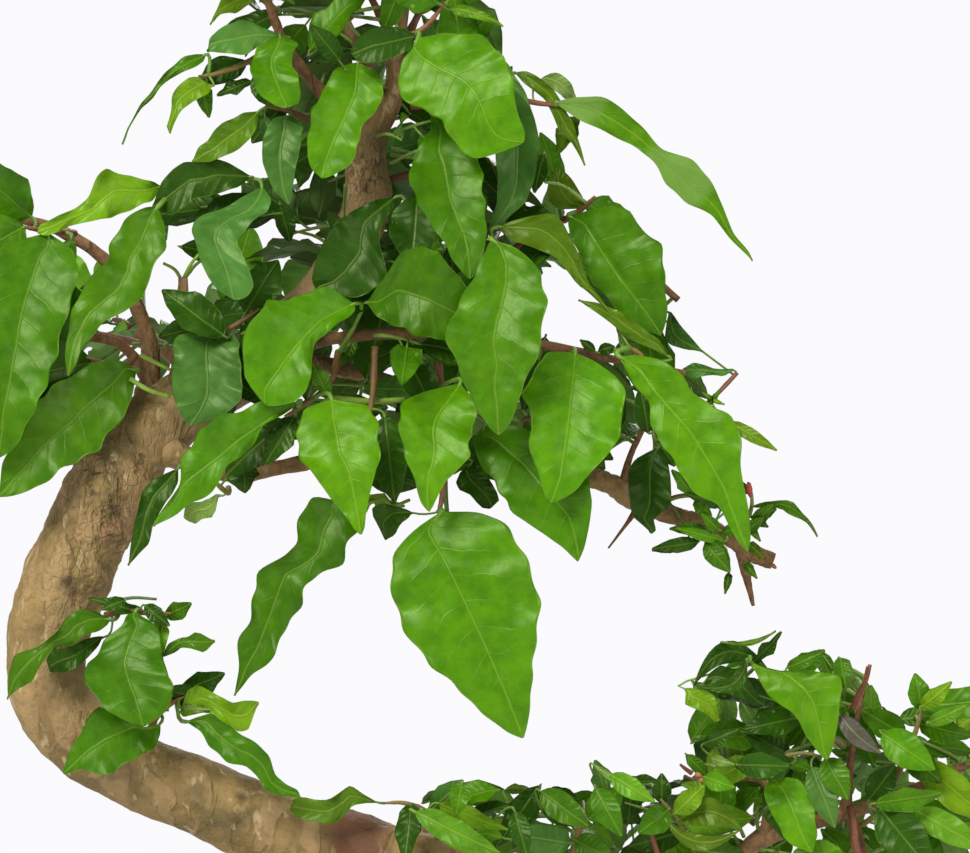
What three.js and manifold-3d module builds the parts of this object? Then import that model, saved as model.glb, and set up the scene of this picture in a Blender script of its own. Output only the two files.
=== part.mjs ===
// Chinese privet bonsai: an S-shaped trunk with leafy shoots, in an oval stoneware pot.
// Millimetres, +Z up. The origin is on the ground, under the middle of the pot.
// The front is seen along +Y, with +X to the right.

import * as THREE from "three";
import Module from "manifold-3d";

const wasm = await Module();
wasm.setup();

// Pot
const POT_LENGTH = 250;
const POT_WIDTH = 180;
const POT_HEIGHT = 62;
const POT_WALL = 7;
const POT_FLOOR = 8;
const FOOT_HEIGHT = 7;
const RIM_HEIGHT = 9;
const RIM_OVERHANG = 5;
const POT_TAPER = 9;
const DRAIN_RADIUS = 9;
const DRAIN_X = 58;
const POT_SIDES = 28;
const POT_FOOT_FROM = 32;
const POT_FOOT_TO = 62;
const POT_FOOT_INSET = 5;
const POT_FOOT_DEPTH = 16;
const POT_FOOT_STEPS = 5;

// Soil and the screens over the drain holes
const GAP = 0.35;
const SOIL_RIM_DROP = 7;
const SOIL_RISE = 5;
const SCREEN_SIZE = 28;
const SCREEN_THICK = 1.2;
const SCREEN_BARS = 3;
const SCREEN_BAR_WIDTH = 2.6;

// Tree
const TRUNK_SIDES = 12;
const TRUNK_STEPS = 33;
const LIMB_SIDES = 5;
const BLADE_THICK = 1.1;
const STALK_WIDTH = 1.5;
const STRAIGHT_LIMIT = 1.15;
const FIRST_RING = 0.35;
const FIRST_EDGE_RING = 0.08;
const LAST_EDGE_RING = 0.92;
const ROOT_SINK = 0.45;
const CLEARANCE = 0.45;

// The front view is read on the plane y = 0 from an eye at this distance and height.
const EYE_DISTANCE = 1600;
const EYE_HEIGHT = 303;
const FRONT_HALF_WIDTH = 145.5;
const FRONT_TOP = 431;
const FRONT_BOTTOM = 175;

const barkColour = new THREE.Color(0.42, 0.3, 0.19);
const leafColour = new THREE.Color(0.13, 0.33, 0.04);
const potColour = new THREE.Color(0.2, 0.11, 0.075);
const soilColour = new THREE.Color(0.1, 0.07, 0.045);
const screenColour = new THREE.Color(0.03, 0.03, 0.03);

const vec = (x, y, z) => new THREE.Vector3(x, y, z);
const radians = THREE.MathUtils.degToRad;

// The point at depth y that the front view shows at x, z of the plane y = 0.
function seen(x, z, y) {
  const scale = (EYE_DISTANCE + y) / EYE_DISTANCE;
  return vec(x * scale, y, EYE_HEIGHT + (z - EYE_HEIGHT) * scale);
}

// Where the front view shows a point, on the plane y = 0.
function onFront(p) {
  const scale = EYE_DISTANCE / (EYE_DISTANCE + p.y);
  return { x: p.x * scale, z: EYE_HEIGHT + (p.z - EYE_HEIGHT) * scale };
}

// Random numbers that are the same on each run.
function randomFrom(seed) {
  let state = seed >>> 0;
  return () => {
    state = (state + 0x6d2b79f5) >>> 0;
    let t = state;
    t = Math.imul(t ^ (t >>> 15), t | 1);
    t ^= t + Math.imul(t ^ (t >>> 7), t | 61);
    return ((t ^ (t >>> 14)) >>> 0) / 4294967296;
  };
}

// A closed solid from its corners and triangles.
function solid(points, faces) {
  const vertProperties = new Float32Array(points.flatMap((p) => [p.x, p.y, p.z]));
  const triVerts = new Uint32Array(faces.flat());
  return new wasm.Manifold(new wasm.Mesh({ numProp: 3, vertProperties, triVerts }));
}

// A closed skin over rings of equally many points, with a fan over each end. Quads are cut on
// alternate diagonals, so that the upper and lower faces of a leaf bend alike.
function loft(rings, start, end) {
  const sides = rings[0].length;
  const points = rings.flat();
  const faces = [];
  for (let i = 0; i + 1 < rings.length; i += 1) {
    for (let k = 0; k < sides; k += 1) {
      const a = i * sides + k;
      const b = i * sides + ((k + 1) % sides);
      if (k % 2 === 0) {
        faces.push([a, b, b + sides], [a, b + sides, a + sides]);
      } else {
        faces.push([a, b, a + sides], [b, b + sides, a + sides]);
      }
    }
  }
  const last = (rings.length - 1) * sides;
  points.push(start, end);
  for (let k = 0; k < sides; k += 1) {
    const next = (k + 1) % sides;
    faces.push([points.length - 2, next, k]);
    faces.push([points.length - 1, last + k, last + next]);
  }
  return solid(points, faces);
}

function curveThrough(stations) {
  const points = stations.map(([x, y, z]) => vec(x, y, z));
  return new THREE.CatmullRomCurve3(points, false, "centripetal");
}

// A woody or green stem through stations [x, y, z, radius], rounder with more sides.
function stem(stations, sides, steps, swell = () => 1, grow = 0) {
  const curve = curveThrough(stations);
  const centres = [];
  const radii = [];
  for (let i = 0; i <= steps; i += 1) {
    const t = i / steps;
    const at = t * (stations.length - 1);
    const left = Math.min(Math.floor(at), stations.length - 2);
    centres.push(curve.getPoint(t));
    radii.push(THREE.MathUtils.lerp(stations[left][3], stations[left + 1][3], at - left) + grow);
  }
  let across = vec(0, 1, 0);
  let length = 0;
  const rings = centres.map((centre, i) => {
    const before = centres[Math.max(i - 1, 0)];
    const after = centres[Math.min(i + 1, steps)];
    const along = after.clone().sub(before).normalize();
    across = across.clone().addScaledVector(along, -across.dot(along)).normalize();
    const up = along.clone().cross(across);
    length += i > 0 ? centre.distanceTo(before) : 0;
    return Array.from({ length: sides }, (_, k) => {
      const angle = (2 * Math.PI * k) / sides;
      const radius = radii[i] * swell(angle, length, centre);
      return centre.clone()
        .addScaledVector(across, Math.cos(angle) * radius)
        .addScaledVector(up, Math.sin(angle) * radius);
    });
  });
  return loft(rings, centres[0], centres[steps]);
}

// The bark is not round: long ridges wind along it, and roots spread at the soil.
const SOIL_LEVEL = POT_HEIGHT - SOIL_RIM_DROP + SOIL_RISE;
const ROOT_REACH = 26;

function barkSwell(angle, length, centre) {
  const ridges = 0.03 * Math.sin(3 * angle + 0.03 * length) + 0.02 * Math.sin(5 * angle - 0.045 * length);
  const low = THREE.MathUtils.clamp(1 - (centre.z - SOIL_LEVEL + 4) / ROOT_REACH, 0, 1);
  const roots = 0.22 * low * low * (1 + Math.cos(5 * angle + 0.6));
  return 1 + ridges + roots;
}

const TRUNK = [
  [3, 0, 40, 21], [4, 0, 56, 19], [8, 0, 67, 16.5], [20, 1, 79, 15.2], [39, 2, 90, 14.6],
  [60, 3, 101, 14.2], [73, 3, 115, 13.6], [69, 3, 131, 13.1], [50, 2, 144, 12.6],
  [20, 1, 156.5, 12.1], [-8, 0, 165.5, 11.8], [-31, 0, 172.5, 11.5], [-45, 0, 177, 11.5],
  [-60, 0, 182, 11.3], [-76, 0, 188, 11.3], [-89.5, 0, 194, 11.4], [-104, 0, 200, 11.2],
  [-119, 0, 208.5, 11.4], [-129, 0, 219, 11.7], [-132, 0, 231, 11.8], [-130, 0, 246, 12.3],
  [-126, 0, 257, 13], [-119.5, 0, 271, 12.6], [-112, 0, 286, 12.9], [-104, 1, 299, 11.5],
  [-90, 6, 310, 10], [-73, 10, 320, 9.2], [-56, 10, 334, 8.4], [-43, 7, 352, 7.4],
  [-35, 3, 371, 6.6], [-35.5, 2, 381, 6], [-33.5, 2, 391, 4], [-28, 2, 401, 3],
  [-27, 3, 413, 2.6], [-25, 3, 424, 1.7], [-23, 4, 438, 1.4],
];

// Woody limbs and twigs, read on the front view: [x, z, depth y, radius].
const LIMBS = {
  right: [[-98, 297, 0, 4], [-88, 293, -4, 3], [-76, 288.8, -7, 2.5], [-60, 291, -8, 2.3],
    [-35, 296, 0, 2.6], [-5, 294, 6, 2.7], [20, 290, 4, 2.9], [33, 287.5, 0, 3.3], [40, 284.5, 0, 3.4],
    [45, 280.5, 0, 3], [58, 276, 0, 2.6], [65, 274.5, 0, 2.4], [72, 270, 0, 2.4], [80, 265, 0, 2.6],
    [86.5, 262.6, 0, 2.6]],
  right_spur: [[77, 267, 0, 1.6], [78.3, 259, 0, 1.4], [80.5, 249.2, 0, 0.5]],
  right_thorn: [[46, 279, 0, 0.9], [43, 274.5, -1, 0.6], [37, 266.5, -2, 0.3]],
  right_upright: [[41, 284, 0, 1.2], [43.5, 294, -2, 1], [48, 303.5, -3, 0.7]],
  left: [[-108, 296, 2, 5], [-103, 308, 4, 3.4], [-100, 322, 5, 2.6], [-104, 338, 6, 2.2],
    [-113, 352, 7, 2], [-128, 362, 8, 1.8], [-142, 366, 10, 1.3]],
  left_low: [[-101, 318, 5, 1.8], [-110, 328, 2, 1.5], [-121, 330, 0, 1.2], [-140, 334, 4, 1]],
  left_stub: [[-92, 311, 3, 3], [-91.5, 330, -3, 1.7], [-90.5, 347, -6, 1.4]],
  crown_left: [[-34, 389, 2, 3], [-48, 402, 0, 2], [-60, 418, -4, 1.5], [-66, 433, -6, 1.2]],
  crown_mid: [[-30, 396, 2, 2.2], [-38, 417, 0, 1.9], [-43, 426, 0, 1.8], [-47, 440, 0, 1.3]],
  right_high: [[-41, 353, 8, 3], [-22, 350, 12, 1.9], [0, 352, 14, 1.7], [20, 360, 13, 1.5],
    [42, 354, 12, 1.3], [58, 341, 9, 1]],
  front: [[-64, 326, 8, 3.2], [-48, 329, -6, 1.9], [-28, 331, -12, 1.7], [-4, 330, -16, 1.5],
    [20, 327, -17, 1.4], [44, 322, -14, 1.2], [60, 319, -10, 0.9]],
  back: [[-46, 346, 5, 4.2], [-40, 349, 16, 3.2], [-30, 350, 30, 2.6], [-18, 347, 44, 1.8]],
  back_left: [[-84, 313, 4, 4], [-88, 320, 16, 3.1], [-96, 326, 30, 2.5], [-104, 330, 44, 1.8]],
  back_low: [[-68, 323, 5, 3.6], [-52, 322, 18, 2.8], [-34, 318, 32, 2.3], [-14, 312, 42, 1.6]],
  pad: [[60, 139, 3, 5], [66, 158, 0, 3.4], [76, 174, -3, 2.6], [88, 181, -4, 2.3],
    [109, 187, -3, 2.1], [128, 194, -1, 1.7], [148, 203, 2, 1.2]],
  pad_left: [[84, 179, -4, 1.5], [84, 196, -6, 1.1], [74, 198, -7, 0.9]],
  pad_up: [[108, 187, -3, 1.5], [110, 204, -3, 1], [112, 217, -3, 0.8], [115, 231, -3, 0.7]],
  pad_thorn: [[109, 187, -3, 1.5], [111.5, 182, -5, 1.3], [114.3, 174, -6, 0.7]],
  pad_back: [[66, 158, 1, 2.8], [74, 172, 16, 2.2], [86, 184, 30, 1.6], [96, 192, 44, 1.1]],
  low_back: [[6, 160, 2, 3.4], [-6, 170, 18, 2.4], [-16, 178, 32, 1.7], [-20, 184, 44, 1.2]],
};

function limbStations(name) {
  return LIMBS[name].map(([x, z, y, radius]) => [...seen(x, z, y).toArray(), radius]);
}

function limbSolid(name, grow = 0) {
  const stations = limbStations(name);
  const thick = stations[0][3] > 2;
  return stem(stations, thick ? LIMB_SIDES : 4, stations.length - 1, () => 1, grow);
}

function treeSolid() {
  let tree = stem(TRUNK, TRUNK_SIDES, TRUNK_STEPS, barkSwell);
  for (const name of Object.keys(LIMBS)) {
    tree = tree.add(limbSolid(name));
  }
  return tree;
}

// Half the width of a blade at u from base to tip, as a share of its half width.
const BELLY = 0.7;
const POINT = 0.95;
const WIDEST = Math.pow(BELLY / (BELLY + POINT), BELLY) * Math.pow(POINT / (BELLY + POINT), POINT);

function outline(u) {
  return (Math.pow(u, BELLY) * Math.pow(1 - u, POINT)) / WIDEST;
}

// The offsets of both edges from the line through base and tip. Leaves whose edges are read on
// the front view have rows [u, left, right]. The others have an even outline.
function edgesAt(leaf, u) {
  if (!leaf.edge) {
    const half = 0.5 * leaf.width * outline(u);
    return [-half, half];
  }
  const rows = [[0, 0, 0], ...leaf.edge, [1, 0, 0]];
  const next = rows.findIndex((row) => row[0] >= u);
  const [before, left, right] = rows[next - 1];
  const [after, nextLeft, nextRight] = rows[next];
  const t = (u - before) / (after - before);
  return [THREE.MathUtils.lerp(left, nextLeft, t), THREE.MathUtils.lerp(right, nextRight, t)];
}

// A leaf is a bowed midrib from base to tip, with waved edges either side of it.
// Returns a function of u and of side, from -1 at the left edge to 1 at the right.
function bladeSurface(leaf) {
  const chord = leaf.tip.clone().sub(leaf.base);
  const along = chord.clone().normalize();
  const face = leaf.face.clone().addScaledVector(along, -leaf.face.dot(along)).normalize();
  const at = (u, side) => {
    const turn = radians(leaf.roll + leaf.twist * (u - 0.5));
    const normal = face.clone().applyAxisAngle(along, turn);
    const across = along.clone().cross(normal);
    const arch = 4 * u * (1 - u);
    const [left, right] = edgesAt(leaf, u);
    const half = (right - left) / 2;
    const wave = leaf.stations > 2 ? leaf.wave : 0;
    const lift = half * Math.sin(radians(leaf.fold)) * Math.abs(side)
      + wave * outline(u) * side * side * Math.sin(2 * Math.PI * leaf.waves * u + leaf.phase + side);
    const point = leaf.base.clone()
      .addScaledVector(chord, u)
      .addScaledVector(face, leaf.bow * arch)
      .addScaledVector(along.clone().cross(face), leaf.sway * arch + (left + right) / 2)
      .addScaledVector(across, side * half * Math.cos(radians(leaf.fold)))
      .addScaledVector(normal, lift);
    return { point, normal };
  };
  return at;
}

function ringPlace(leaf, k) {
  if (leaf.edge) {
    return THREE.MathUtils.lerp(FIRST_EDGE_RING, LAST_EDGE_RING, k / (leaf.stations - 1));
  }
  return (k + FIRST_RING) / leaf.stations;
}

// Rings across a blade. A large one is a thin lens whose faces meet at the edges.
// A small one is flat above, with a keel along its midrib below.
function bladeRings(leaf, grow) {
  const at = bladeSurface(leaf);
  const small = leaf.stations === 2;
  const thick = (small ? BLADE_THICK * 0.7 : BLADE_THICK / 2) + grow;
  return Array.from({ length: leaf.stations }, (_, k) => {
    const u = ringPlace(leaf, k);
    const middle = at(u, 0);
    const left = at(u, -1).point;
    const right = at(u, 1).point;
    const out = right.clone().sub(left).normalize();
    const ring = [
      left.addScaledVector(out, -grow).addScaledVector(middle.normal, small ? grow : 0),
      middle.point.clone().addScaledVector(middle.normal, thick),
      right.addScaledVector(out, grow).addScaledVector(middle.normal, small ? grow : 0),
      middle.point.clone().addScaledVector(middle.normal, -thick),
    ];
    return small ? [ring[0], ring[2], ring[3]] : ring;
  });
}

function bladeSolid(leaf, grow = 0) {
  const along = leaf.tip.clone().sub(leaf.base).normalize();
  const start = leaf.base.clone().addScaledVector(along, -grow);
  return loft(bladeRings(leaf, grow), start, leaf.tip.clone().addScaledVector(along, grow));
}

// A leaf narrows into its stalk. Where it turns back from its stem, the stalk is a bent one.
function leafSolid(leaf, grow = 0) {
  const along = leaf.tip.clone().sub(leaf.base).normalize();
  const first = bladeSurface(leaf)(ringPlace(leaf, 0), 0).point;
  const reach = first.clone().sub(leaf.root);
  const half = STALK_WIDTH / 2 + grow;
  if (reach.angleTo(along) > STRAIGHT_LIMIT) {
    const end = leaf.base.clone().lerp(first, 0.6);
    const stalk = stem([[...leaf.root.toArray(), half], [...end.toArray(), half * 0.8]], 3, 1);
    return bladeSolid(leaf, grow).add(stalk);
  }
  const sunk = leaf.root.clone().addScaledVector(reach.normalize(), -ROOT_SINK);
  return loft(bladeRings(leaf, grow), sunk, leaf.tip.clone().addScaledVector(along, grow));
}

// Leaves of the front view. Each row: base x, z, depth; tip x, z, depth; width; then what differs.
// A row's edge is what the front view shows: u along the leaf, and the offsets of both edges.
const flat = { roll: 0, twist: 0, bow: 2, sway: 0, fold: 12, wave: 1, waves: 2, phase: 0 };

const SPRAYS = {
  crown_left: {
    stem: [[-62, 419, -9, 1.2], [-70, 413, -12, 1.1], [-80, 409, -14, 0.9], [-86, 408, -15, 0.5]],
    leaves: [
      [-59.1, 419.9, -13, -83.1, 415.4, -20, 10.7, { edge: [[0.16, -0.1, 2], [0.3, -0.6, 4.2],
        [0.43, -1.8, 6.1], [0.57, -3.2, 7.5], [0.7, -2.8, 7], [0.84, -1.3, 5.8], [0.97, -0.2, 3.8]] }],
      [-84, 414.5, -15, -108.9, 387.5, -18, 5.2, { wave: 1.5, waves: 3, edge: [[0.03, -1.1, 1.6],
        [0.13, -0.8, 4.4], [0.24, 1.3, 4.6], [0.34, 2.7, 4.9], [0.45, 3, 4.6], [0.55, 2.3, 4.1],
        [0.66, 3.1, 4], [0.76, 2.4, 3], [0.87, 1.6, 2.2], [0.97, 0, 0.6]] }],
      [-81.9, 405.2, -16, -94.5, 390.8, -20, 7.9, { edge: [[0.03, -0.3, 4.4], [0.16, -1, 6.9],
        [0.3, -0.1, 7.3], [0.43, 1.1, 7.3], [0.57, 1.7, 6.8], [0.7, 1.7, 4.5], [0.84, 1, 3.1],
        [0.97, 0, 2.1]] }],
      [-83.7, 405.8, -12, -82.8, 395.6, -12, 5.1, { edge: [[0.03, -0.4, 1], [0.22, -1.9, 3.2],
        [0.41, -1.7, 3.4], [0.59, -1.6, 2.9], [0.78, -1.4, 1.8], [0.97, -0.3, 0.3]] }],
      [-71.5, 412.5, -8, -85.5, 407.3, -8, 8.5, { edge: [[0.03, -1.3, 0.8], [0.22, -3.8, 2.6],
        [0.41, -4.2, 4.3], [0.59, -4.2, 4.2], [0.78, -3.6, 3.2], [0.97, -1, 0.5]] }],
      [-70, 406.5, -9, -80.5, 402.3, -9, 5, { roll: 30 }],
      [-61.5, 419.9, -16, -60.3, 398.3, -22, 13.7, { wave: 1.6, fold: 8, edge: [[0.03, -2.5, 2.4],
        [0.16, -5.6, 7.4], [0.3, -3.6, 8.8], [0.43, -3.3, 9.1], [0.57, -4.6, 9.1], [0.7, -5.4, 8.3],
        [0.84, -5.3, 6.2], [0.97, -4.2, 2.3]] }],
      [-69, 409, -10, -62.5, 398.3, -10, 8, {}],
    ],
  },
  crown_left_top: {
    stem: [[-61, 427, 2, 1.1], [-68, 432, 2, 1], [-74, 438, 2, 0.5]],
    leaves: [
      [-67, 434, -2, -82.5, 423.5, -6, 7, { edge: [[0.08, -1, 3], [0.2, -1.8, 3.6], [0.4, -1.8, 4],
        [0.6, -2, 5], [0.67, -0.4, 4], [0.8, 0.8, 2.4], [0.9, 0.2, 1.4]] }],
      [-62, 427, 6, -83.5, 415.5, 2, 9, { roll: 20 }],
      [-70, 436, 4, -84, 438, 4, 10, { roll: -50 }],
      [-70, 440, 0, -76, 456, -4, 11, { roll: -20 }],
    ],
  },
  crown_front: {
    stem: [[-37, 408, -4.5, 1.4], [-36, 413, -11, 1.3], [-30, 418, -17, 1.2], [-19, 422, -20, 1.1],
      [-12, 430, -20, 0.5]],
    leaves: [
      [-38.1, 412.1, -15, -48.9, 377.3, -26, 17.6, { bow: 3, wave: 1.5, edge: [[0.03, -6, 2.2],
        [0.13, -9.3, 5.9], [0.24, -10.7, 6.6], [0.34, -10, 7.6], [0.45, -7.9, 8.4],
        [0.55, -7.1, 8.6], [0.66, -7.4, 8.2], [0.76, -7.9, 7.4], [0.87, -6.5, 6.5],
        [0.97, -2.5, 3.7]] }],
      [-20.7, 421.1, -22, -40.2, 414.8, -24, 10.5, { edge: [[0.03, -1.7, -0.2], [0.16, -4.2, 2.7],
        [0.3, -5.1, 3.8], [0.43, -5.4, 4.5], [0.57, -5.4, 5.1], [0.7, -5.1, 5.1], [0.84, -4.4, 4],
        [0.97, -2.3, 1.4]] }],
      [-20.1, 419.6, -23, 11.7, 388.1, -34, 29.2, { bow: 4, wave: 1.2, fold: 6, edge: [
        [0.03, -1.4, 7.8], [0.13, -6.6, 13.5], [0.24, -10.9, 15.9], [0.34, -13.6, 15.6],
        [0.45, -14.1, 13.3], [0.55, -13.1, 12.9], [0.66, -11.4, 14], [0.76, -7.9, 15.3],
        [0.87, -4.3, 13.2], [0.97, -2.1, 4.6]] }],
      [-10, 428, -18, 5.5, 423, -20, 3.7, { edge: [[0.08, -2, 1], [0.2, -2.5, 1.2],
        [0.4, -2.6, 0.8], [0.6, -2.3, 0.5], [0.8, -1.5, 0.3], [0.92, -0.9, 0.2]] }],
      [-14, 430, -22, -30, 440, -26, 14, { roll: -30 }],
      [-10, 432, -20, 4, 448, -24, 15, { roll: -20 }],
    ],
  },
  crown_low: {
    stem: [[-42, 393, -3.5, 1.4], [-52, 395, -8, 1.2], [-60, 398, -11, 1], [-66, 399, -12, 0.5]],
    leaves: [
      [-58.5, 396.5, -13, -58.8, 369.5, -18, 11.7, { fold: 14, edge: [[0.03, -1.5, 4.5],
        [0.16, -4.2, 7], [0.3, -3.7, 8], [0.43, -3.1, 8.4], [0.57, -2.5, 8], [0.7, -2, 6.5],
        [0.84, -1.1, 4.6], [0.97, -0.6, 1.3]] }],
      [-68.1, 397.4, -12, -87.9, 382.4, -16, 9.2, { edge: [[0.03, -1, 0.6], [0.16, -3.9, 2.5],
        [0.3, -5.3, 3], [0.43, -5.7, 3.5], [0.57, -5.3, 3.5], [0.7, -4.6, 2], [0.84, -3.4, 2.4],
        [0.97, -0.6, 0.4]] }],
      [-66, 396, -8, -63, 386, -8, 7, { roll: 40 }],
      [-60, 400, -6, -70, 388, -4, 9, { roll: 10 }],
    ],
  },
  crown_right: {
    stem: [[-22, 399, -3, 1.4], [-10, 400, -9, 1.3], [4, 402, -11, 1.1], [16, 400, -10, 1],
      [24, 399, -9, 0.5]],
    leaves: [
      [-15.9, 396.8, -16, -4.5, 347, -36, 22.2, { bow: 4, wave: 1.4, fold: 14, edge: [
        [0.03, -1.8, 0.8], [0.13, -5, 1.7], [0.24, -7.6, 8.5], [0.34, -10.7, 10.5],
        [0.45, -11, 11.2], [0.55, -9.8, 10.4], [0.66, -9.4, 8.5], [0.76, -8.3, 5.6],
        [0.87, -6.5, 4], [0.97, -2.7, 1.7]] }],
      [4, 414, -12, 1.5, 359, -20, 14, { bow: 3, edge: [[0.03, -2.8, 2], [0.1, -5, 2],
        [0.2, -8.5, 2], [0.35, -12, 2], [0.5, -13.7, 0], [0.7, -12.3, -1.5], [0.8, -10, -1.5],
        [0.9, -4, 0], [0.97, -1.5, 0.5]] }],
      [9, 409.1, -6, 30, 381.2, -8, 5.2, { edge: [[0.03, -2.7, 0.1], [0.13, -4.5, -0.1],
        [0.24, -5.6, -1.4], [0.34, -6.2, -2.3], [0.45, -5.8, -1.5], [0.55, -5.2, -0.8],
        [0.66, -4.8, 0.4], [0.76, -3.4, -1], [0.87, -2.1, -0.6], [0.97, -0.6, 0]] }],
      [15.9, 406.4, -6, 27.3, 401.6, -4, 5.5, { edge: [[0.03, -1.5, -0.9], [0.22, -4.3, 0.1],
        [0.41, -4.7, 0.8], [0.59, -4.2, 1.2], [0.78, -2.9, 1.9]] }],
      [28, 396, -3, 21.5, 384.5, -3, 8, { roll: 40 }],
      [21.2, 400.3, -10, 80.4, 352.4, -16, 11.1, { wave: 1.2, edge: [[0.03, -3.6, 0.5],
        [0.13, -10.2, -0.3], [0.24, -10.9, -2.4], [0.34, -10.3, -4.2], [0.45, -8.8, -4.6],
        [0.55, -12.3, -1.2], [0.66, -11.2, -0.9], [0.76, -7.7, -3.2], [0.87, -2.8, -0.9],
        [0.97, -1.6, -0.4]] }],
    ],
  },
  left_upper: {
    stem: [[-96, 371.5, -4, 1.3], [-90, 374, -6, 1.1], [-80, 377, -8, 1], [-70, 377, -9, 0.5]],
    leaves: [
      [-97.2, 374.9, -8, -134.4, 361.1, -18, 14.8, { wave: 2.2, waves: 2.5, edge: [
        [0.03, -1.2, 1.6], [0.13, -3.6, 4.5], [0.24, -3.2, 7.2], [0.34, -3.7, 11.1],
        [0.45, -4.2, 9.1], [0.55, -3, 4.4], [0.66, -2.1, 3.1], [0.76, -1.6, 2.5], [0.87, -2, 2.3],
        [0.97, -1.9, 2]] }],
      [-70.2, 377.9, -6, -99.9, 368.9, -6, 11.9, { edge: [[0.03, -0.5, 1.3], [0.16, -2.2, 5.9],
        [0.3, -2.1, 8.6], [0.43, -2, 8.7], [0.57, -1.7, 10], [0.7, -3.2, 8.7], [0.84, -4.3, 6.5],
        [0.97, -1.3, 1]] }],
      [-66.9, 374.9, -16, -75, 340.7, -28, 15.2, { wave: 1.2, fold: 14, edge: [[0.03, -1.7, 1.1],
        [0.13, -4, 4.6], [0.24, -3.9, 8], [0.34, -0.1, 13.7], [0.45, 2.3, 17.5], [0.55, 3, 17],
        [0.66, 0.1, 14.9], [0.76, -2.7, 12.4], [0.87, -4.6, 9.8], [0.97, -3.3, 5.4]] }],
      [-98.1, 368.9, -16, -125.1, 317.9, -34, 17, { wave: 2, waves: 2.5, fold: 14, edge: [
        [0.02, -1, 2], [0.09, -5, 5.6], [0.2, -8.3, 7.4], [0.33, -7.4, 7.2], [0.38, -8, 5.5],
        [0.49, -9.8, 7.2], [0.58, -6.5, 8.5], [0.67, -2.5, 8.6], [0.82, 0.2, 5.8], [0.93, -0.5, 3.4]] }],
      [-64, 378, -4, -48, 387, -6, 9, { roll: 20 }],
    ],
  },
  left_outer: {
    stem: [[-123, 361, -2, 1.4], [-128, 361.5, -8, 1.2], [-134, 362, -12, 0.9], [-139, 363, -14, 0.5]],
    leaves: [
      [-131.1, 361.1, -16, -147, 293, -28, 28, { bow: 4, wave: 1.6, edge: [[0.05, -9, 6],
        [0.1, -11, 12], [0.2, -13, 15], [0.3, -12, 15.4], [0.4, -11.4, 15], [0.5, -11.5, 14],
        [0.6, -11, 13], [0.7, -10, 11], [0.8, -8, 9], [0.9, -6, 5], [0.97, -3.5, 2]] }],
      [-124, 359.5, -8, -124, 322, -12, 13, { roll: 20, sway: 4 }],
      [-138, 363, -14, -168, 345, -18, 22, { bow: 3 }],
      [-136, 366, -8, -158, 384, -12, 19, { roll: -25 }],
    ],
  },
  left_low: {
    stem: [[-105, 324, -1.5, 1.3], [-108, 321, -6, 1.1], [-114, 322, -10, 0.9], [-120, 324, -13, 0.4]],
    leaves: [
      [-104.5, 319.8, -10, -146.1, 281.9, -22, 23.6, { bow: 3, wave: 1.6, edge: [[0.03, -1, 6.8],
        [0.13, -5.9, 9.4], [0.24, -8, 11.8], [0.34, -8.6, 12.9], [0.45, -10.3, 13.3],
        [0.55, -8.9, 12.7], [0.66, -7.1, 11.1], [0.76, -6.8, 9.2], [0.87, -5.3, 6.3],
        [0.97, -1.8, 1.4]] }],
      [-118, 322, -14, -150, 316, -24, 20, { roll: -15 }],
    ],
  },
  shoulder: {
    stem: [[-84, 322, -9, 1.3], [-80, 330, -15, 1.1], [-74, 334, -18, 0.9], [-68, 338, -19, 0.4]],
    leaves: [
      [-83.1, 332.9, -17, -88.2, 302.9, -26, 21.6, { bow: 3, fold: 8, edge: [[0.03, -7.9, -1.5],
        [0.16, -10.4, 9.2], [0.3, -11.1, 9], [0.43, -12.2, 8.5], [0.57, -13.7, 7.9],
        [0.7, -13.8, 7.1], [0.84, -9.8, 5.5], [0.97, -2, 1.9]] }],
      [-70, 337, -15, -66, 312, -20, 12, { roll: 30 }],
      [-80, 334, -10, -98, 330, -12, 12, { roll: -30 }],
      [-72, 337, -10, -62, 353, -8, 13, { roll: 10 }],
      [-78, 330, -10, -97, 344, -6, 12, { roll: 20 }],
      [-66, 336, -10, -58, 316, -12, 14, { roll: 10 }],
      [-80, 328, -10, -76, 306, -13, 14, { roll: 20 }],
    ],
  },
  front_left: {
    stem: [[-44, 325.5, -11.5, 1.3], [-46, 317, -20, 1.2], [-52, 311, -26, 1], [-60, 306, -30, 0.6]],
    leaves: [
      [-39.3, 339.9, -24, -66, 309.2, -36, 24.4, { bow: 4, wave: 1.8, edge: [[0.03, -1.8, 8.3],
        [0.13, -1.4, 11.9], [0.24, -0.6, 13], [0.34, 0.4, 16.1], [0.45, 0.8, 19.5],
        [0.55, -1.6, 20.1], [0.66, -5.4, 18.9], [0.76, -6.7, 17.7], [0.87, -5.7, 14.4],
        [0.97, -2.2, 9.7]] }],
      [-55.7, 310.6, -32, -99.6, 272.9, -44, 14.8, { bow: 3, wave: 2.4, waves: 2.5, edge: [
        [0.03, -0.4, 0.7], [0.13, -0.1, 6.7], [0.24, 1.7, 8.5], [0.34, -1.6, 11.1],
        [0.45, -1, 13.3], [0.55, -0.9, 11.5], [0.66, -4.6, 10.2], [0.76, -2, 4.1],
        [0.87, -2.3, 2.5], [0.97, -0.3, 1.2]] }],
      [-57, 306, -28, -66, 291.5, -28, 9, { roll: 20 }],
      [-60, 305, -26, -78, 288, -24, 13, { roll: 20 }],
      [-46, 311.2, -33, -37.2, 270.5, -46, 24.8, { bow: 4, wave: 1.8, fold: 8, edge: [
        [0.03, -2.3, 7.7], [0.13, -10.3, 10.7], [0.24, -11.6, 12.2], [0.34, -11.8, 13],
        [0.45, -10.9, 12], [0.55, -9.7, 10.3], [0.66, -8.1, 7.5], [0.76, -5.3, 5.3],
        [0.87, -2.7, 3.3], [0.97, -1.5, 1.3]] }],
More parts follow.
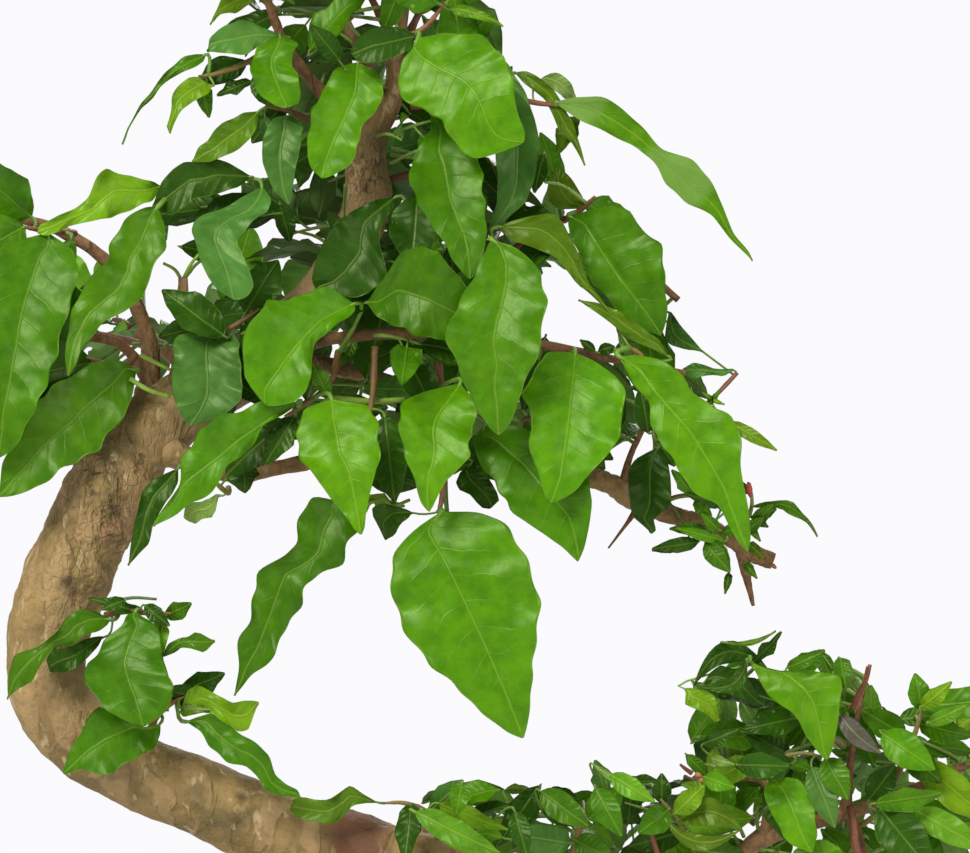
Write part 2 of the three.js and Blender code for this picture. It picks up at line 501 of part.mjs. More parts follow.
      [-47, 312, -26, -52, 322, -26, 6, { roll: 30 }],
    ],
  },
  front_low_left: {
    stem: [[-77, 284.8, -8, 1.1], [-77, 283, -10, 1], [-82, 287, -16, 0.8], [-88, 290, -18, 0.4]],
    leaves: [
      [-92.1, 290.6, -16, -107.1, 261.2, -22, 7.9, { wave: 1.4, edge: [[0.03, -0.6, 0.6],
        [0.13, -2.3, 3.2], [0.24, -2.4, 5.4], [0.34, -1.6, 6.3], [0.45, -1.2, 5.5],
        [0.55, -1.2, 4.7], [0.66, -2.1, 3.8], [0.76, -2.7, 2.9], [0.87, -1.3, 1.5],
        [0.97, -0.3, 0.3]] }],
      [-79.1, 282.3, -10, -90.3, 275.6, -6, 6.7, { edge: [[0.03, 0.6, 1.2], [0.22, -3.1, 1.1],
        [0.41, -4.3, 1.6], [0.59, -3.2, 2.9], [0.78, -3.4, 3.3], [0.97, -1.2, 0.5]] }],
      [-72, 292, -12, -72, 283, -14, 11, { roll: 30 }],
    ],
  },
  front_hang_left: {
    stem: [[-33, 327, -15.5, 1.3], [-34, 310, -18, 1.1], [-39, 292, -20, 0.9], [-43, 283, -21, 0.6]],
    leaves: [
      [-44, 280.5, -24, -75.3, 222, -30, 18, { bow: 3, wave: 2.6, waves: 3.2, edge: [[0.02, -3, 7],
        [0.06, -9.5, 8.5], [0.15, -8.6, 8], [0.25, -10, 5.6], [0.33, -5.5, 5.5], [0.4, -3, 10],
        [0.48, -5, 11], [0.6, -4.5, 8], [0.67, -3.6, 6.4], [0.75, -5.8, 6.8], [0.8, -4.5, 6],
        [0.87, -1.5, 3], [0.94, -1, 1.2]] }],
      [-30, 306, -22, -27, 280, -28, 13, { roll: 15 }],
      [-38, 283, -17, -24, 279, -16, 6, { roll: 50, bow: 3 }],
      [-36, 290, -12, -20, 285, -10, 10, { roll: 20 }],
    ],
  },
  front_centre: {
    stem: [[-14, 326, -19.5, 1.5], [-13, 304, -24, 1.3], [-12.5, 288, -27, 1.2], [-13, 281, -28, 1],
      [-14, 277, -29, 0.6]],
    leaves: [
      [-13, 277.5, -31, 11.5, 209.3, -40, 41.3, { bow: 3, wave: 1, fold: 5, edge: [[0.02, -3, 7],
        [0.05, -10, 12], [0.1, -14.5, 17.5], [0.2, -17.8, 21], [0.3, -18.6, 22.2], [0.4, -19, 22.3],
        [0.5, -18.2, 20.5], [0.6, -15, 18], [0.7, -11, 13.5], [0.8, -8, 10.5], [0.9, -4.5, 6.5],
        [0.96, -2.4, 3.4]] }],
      [-7.5, 315.8, -32, -16.8, 277.4, -44, 22.7, { bow: 4, wave: 2, waves: 2.5, edge: [
        [0.03, -1.6, 2.1], [0.13, -5.4, 8.7], [0.24, -8.1, 14.6], [0.34, -6.5, 15.6],
        [0.45, -7, 15.2], [0.55, -8, 13.2], [0.66, -6.6, 11], [0.76, -2.5, 8], [0.87, -1.7, 5.4],
        [0.97, -0.9, 2.4]] }],
      [-4.5, 291.4, -20, 1.5, 278.3, -22, 9.6, { edge: [[0.03, -0.1, 3], [0.22, -2.7, 6.2],
        [0.41, -3.7, 5.9], [0.59, -3.9, 3.6], [0.78, -4.1, 2.8], [0.97, -3.3, 1.8]] }],
      [-21.6, 277.1, -26, -30, 269, -28, 10.6, { edge: [[0.03, 0.1, 1.1], [0.22, -0.2, 5.2],
        [0.41, 0, 8.3], [0.59, -0.4, 9.4], [0.78, -1.3, 9.3]] }],
      [-4, 300, -14, 8, 286, -14, 12, { roll: 20 }],
    ],
  },
  front_upper: {
    stem: [[-30, 336, -14, 1.4], [-29, 342, -17, 1.2], [-24, 354, -18, 1], [-22, 363, -18, 0.6]],
    leaves: [
      [-35.5, 340.2, -24, -3.3, 333.5, -34, 26.5, { bow: 4, wave: 1.4, edge: [[0.03, -1.7, 0.8],
        [0.16, -8.8, 4], [0.3, -18, 4.9], [0.43, -19.7, 5.6], [0.57, -19.7, 6.8], [0.7, -16.6, 7],
        [0.84, -13.2, 5.9], [0.97, -6.5, 3.4]] }],
      [-26.7, 371.9, -17, -50.1, 343.1, -24, 22, { bow: 3, edge: [[0.03, -0.5, 1.1],
        [0.13, -1.9, 3.9], [0.24, -2.3, 6], [0.34, -3, 7.4], [0.45, -7.5, 8.2], [0.55, -13.2, 8.6],
        [0.66, -13.4, 8.6], [0.76, -12.3, 7.4], [0.87, -9.3, 6.1], [0.97, -1.6, 3.8]] }],
      [-20, 372, -15, -22, 350, -22, 16, { roll: 10 }],
      [-30, 352, -14, -48, 334, -16, 14, { roll: 10 }],
    ],
  },
  front_right: {
    stem: [[2, 334.5, -19.5, 1.4], [5, 342, -25, 1.2], [6, 351, -29, 1], [3, 358, -31, 0.6]],
    leaves: [
      [2.1, 359, -36, 4.2, 300.2, -50, 28.4, { bow: 5, wave: 1.4, fold: 10, edge: [
        [0.03, -5.4, 1.1], [0.13, -11.9, 3.9], [0.24, -14.3, 6.9], [0.34, -15.5, 10.6],
        [0.45, -14.6, 13.8], [0.55, -13.2, 14.8], [0.66, -12.1, 11.7], [0.76, -7.7, 9.4],
        [0.87, -5.8, 6.3], [0.97, -2.3, 2.7]] }],
      [4.1, 362.9, -22, 38.1, 336.5, -24, 12.3, { edge: [[0.03, -2.7, 0.9], [0.13, -8.4, 0.8],
        [0.24, -13, -0.7], [0.34, -12.6, -1.8], [0.45, -10.5, -3.1], [0.55, -8.5, -2.2],
        [0.66, -5.1, -0.8], [0.76, -2.9, -0.9], [0.87, -1.9, -0.5], [0.97, -0.6, 0]] }],
      [8, 350, -20, -16, 334, -20, 16, { roll: 10 }],
    ],
  },
  front_right_low: {
    stem: [[22, 322, -20, 1.4], [24, 316, -26, 1.2], [20, 309, -29, 1], [10, 304, -30, 0.6]],
    leaves: [
      [27, 325.1, -31, 19.8, 279.8, -44, 30.9, { bow: 4, wave: 1.2, fold: 8, edge: [
        [0.03, -5.3, 8.5], [0.13, -13.2, 9.9], [0.24, -16.2, 12.1], [0.34, -17, 13.9],
        [0.45, -16.8, 10.4], [0.55, -16.3, 9.7], [0.66, -14.7, 9.5], [0.76, -10.5, 7.4],
        [0.87, -7.8, 4.2], [0.97, -2.8, 2.2]] }],
      [0.3, 303.9, -26, 27.9, 262.4, -38, 23.7, { bow: 3, wave: 1.4, edge: [[0.03, 0.2, 5.6],
        [0.13, -7.6, 7.6], [0.24, -10.8, 8.4], [0.34, -13.1, 7.7], [0.45, -14.5, 8.1],
        [0.55, -15.6, 8.1], [0.66, -16, 6.8], [0.76, -14, 3.7], [0.87, -8.5, 1.8], [0.97, -3, 0.6]] }],
      [24, 304, -14, 36, 290, -14, 10, { roll: 10 }],
    ],
  },
  front_right_tip: {
    stem: [[48, 318, -18, 1.2], [47, 324, -21, 1], [43, 327, -22, 0.7]],
    leaves: [
      [40.2, 324, -27, 78.9, 265.4, -36, 22.2, { bow: 4, wave: 1.4, fold: 12, edge: [
        [0.03, -3.8, 0.3], [0.13, -11.1, 1.1], [0.24, -12.4, 0], [0.34, -12.7, 4.1],
        [0.45, -17, 4.1], [0.55, -18.3, 3.9], [0.66, -13.4, 4.6], [0.76, -9.4, -0.2],
        [0.87, -6.8, 0.6], [0.97, -2.4, 0.9]] }],
      [55.2, 324, -18, 27.9, 341, -20, 5.3, { edge: [[0.03, -0.5, 0.1], [0.16, -0.7, 2.8],
        [0.3, -1.6, 2.9], [0.43, -1.9, 3.4], [0.57, -1.2, 3.5], [0.7, -0.6, 3.2], [0.84, -0.4, 2.3],
        [0.97, -0.1, 0.4]] }],
      [33, 325.5, -20, 28.5, 329, -20, 3, {}],
      [34, 325.5, -18, 39, 327, -18, 4, {}],
      [39.7, 332.1, -16, 45.3, 324.2, -14, 6, { edge: [[0.03, -0.2, 0.4], [0.22, -1.3, 1.4],
        [0.41, -2.3, 2.5], [0.59, -3.1, 2.9], [0.78, -2.6, 2.4]] }],
    ],
  },
  right_high: {
    stem: [[22, 364.5, 9.5, 1.4], [26, 366, 2, 1.2], [30, 369, -2, 1], [33, 372, -4, 0.6]],
    leaves: [
      [25.5, 365.9, -4, 52.8, 330.2, -14, 23.3, { bow: 4, wave: 1.6, fold: 14, edge: [
        [0.03, -4.1, 2], [0.13, -12.4, 3.7], [0.24, -14.7, 4.6], [0.34, -14.6, 6.5],
        [0.45, -16.2, 6.9], [0.55, -16.4, 6.9], [0.66, -14.2, 6], [0.76, -10.6, 6.1],
        [0.87, -7.5, 4.7], [0.97, -2.9, 1.2]] }],
      [28.5, 367.4, 2, 21.3, 380.6, 4, 9.5, { edge: [[0.03, 1.2, 2.8], [0.22, -5.7, 3],
        [0.41, -6.9, 2.6], [0.59, -6.8, 2.5], [0.78, -4.4, 2], [0.97, -1.4, 0.7]] }],
      [30, 370, 0, 46, 361, -2, 12, { roll: -40 }],
    ],
  },
  right_far: {
    stem: [[52, 300, 6, 1.1], [60, 304.5, 5, 0.9], [68.4, 311.6, 2, 0.8], [75.4, 319.2, 1, 0.5]],
    leaves: [
      [54.9, 337.4, 2, 65.4, 325.4, -2, 7, { edge: [[0.03, -0.8, -0.1], [0.22, -0.4, 3.8],
        [0.41, -0.2, 6.8], [0.59, -0.1, 5.8], [0.78, -0.1, 3.4], [0.97, -0.1, 0.5]] }],
      [75, 319.7, 0, 59.1, 320, 0, 5.1, { edge: [[0.03, 0.1, 0.7], [0.22, -1.8, 0.5],
        [0.41, -1.4, 0.6], [0.59, -1.8, 1.6], [0.78, -2.6, 2.5], [0.97, -1.2, 0.6]] }],
      [73, 304.4, 0, 87.6, 295.8, -4, 4.2, {}],
      [60, 311, 7, 52, 318, 12, 9, { roll: 30 }],
    ],
  },
  limb_end: {
    stem: [[52, 279.5, -3.6, 1], [58, 282, -6, 0.9], [66, 282, -6, 0.9], [73, 277, -6, 0.9],
      [78, 275, -5, 0.9], [80, 279, -4, 0.8], [79.5, 286, -3, 0.4]],
    leaves: [
      [66, 283, -7, 61, 289, -8, 6, {}],
      [62, 283, -7, 56, 290, -9, 5, { roll: 20 }],
      [69, 281, -6, 76, 288, -6, 5, { roll: -20 }],
      [63, 281, -8, 68, 276, -10, 5, { roll: 20 }],
      [73, 279, -4, 74, 292, -3, 4, {}],
      [66, 272.5, -9, 55.3, 272.3, -10, 4, {}],
      [60, 268, -8, 50, 265.8, -9, 4, {}],
      [67, 269, -9, 73.5, 260, -10, 6, {}],
      [80.5, 279, -7, 99.8, 269.8, -11, 3.4, { sway: -4.5, roll: 30 }],
      [80.5, 276, -5, 87.5, 278.3, -5, 4, {}],
      [80.5, 275.5, -7, 85, 272.8, -8, 3, {}],
      [76, 273, -7, 70.5, 270.8, -8, 4, {}],
      [79, 283, -2, 74, 287, -2, 3.5, {}],
    ],
  },
  limb_hang: {
    stem: [[48, 282.4, -1.5, 1], [50, 288, -6, 0.9], [51, 297, -8, 0.8], [50, 303, -8, 0.4]],
    leaves: [
      [51.9, 296.6, -12, 49.8, 270.8, -16, 13.1, { bow: 2, fold: 14, edge: [[0.03, -0.7, 1.6],
        [0.16, -3.4, 6.6], [0.3, -4.3, 8.4], [0.43, -4.8, 8.3], [0.57, -5.1, 7.9], [0.7, -4.5, 7.2],
        [0.84, -0.3, 5.7], [0.97, -1.7, 0.7]] }],
      [51, 299, -8, 57, 291, -8, 5, {}],
      [49, 301, -8, 46.5, 315, -8, 7, {}],
    ],
  },
  elbow_upper: {
    stem: [[-113.7, 246.5, -7, 1.3], [-108, 247.5, -13, 1.1], [-100, 247, -16, 1], [-94, 247, -17, 0.4]],
    leaves: [
      [-112.5, 245, -15, -143.4, 221, -24, 9.6, { wave: 1.8, waves: 2.5, edge: [[0.03, -0.7, 3.5],
        [0.13, -0.7, 8.3], [0.24, 0.8, 8.7], [0.34, 0.6, 7.3], [0.45, 3.7, 6.7], [0.55, 3.3, 6.7],
        [0.66, 1.5, 8.1], [0.76, -0.5, 9.1], [0.87, 0.5, 6.2], [0.97, 0.4, 1]] }],
      [-114.3, 239.8, -12, -130.5, 229.4, -14.6, 8.3, { edge: [[0.03, 0, 0.8], [0.16, -1.4, 2],
        [0.3, -2.1, 2.8], [0.43, -2.8, 2.8], [0.57, -3.2, 3.3], [0.7, -3.5, 4.8], [0.84, -2.4, 4.9],
        [0.97, -0.7, 3.4]] }],
      [-104.8, 247.6, -18, -102.3, 212.9, -30, 24.5, { wave: 1.8, fold: 6, edge: [[0.03, -0.8, 2.7],
        [0.13, -5.3, 4.2], [0.24, -6.9, 9.9], [0.34, -6.6, 12.5], [0.45, -6.9, 15.6],
        [0.55, -8.3, 16.2], [0.66, -9.3, 15], [0.76, -9.3, 12.9], [0.87, -7.5, 9.5],
        [0.97, -2.9, 3.9]] }],
      [-96.9, 245.6, -14, -95.1, 217.4, -20, 8.2, { edge: [[0.03, -0.2, 1.8], [0.16, -2.5, 5.7],
        [0.3, -1.2, 6.9], [0.43, 0.4, 6.2], [0.57, -0.6, 5.5], [0.7, -1.6, 4.8], [0.84, -1.8, 3.1],
        [0.97, -0.4, 0.6]] }],
      [-102, 247, -12, -119, 251.5, -14.4, 5, { roll: 40 }],
      [-96, 246, -14, -88, 250, -14, 6, { roll: 20 }],
      [-96.6, 234.2, -19, -81, 238.7, -24, 6.9, { wave: 1.4, edge: [[0.03, -0.7, 0.4],
        [0.22, -3.2, 0.2], [0.41, -3.8, -0.9], [0.59, -3.5, -0.2], [0.78, -4.2, 2.7],
        [0.97, -0.3, 0.5]] }],
    ],
  },
  elbow_lower: {
    stem: [[-100.5, 212.2, -6, 1.3], [-98, 216.5, -12, 1.1], [-94, 220, -14, 1], [-90, 222, -15, 0.4]],
    leaves: [
      [-97.5, 213.8, -17, -126.6, 198.8, -24, 19.2, { wave: 1.4, edge: [[0.03, -2.5, 0.3],
        [0.16, -5.7, 1.4], [0.3, -5.8, 7.3], [0.43, -5.7, 13.5], [0.57, -6.6, 11.7],
        [0.7, -5.7, 8.6], [0.84, -1.1, 5.8], [0.97, -0.6, 1.5]] }],
      [-91.5, 217.3, -14, -67.8, 220.1, -18, 9, { wave: 1.6, edge: [[0.03, -1.3, 1.7],
        [0.16, -6.6, 1.4], [0.3, -7.9, 1], [0.43, -5.3, 1.5], [0.57, -2.9, 4.5], [0.7, -1.4, 7.6],
        [0.84, -1.2, 7.8], [0.97, -0.7, 1.2]] }],
      [-95, 224, -12, -82.5, 220.5, -12, 8, { roll: 20 }],
      [-89.7, 214.4, -18, -55.5, 191.6, -24, 9.3, { wave: 1.6, waves: 2.5, edge: [
        [0.03, -2.1, -0.2], [0.13, -6.6, -0.1], [0.24, -6.5, 2.1], [0.34, -6.1, 2.6],
        [0.45, -6.5, 2.8], [0.55, -6.6, 1.1], [0.66, -5.7, 1.7], [0.76, -1.7, 3.5],
        [0.87, -1.1, 2.9], [0.97, -1.8, 0.7]] }],
      [-92, 223, -8, -78, 229, -6, 8, { roll: 20 }],
    ],
  },
  trunk_mid: {
    stem: [[-14, 179.3, -7, 1.2], [-17, 187, -11, 1], [-24, 190, -12, 0.9], [-31, 190, -12, 0.4]],
    leaves: [
      [-32.1, 190.2, -14, -58.5, 188, -17, 8, { wave: 1.4, edge: [[0.03, -0.1, 0.5], [0.16, 0.3, 3],
        [0.3, -0.2, 5.9], [0.43, -3.6, 4.4], [0.57, -5.2, 2.5], [0.7, -4.4, 2.5], [0.84, -3.5, 3.5],
        [0.97, -1.3, 3.4]] }],
      [-22, 190, -12, -24, 172, -20, 8, { roll: 20 }],
      [-16, 188, -8, -6.5, 197, -8, 8, {}],
      [-19, 188, -14, -1, 174, -18, 8, { roll: -10 }],
      [-14, 190, -12, 7, 182, -16, 6, { roll: 20 }],
    ],
  },
  trunk_low_left: {
    stem: [[24, 169.5, -7, 1.2], [27, 178, -10, 1.1], [30, 186, -11, 0.9], [36, 193, -11, 0.5]],
    leaves: [
      [28, 184, -9, 14, 192, -9, 8, { roll: 20 }],
      [26, 178, -12, 7, 181, -15, 10, {}],
      [31, 185, -14, 41.5, 195, -17, 10, {}],
      [36, 193, -9, 33, 203, -9, 7, { roll: 30 }],
      [27, 179, -14, 39, 173, -18, 9, {}],
      [25, 176, -8, 14, 173, -10, 8, { roll: 20 }],
    ],
  },
  trunk_low_right: {
    stem: [[67, 170, -7.5, 1.1], [62, 178, -11, 1], [57, 186, -13, 0.9], [52, 192, -13, 0.5]],
    leaves: [
      [58, 185, -15, 77, 182, -19, 9, { sway: -4 }],
      [63, 176, -14, 79, 174, -16, 8, {}],
      [57, 187, -15, 66, 195.5, -16, 7, {}],
      [55, 188, -16, 46, 181, -19, 9, {}],
      [60, 182, -10, 43, 177, -10, 9, { roll: 10 }],
      [53, 190, -12, 53, 199, -12, 6, {}],
    ],
  },
  pad_top: {
    stem: [[108, 207, -5.5, 1.2], [99, 213, -9, 1.1], [92, 221, -12, 1], [85, 228, -13, 0.8],
      [79, 232, -12, 0.5]],
    leaves: [
      [79.6, 233.5, -15, 102.9, 203, -25, 18.5, { bow: 3, fold: 14, edge: [[0.03, 0.4, 1],
        [0.13, -1.5, 1.4], [0.24, -4.9, 2.1], [0.34, -10.3, 2.8], [0.45, -14.6, 2.2],
        [0.55, -18.5, 0], [0.66, -15.8, 0.4], [0.76, -12.1, 0.9], [0.87, -7.3, 1.2],
        [0.97, -2.7, 0.9]] }],
      [85, 230, -10, 62.5, 225, -12, 7, { sway: 8 }],
      [65.5, 226.1, -13, 84, 219.2, -15, 7.9, { edge: [[0.03, -3.4, 0.5], [0.16, -7, 0.7],
        [0.3, -7.1, 0.4], [0.43, -7.5, 0.4], [0.57, -6.9, 0.6], [0.7, -4.9, 0.8], [0.84, -2.6, 1.1],
        [0.97, -0.7, 0.4]] }],
      [60, 224.3, -10, 70.2, 214.7, -10, 6.7, { edge: [[0.03, -1, 0.1], [0.22, -2.8, 3.6],
        [0.41, -4.1, 2.6], [0.59, -4.4, 1.5], [0.78, -2.4, 0.9], [0.97, -0.6, 1.2]] }],
      [80, 232, -8, 89, 241.5, -8, 5, { roll: 40 }],
      [91, 229, -8, 102, 236, -8, 7, { roll: 20 }],
      [97, 215, -8, 106, 226, -6, 9, {}],
      [95, 216, -10, 77, 212, -12, 9, { roll: 20 }],
    ],
  },
  pad_middle: {
    stem: [[84.5, 199, -9, 1.1], [88, 203, -12, 1], [95, 205, -14, 0.8], [101, 204, -15, 0.5]],
    leaves: [
      [88.7, 198.4, -17, 98.1, 175.1, -25, 12.8, { wave: 1.2, edge: [[0.03, -0.4, 5],
        [0.16, -4.8, 7], [0.3, -5.7, 7.1], [0.43, -5.8, 6.8], [0.57, -5.3, 6.6], [0.7, -4.5, 6.2],
        [0.84, -3.5, 5], [0.97, -0.8, 1.2]] }],
      [98, 201, -18, 105, 182.5, -23, 9, {}],
      [85, 196, -12, 90, 179, -16, 8, { roll: 20 }],
      [92, 202, -12, 75, 201, -15, 10, { roll: -20 }],
      [102, 203.5, -16, 109, 191, -20, 9, {}],
      [80, 203, -11, 65, 195.5, -15, 8, {}],
      [90, 205, -11, 76, 213, -11, 8, { roll: 20 }],
    ],
  },
  pad_right: {
    stem: [[123, 197, -5, 1.2], [126, 204, -8, 1.1], [129, 211, -9, 1], [131, 218, -9, 0.6]],
    leaves: [
      [119, 211, -14, 135, 200, -18, 11, {}],
      [126, 206, -10, 137, 196, -13, 9, { roll: 10 }],
      [131, 219, -9, 165, 222, -11, 10, { roll: -20 }],
      [131, 218, -7, 129, 229, -7, 7, {}],
      [130, 203, -7, 152, 184, -9, 11, { roll: 10 }],
      [126, 210, -5, 113, 218, -6, 9, {}],
      [130, 214, -6, 146, 210, -6, 9, { roll: 30 }],
    ],
  },
  pad_low: {
    stem: [[113, 183.5, -7, 1.1], [119, 187, -11, 1], [125, 188, -13, 0.8], [131, 188, -14, 0.5]],
    leaves: [
      [118, 189, -16, 135, 168, -22, 14, {}],
      [129, 188, -16, 150, 176, -19, 9, { roll: -10 }],
      [123, 190, -12, 147, 185, -12, 8, { roll: 20 }],
      [115, 191, -9, 123, 201.5, -9, 9, {}],
      [117, 190, -8, 137, 193, -8, 8, { roll: 20 }],
    ],
  },
};

// The rows above as leaves, each with its place to leave the stem.
// The places lie between the corners of the stem, where a leaf grows out of its side.
const PLACES_A_STEP = 5;

function nearestOn(points, target) {
  const places = points.slice(1).flatMap((after, i) => (
    Array.from({ length: PLACES_A_STEP }, (_, k) => (
      points[i].clone().lerp(after, (k + 0.5) / PLACES_A_STEP)
    ))
  ));
  return places.reduce((best, p) => (p.distanceTo(target) < best.distanceTo(target) ? p : best));
}

// How many rings a blade has, by its length, with one more where its edges are read.
const RING_LENGTHS = [23, 46];
const EDGE_RING_LENGTHS = [15, 28, 50];

function bladeStations(length, edged) {
  const limits = edged ? EDGE_RING_LENGTHS : RING_LENGTHS;
  return 2 + limits.filter((limit) => length >= limit).length;
}

const SLIDES = [0, -3, 3, -6, 6, -9, 9, -12, 12, -16, 16, -20, 20];

function frontLeaf(row, stemPoints, slide) {
  const [bx, bz, by, tx, tz, ty, width, more] = row;
  const base = seen(bx, bz, by + slide);
  const tip = seen(tx, tz, ty + slide);
  const stations = bladeStations(tip.distanceTo(base), Boolean(more.edge));
  const root = nearestOn(stemPoints, base);
  return { ...flat, ...more, base, tip, width, stations, root, face: vec(0, -1, 0) };
}

// Shoots out of the front view's reach, by a rule: limb, place along it from 0 to 1,
// compass angle from +X, rise, length, leaf pairs, leaf length.
const SHOOTS = [
  ["trunk", 0.97, 200, 60, 32, 4, 34], ["trunk", 0.985, 320, 62, 34, 4, 34],
  ["trunk", 0.94, 60, 50, 46, 4, 36], ["trunk", 0.95, 130, 55, 48, 4, 36],
  ["trunk", 0.99, 40, 75, 34, 4, 32], ["crown_left", 0.92, 170, 45, 26, 3, 30],
  ["crown_left", 0.7, 110, 40, 36, 3, 34], ["crown_mid", 0.97, 260, 60, 26, 3, 30],
  ["trunk", 0.86, 90, 20, 44, 4, 40], ["trunk", 0.84, 40, 15, 42, 3, 40],
  ["right_high", 0.4, 82, 24, 40, 4, 38], ["back", 0.45, 20, 25, 42, 4, 40],
  ["back", 0.5, 108, 20, 42, 4, 40], ["back", 0.97, 60, 20, 22, 3, 30],
  ["back_left", 0.5, 60, 30, 36, 3, 38], ["back_left", 0.6, 150, 15, 36, 4, 38],
  ["back_left", 0.97, 110, 15, 17, 3, 29], ["back_low", 0.6, 40, 15, 36, 3, 38],
  ["back_low", 0.97, 60, 0, 26, 3, 34], ["left", 0.97, 140, 15, 8, 2, 17],
  ["left_low", 0.97, 125, 5, 10, 2, 20],
  ["pad", 0.9, 125, 22, 28, 4, 22], ["pad_back", 0.6, 150, 35, 30, 4, 28],
  ["pad_back", 0.97, 50, 30, 24, 4, 26], ["low_back", 0.6, 40, 22, 28, 3, 26],
];

const PAIR_SPREAD = 58;
const SHOOT_RADIUS = 1.5;
const SWINGS = [0, 5, -5, 10, -10, 15, -15];

function shootStations(shoot) {
  const [limb, place, compass, rise, length] = shoot;
  const stations = limb === "trunk" ? TRUNK : limbStations(limb);
  const curve = curveThrough(stations);
  const at = place * (stations.length - 1);
  const left = Math.min(Math.floor(at), stations.length - 2);
  const radius = THREE.MathUtils.lerp(stations[left][3], stations[left + 1][3], at - left);
  const along = curve.getTangent(place);
  const heading = radians(compass);
  const out = vec(Math.cos(heading), Math.sin(heading), Math.tan(radians(rise))).normalize();
  const clear = Math.sqrt(Math.max(1 - out.dot(along) ** 2, 0.04));
  const start = curve.getPoint(place).addScaledVector(out, (radius * 1.08 + 1) / clear + 0.6);
  const droop = length * 0.12;
  return [0, 0.35, 0.7, 1].map((t) => {
    const p = start.clone().addScaledVector(out, length * t);
    p.z -= droop * t * t;
    return [p.x, p.y, p.z, SHOOT_RADIUS * (1 - 0.45 * t)];
  });
}

// Opposite leaves in pairs, each pair turned a quarter from the one before.
function shootLeaves(shoot, seed) {
  const [, , , , , pairs, size] = shoot;
  const random = randomFrom(seed);
  const curve = curveThrough(shootStations(shoot));
  const leaves = [];
  for (let pair = 0; pair < pairs; pair += 1) {
    const t = 0.3 + (0.66 * pair) / Math.max(pairs - 1, 1);
    const root = curve.getPoint(t);
    const along = curve.getTangent(t);
    const level = vec(0, 0, 1).cross(along).normalize();
    for (const hand of [0, 1]) {
      const turn = Math.PI * (hand + 0.5 * (pair % 2) + 0.2 * (random() - 0.5));
      const sideways = level.clone().applyAxisAngle(along, turn);
      const spread = radians(PAIR_SPREAD + 14 * (random() - 0.5) - 14 * t);
      const out = along.clone().multiplyScalar(Math.cos(spread));
      out.addScaledVector(sideways, Math.sin(spread));
      out.z -= 0.25;
      out.normalize();
      const length = size * (0.8 + 0.4 * random()) * (1 - 0.25 * t);
      const base = root.clone().addScaledVector(out, 4);
      const tip = base.clone().addScaledVector(out, length);
      const face = vec(0, 0, 1).addScaledVector(along, 0.7);
      leaves.push({
        root, base, tip, face,
        width: length * (0.46 + 0.12 * random()),
        roll: 40 * (random() - 0.5), twist: 20 * (random() - 0.5),
        bow: length * (0.04 + 0.06 * random()), sway: 0, fold: 8 + 12 * random(),
        wave: length * 0.04, waves: 1.5 + random(), phase: 6.28 * random(), stations: 2,
      });
    }
  }
  return leaves;
}

function swung(leaf, swing) {
  const along = leaf.tip.clone().sub(leaf.base).normalize();
  const face = leaf.face.clone().addScaledVector(along, -leaf.face.dot(along)).normalize();
  return { ...leaf, tip: leaf.tip.clone().addScaledVector(face, swing) };
}

// What the front view shows of the leaf mass. Rule-made leaves stay behind it there.
const MASS = [
  [-62, 440], [-80, 418], [-82, 404], [-62, 398], [-66, 380], [-90, 374], [-128, 362], [-146, 368],
  [-146, 290], [-124, 298], [-108, 312], [-92, 306], [-60, 300], [-45, 288], [-30, 284], [0, 284],
  [15, 276], [28, 270], [46, 292], [72, 300], [60, 330], [45, 345], [25, 362], [25, 385], [10, 405],
  [0, 440],
];

const LOW_MASS = [
  [-34, 160], [-34, 190], [-10, 196], [30, 193], [44, 198], [62, 196], [66, 220], [86, 230],
  [108, 232], [124, 214], [140, 204], [146, 220], [146, 160],
];

function inside(polygon, p) {
  let odd = false;
  polygon.forEach(([x1, z1], i) => {
    const [x2, z2] = polygon[(i + 1) % polygon.length];
    if (z1 > p.z !== z2 > p.z && p.x < x1 + ((p.z - z1) * (x2 - x1)) / (z2 - z1)) {
      odd = !odd;
    }
  });
  return odd;
}

function hiddenFromFront(leaf) {
  const at = bladeSurface(leaf);
  const probes = [leaf.tip, at(0.4, -1).point, at(0.4, 1).point, at(0.75, 1).point, at(0.75, -1).point];
  return probes.map(onFront).every((p) => {
    const inView = Math.abs(p.x) < FRONT_HALF_WIDTH && p.z < FRONT_TOP && p.z > FRONT_BOTTOM;
    return !inView || inside(MASS, p) || inside(LOW_MASS, p);
  });
}

// Solids placed so far, with their boxes, so that no leaf crosses another or the wood.
const placed = [];

function place(node, kind, body) {
  placed.push({ node, kind, body, box: body.boundingBox() });
}

function isClear(body, others) {
  const box = body.boundingBox();
  const apart = (other) => [0, 1, 2].some((k) => box.min[k] > other.max[k] || box.max[k] < other.min[k]);
  return others.every((entry) => apart(entry.box) || body.intersect(entry.body).isEmpty());
}

// The first form of the leaf that is clear of all else, if there is one.
function settle(node, forms) {
  const others = placed.filter((entry) => entry.node !== node);
  const siblings = placed.filter((entry) => entry.node === node && entry.kind === "leaf");
  return forms.find((leaf) => (
    isClear(leafSolid(leaf, CLEARANCE), others) && isClear(bladeSolid(leaf, CLEARANCE), siblings)
  ));
}

function spraySolid(name, stemBody, leafForms) {
  let body = stemBody;
  for (const forms of leafForms) {
    const leaf = settle(name, forms);
    if (leaf) {
      const blade = leafSolid(leaf);
      place(name, "leaf", blade);
      body = body.add(blade);
    }
  }
  return body;
}

// A pot wall follows an oval; inset shrinks it evenly.
function oval(inset, z) {
  return Array.from({ length: POT_SIDES }, (_, k) => {
    const angle = (2 * Math.PI * k) / POT_SIDES;
    const x = (POT_LENGTH / 2 - inset) * Math.cos(angle);
    const y = (POT_WIDTH / 2 - inset) * Math.sin(angle);
    return vec(x, y, z);
  });
}

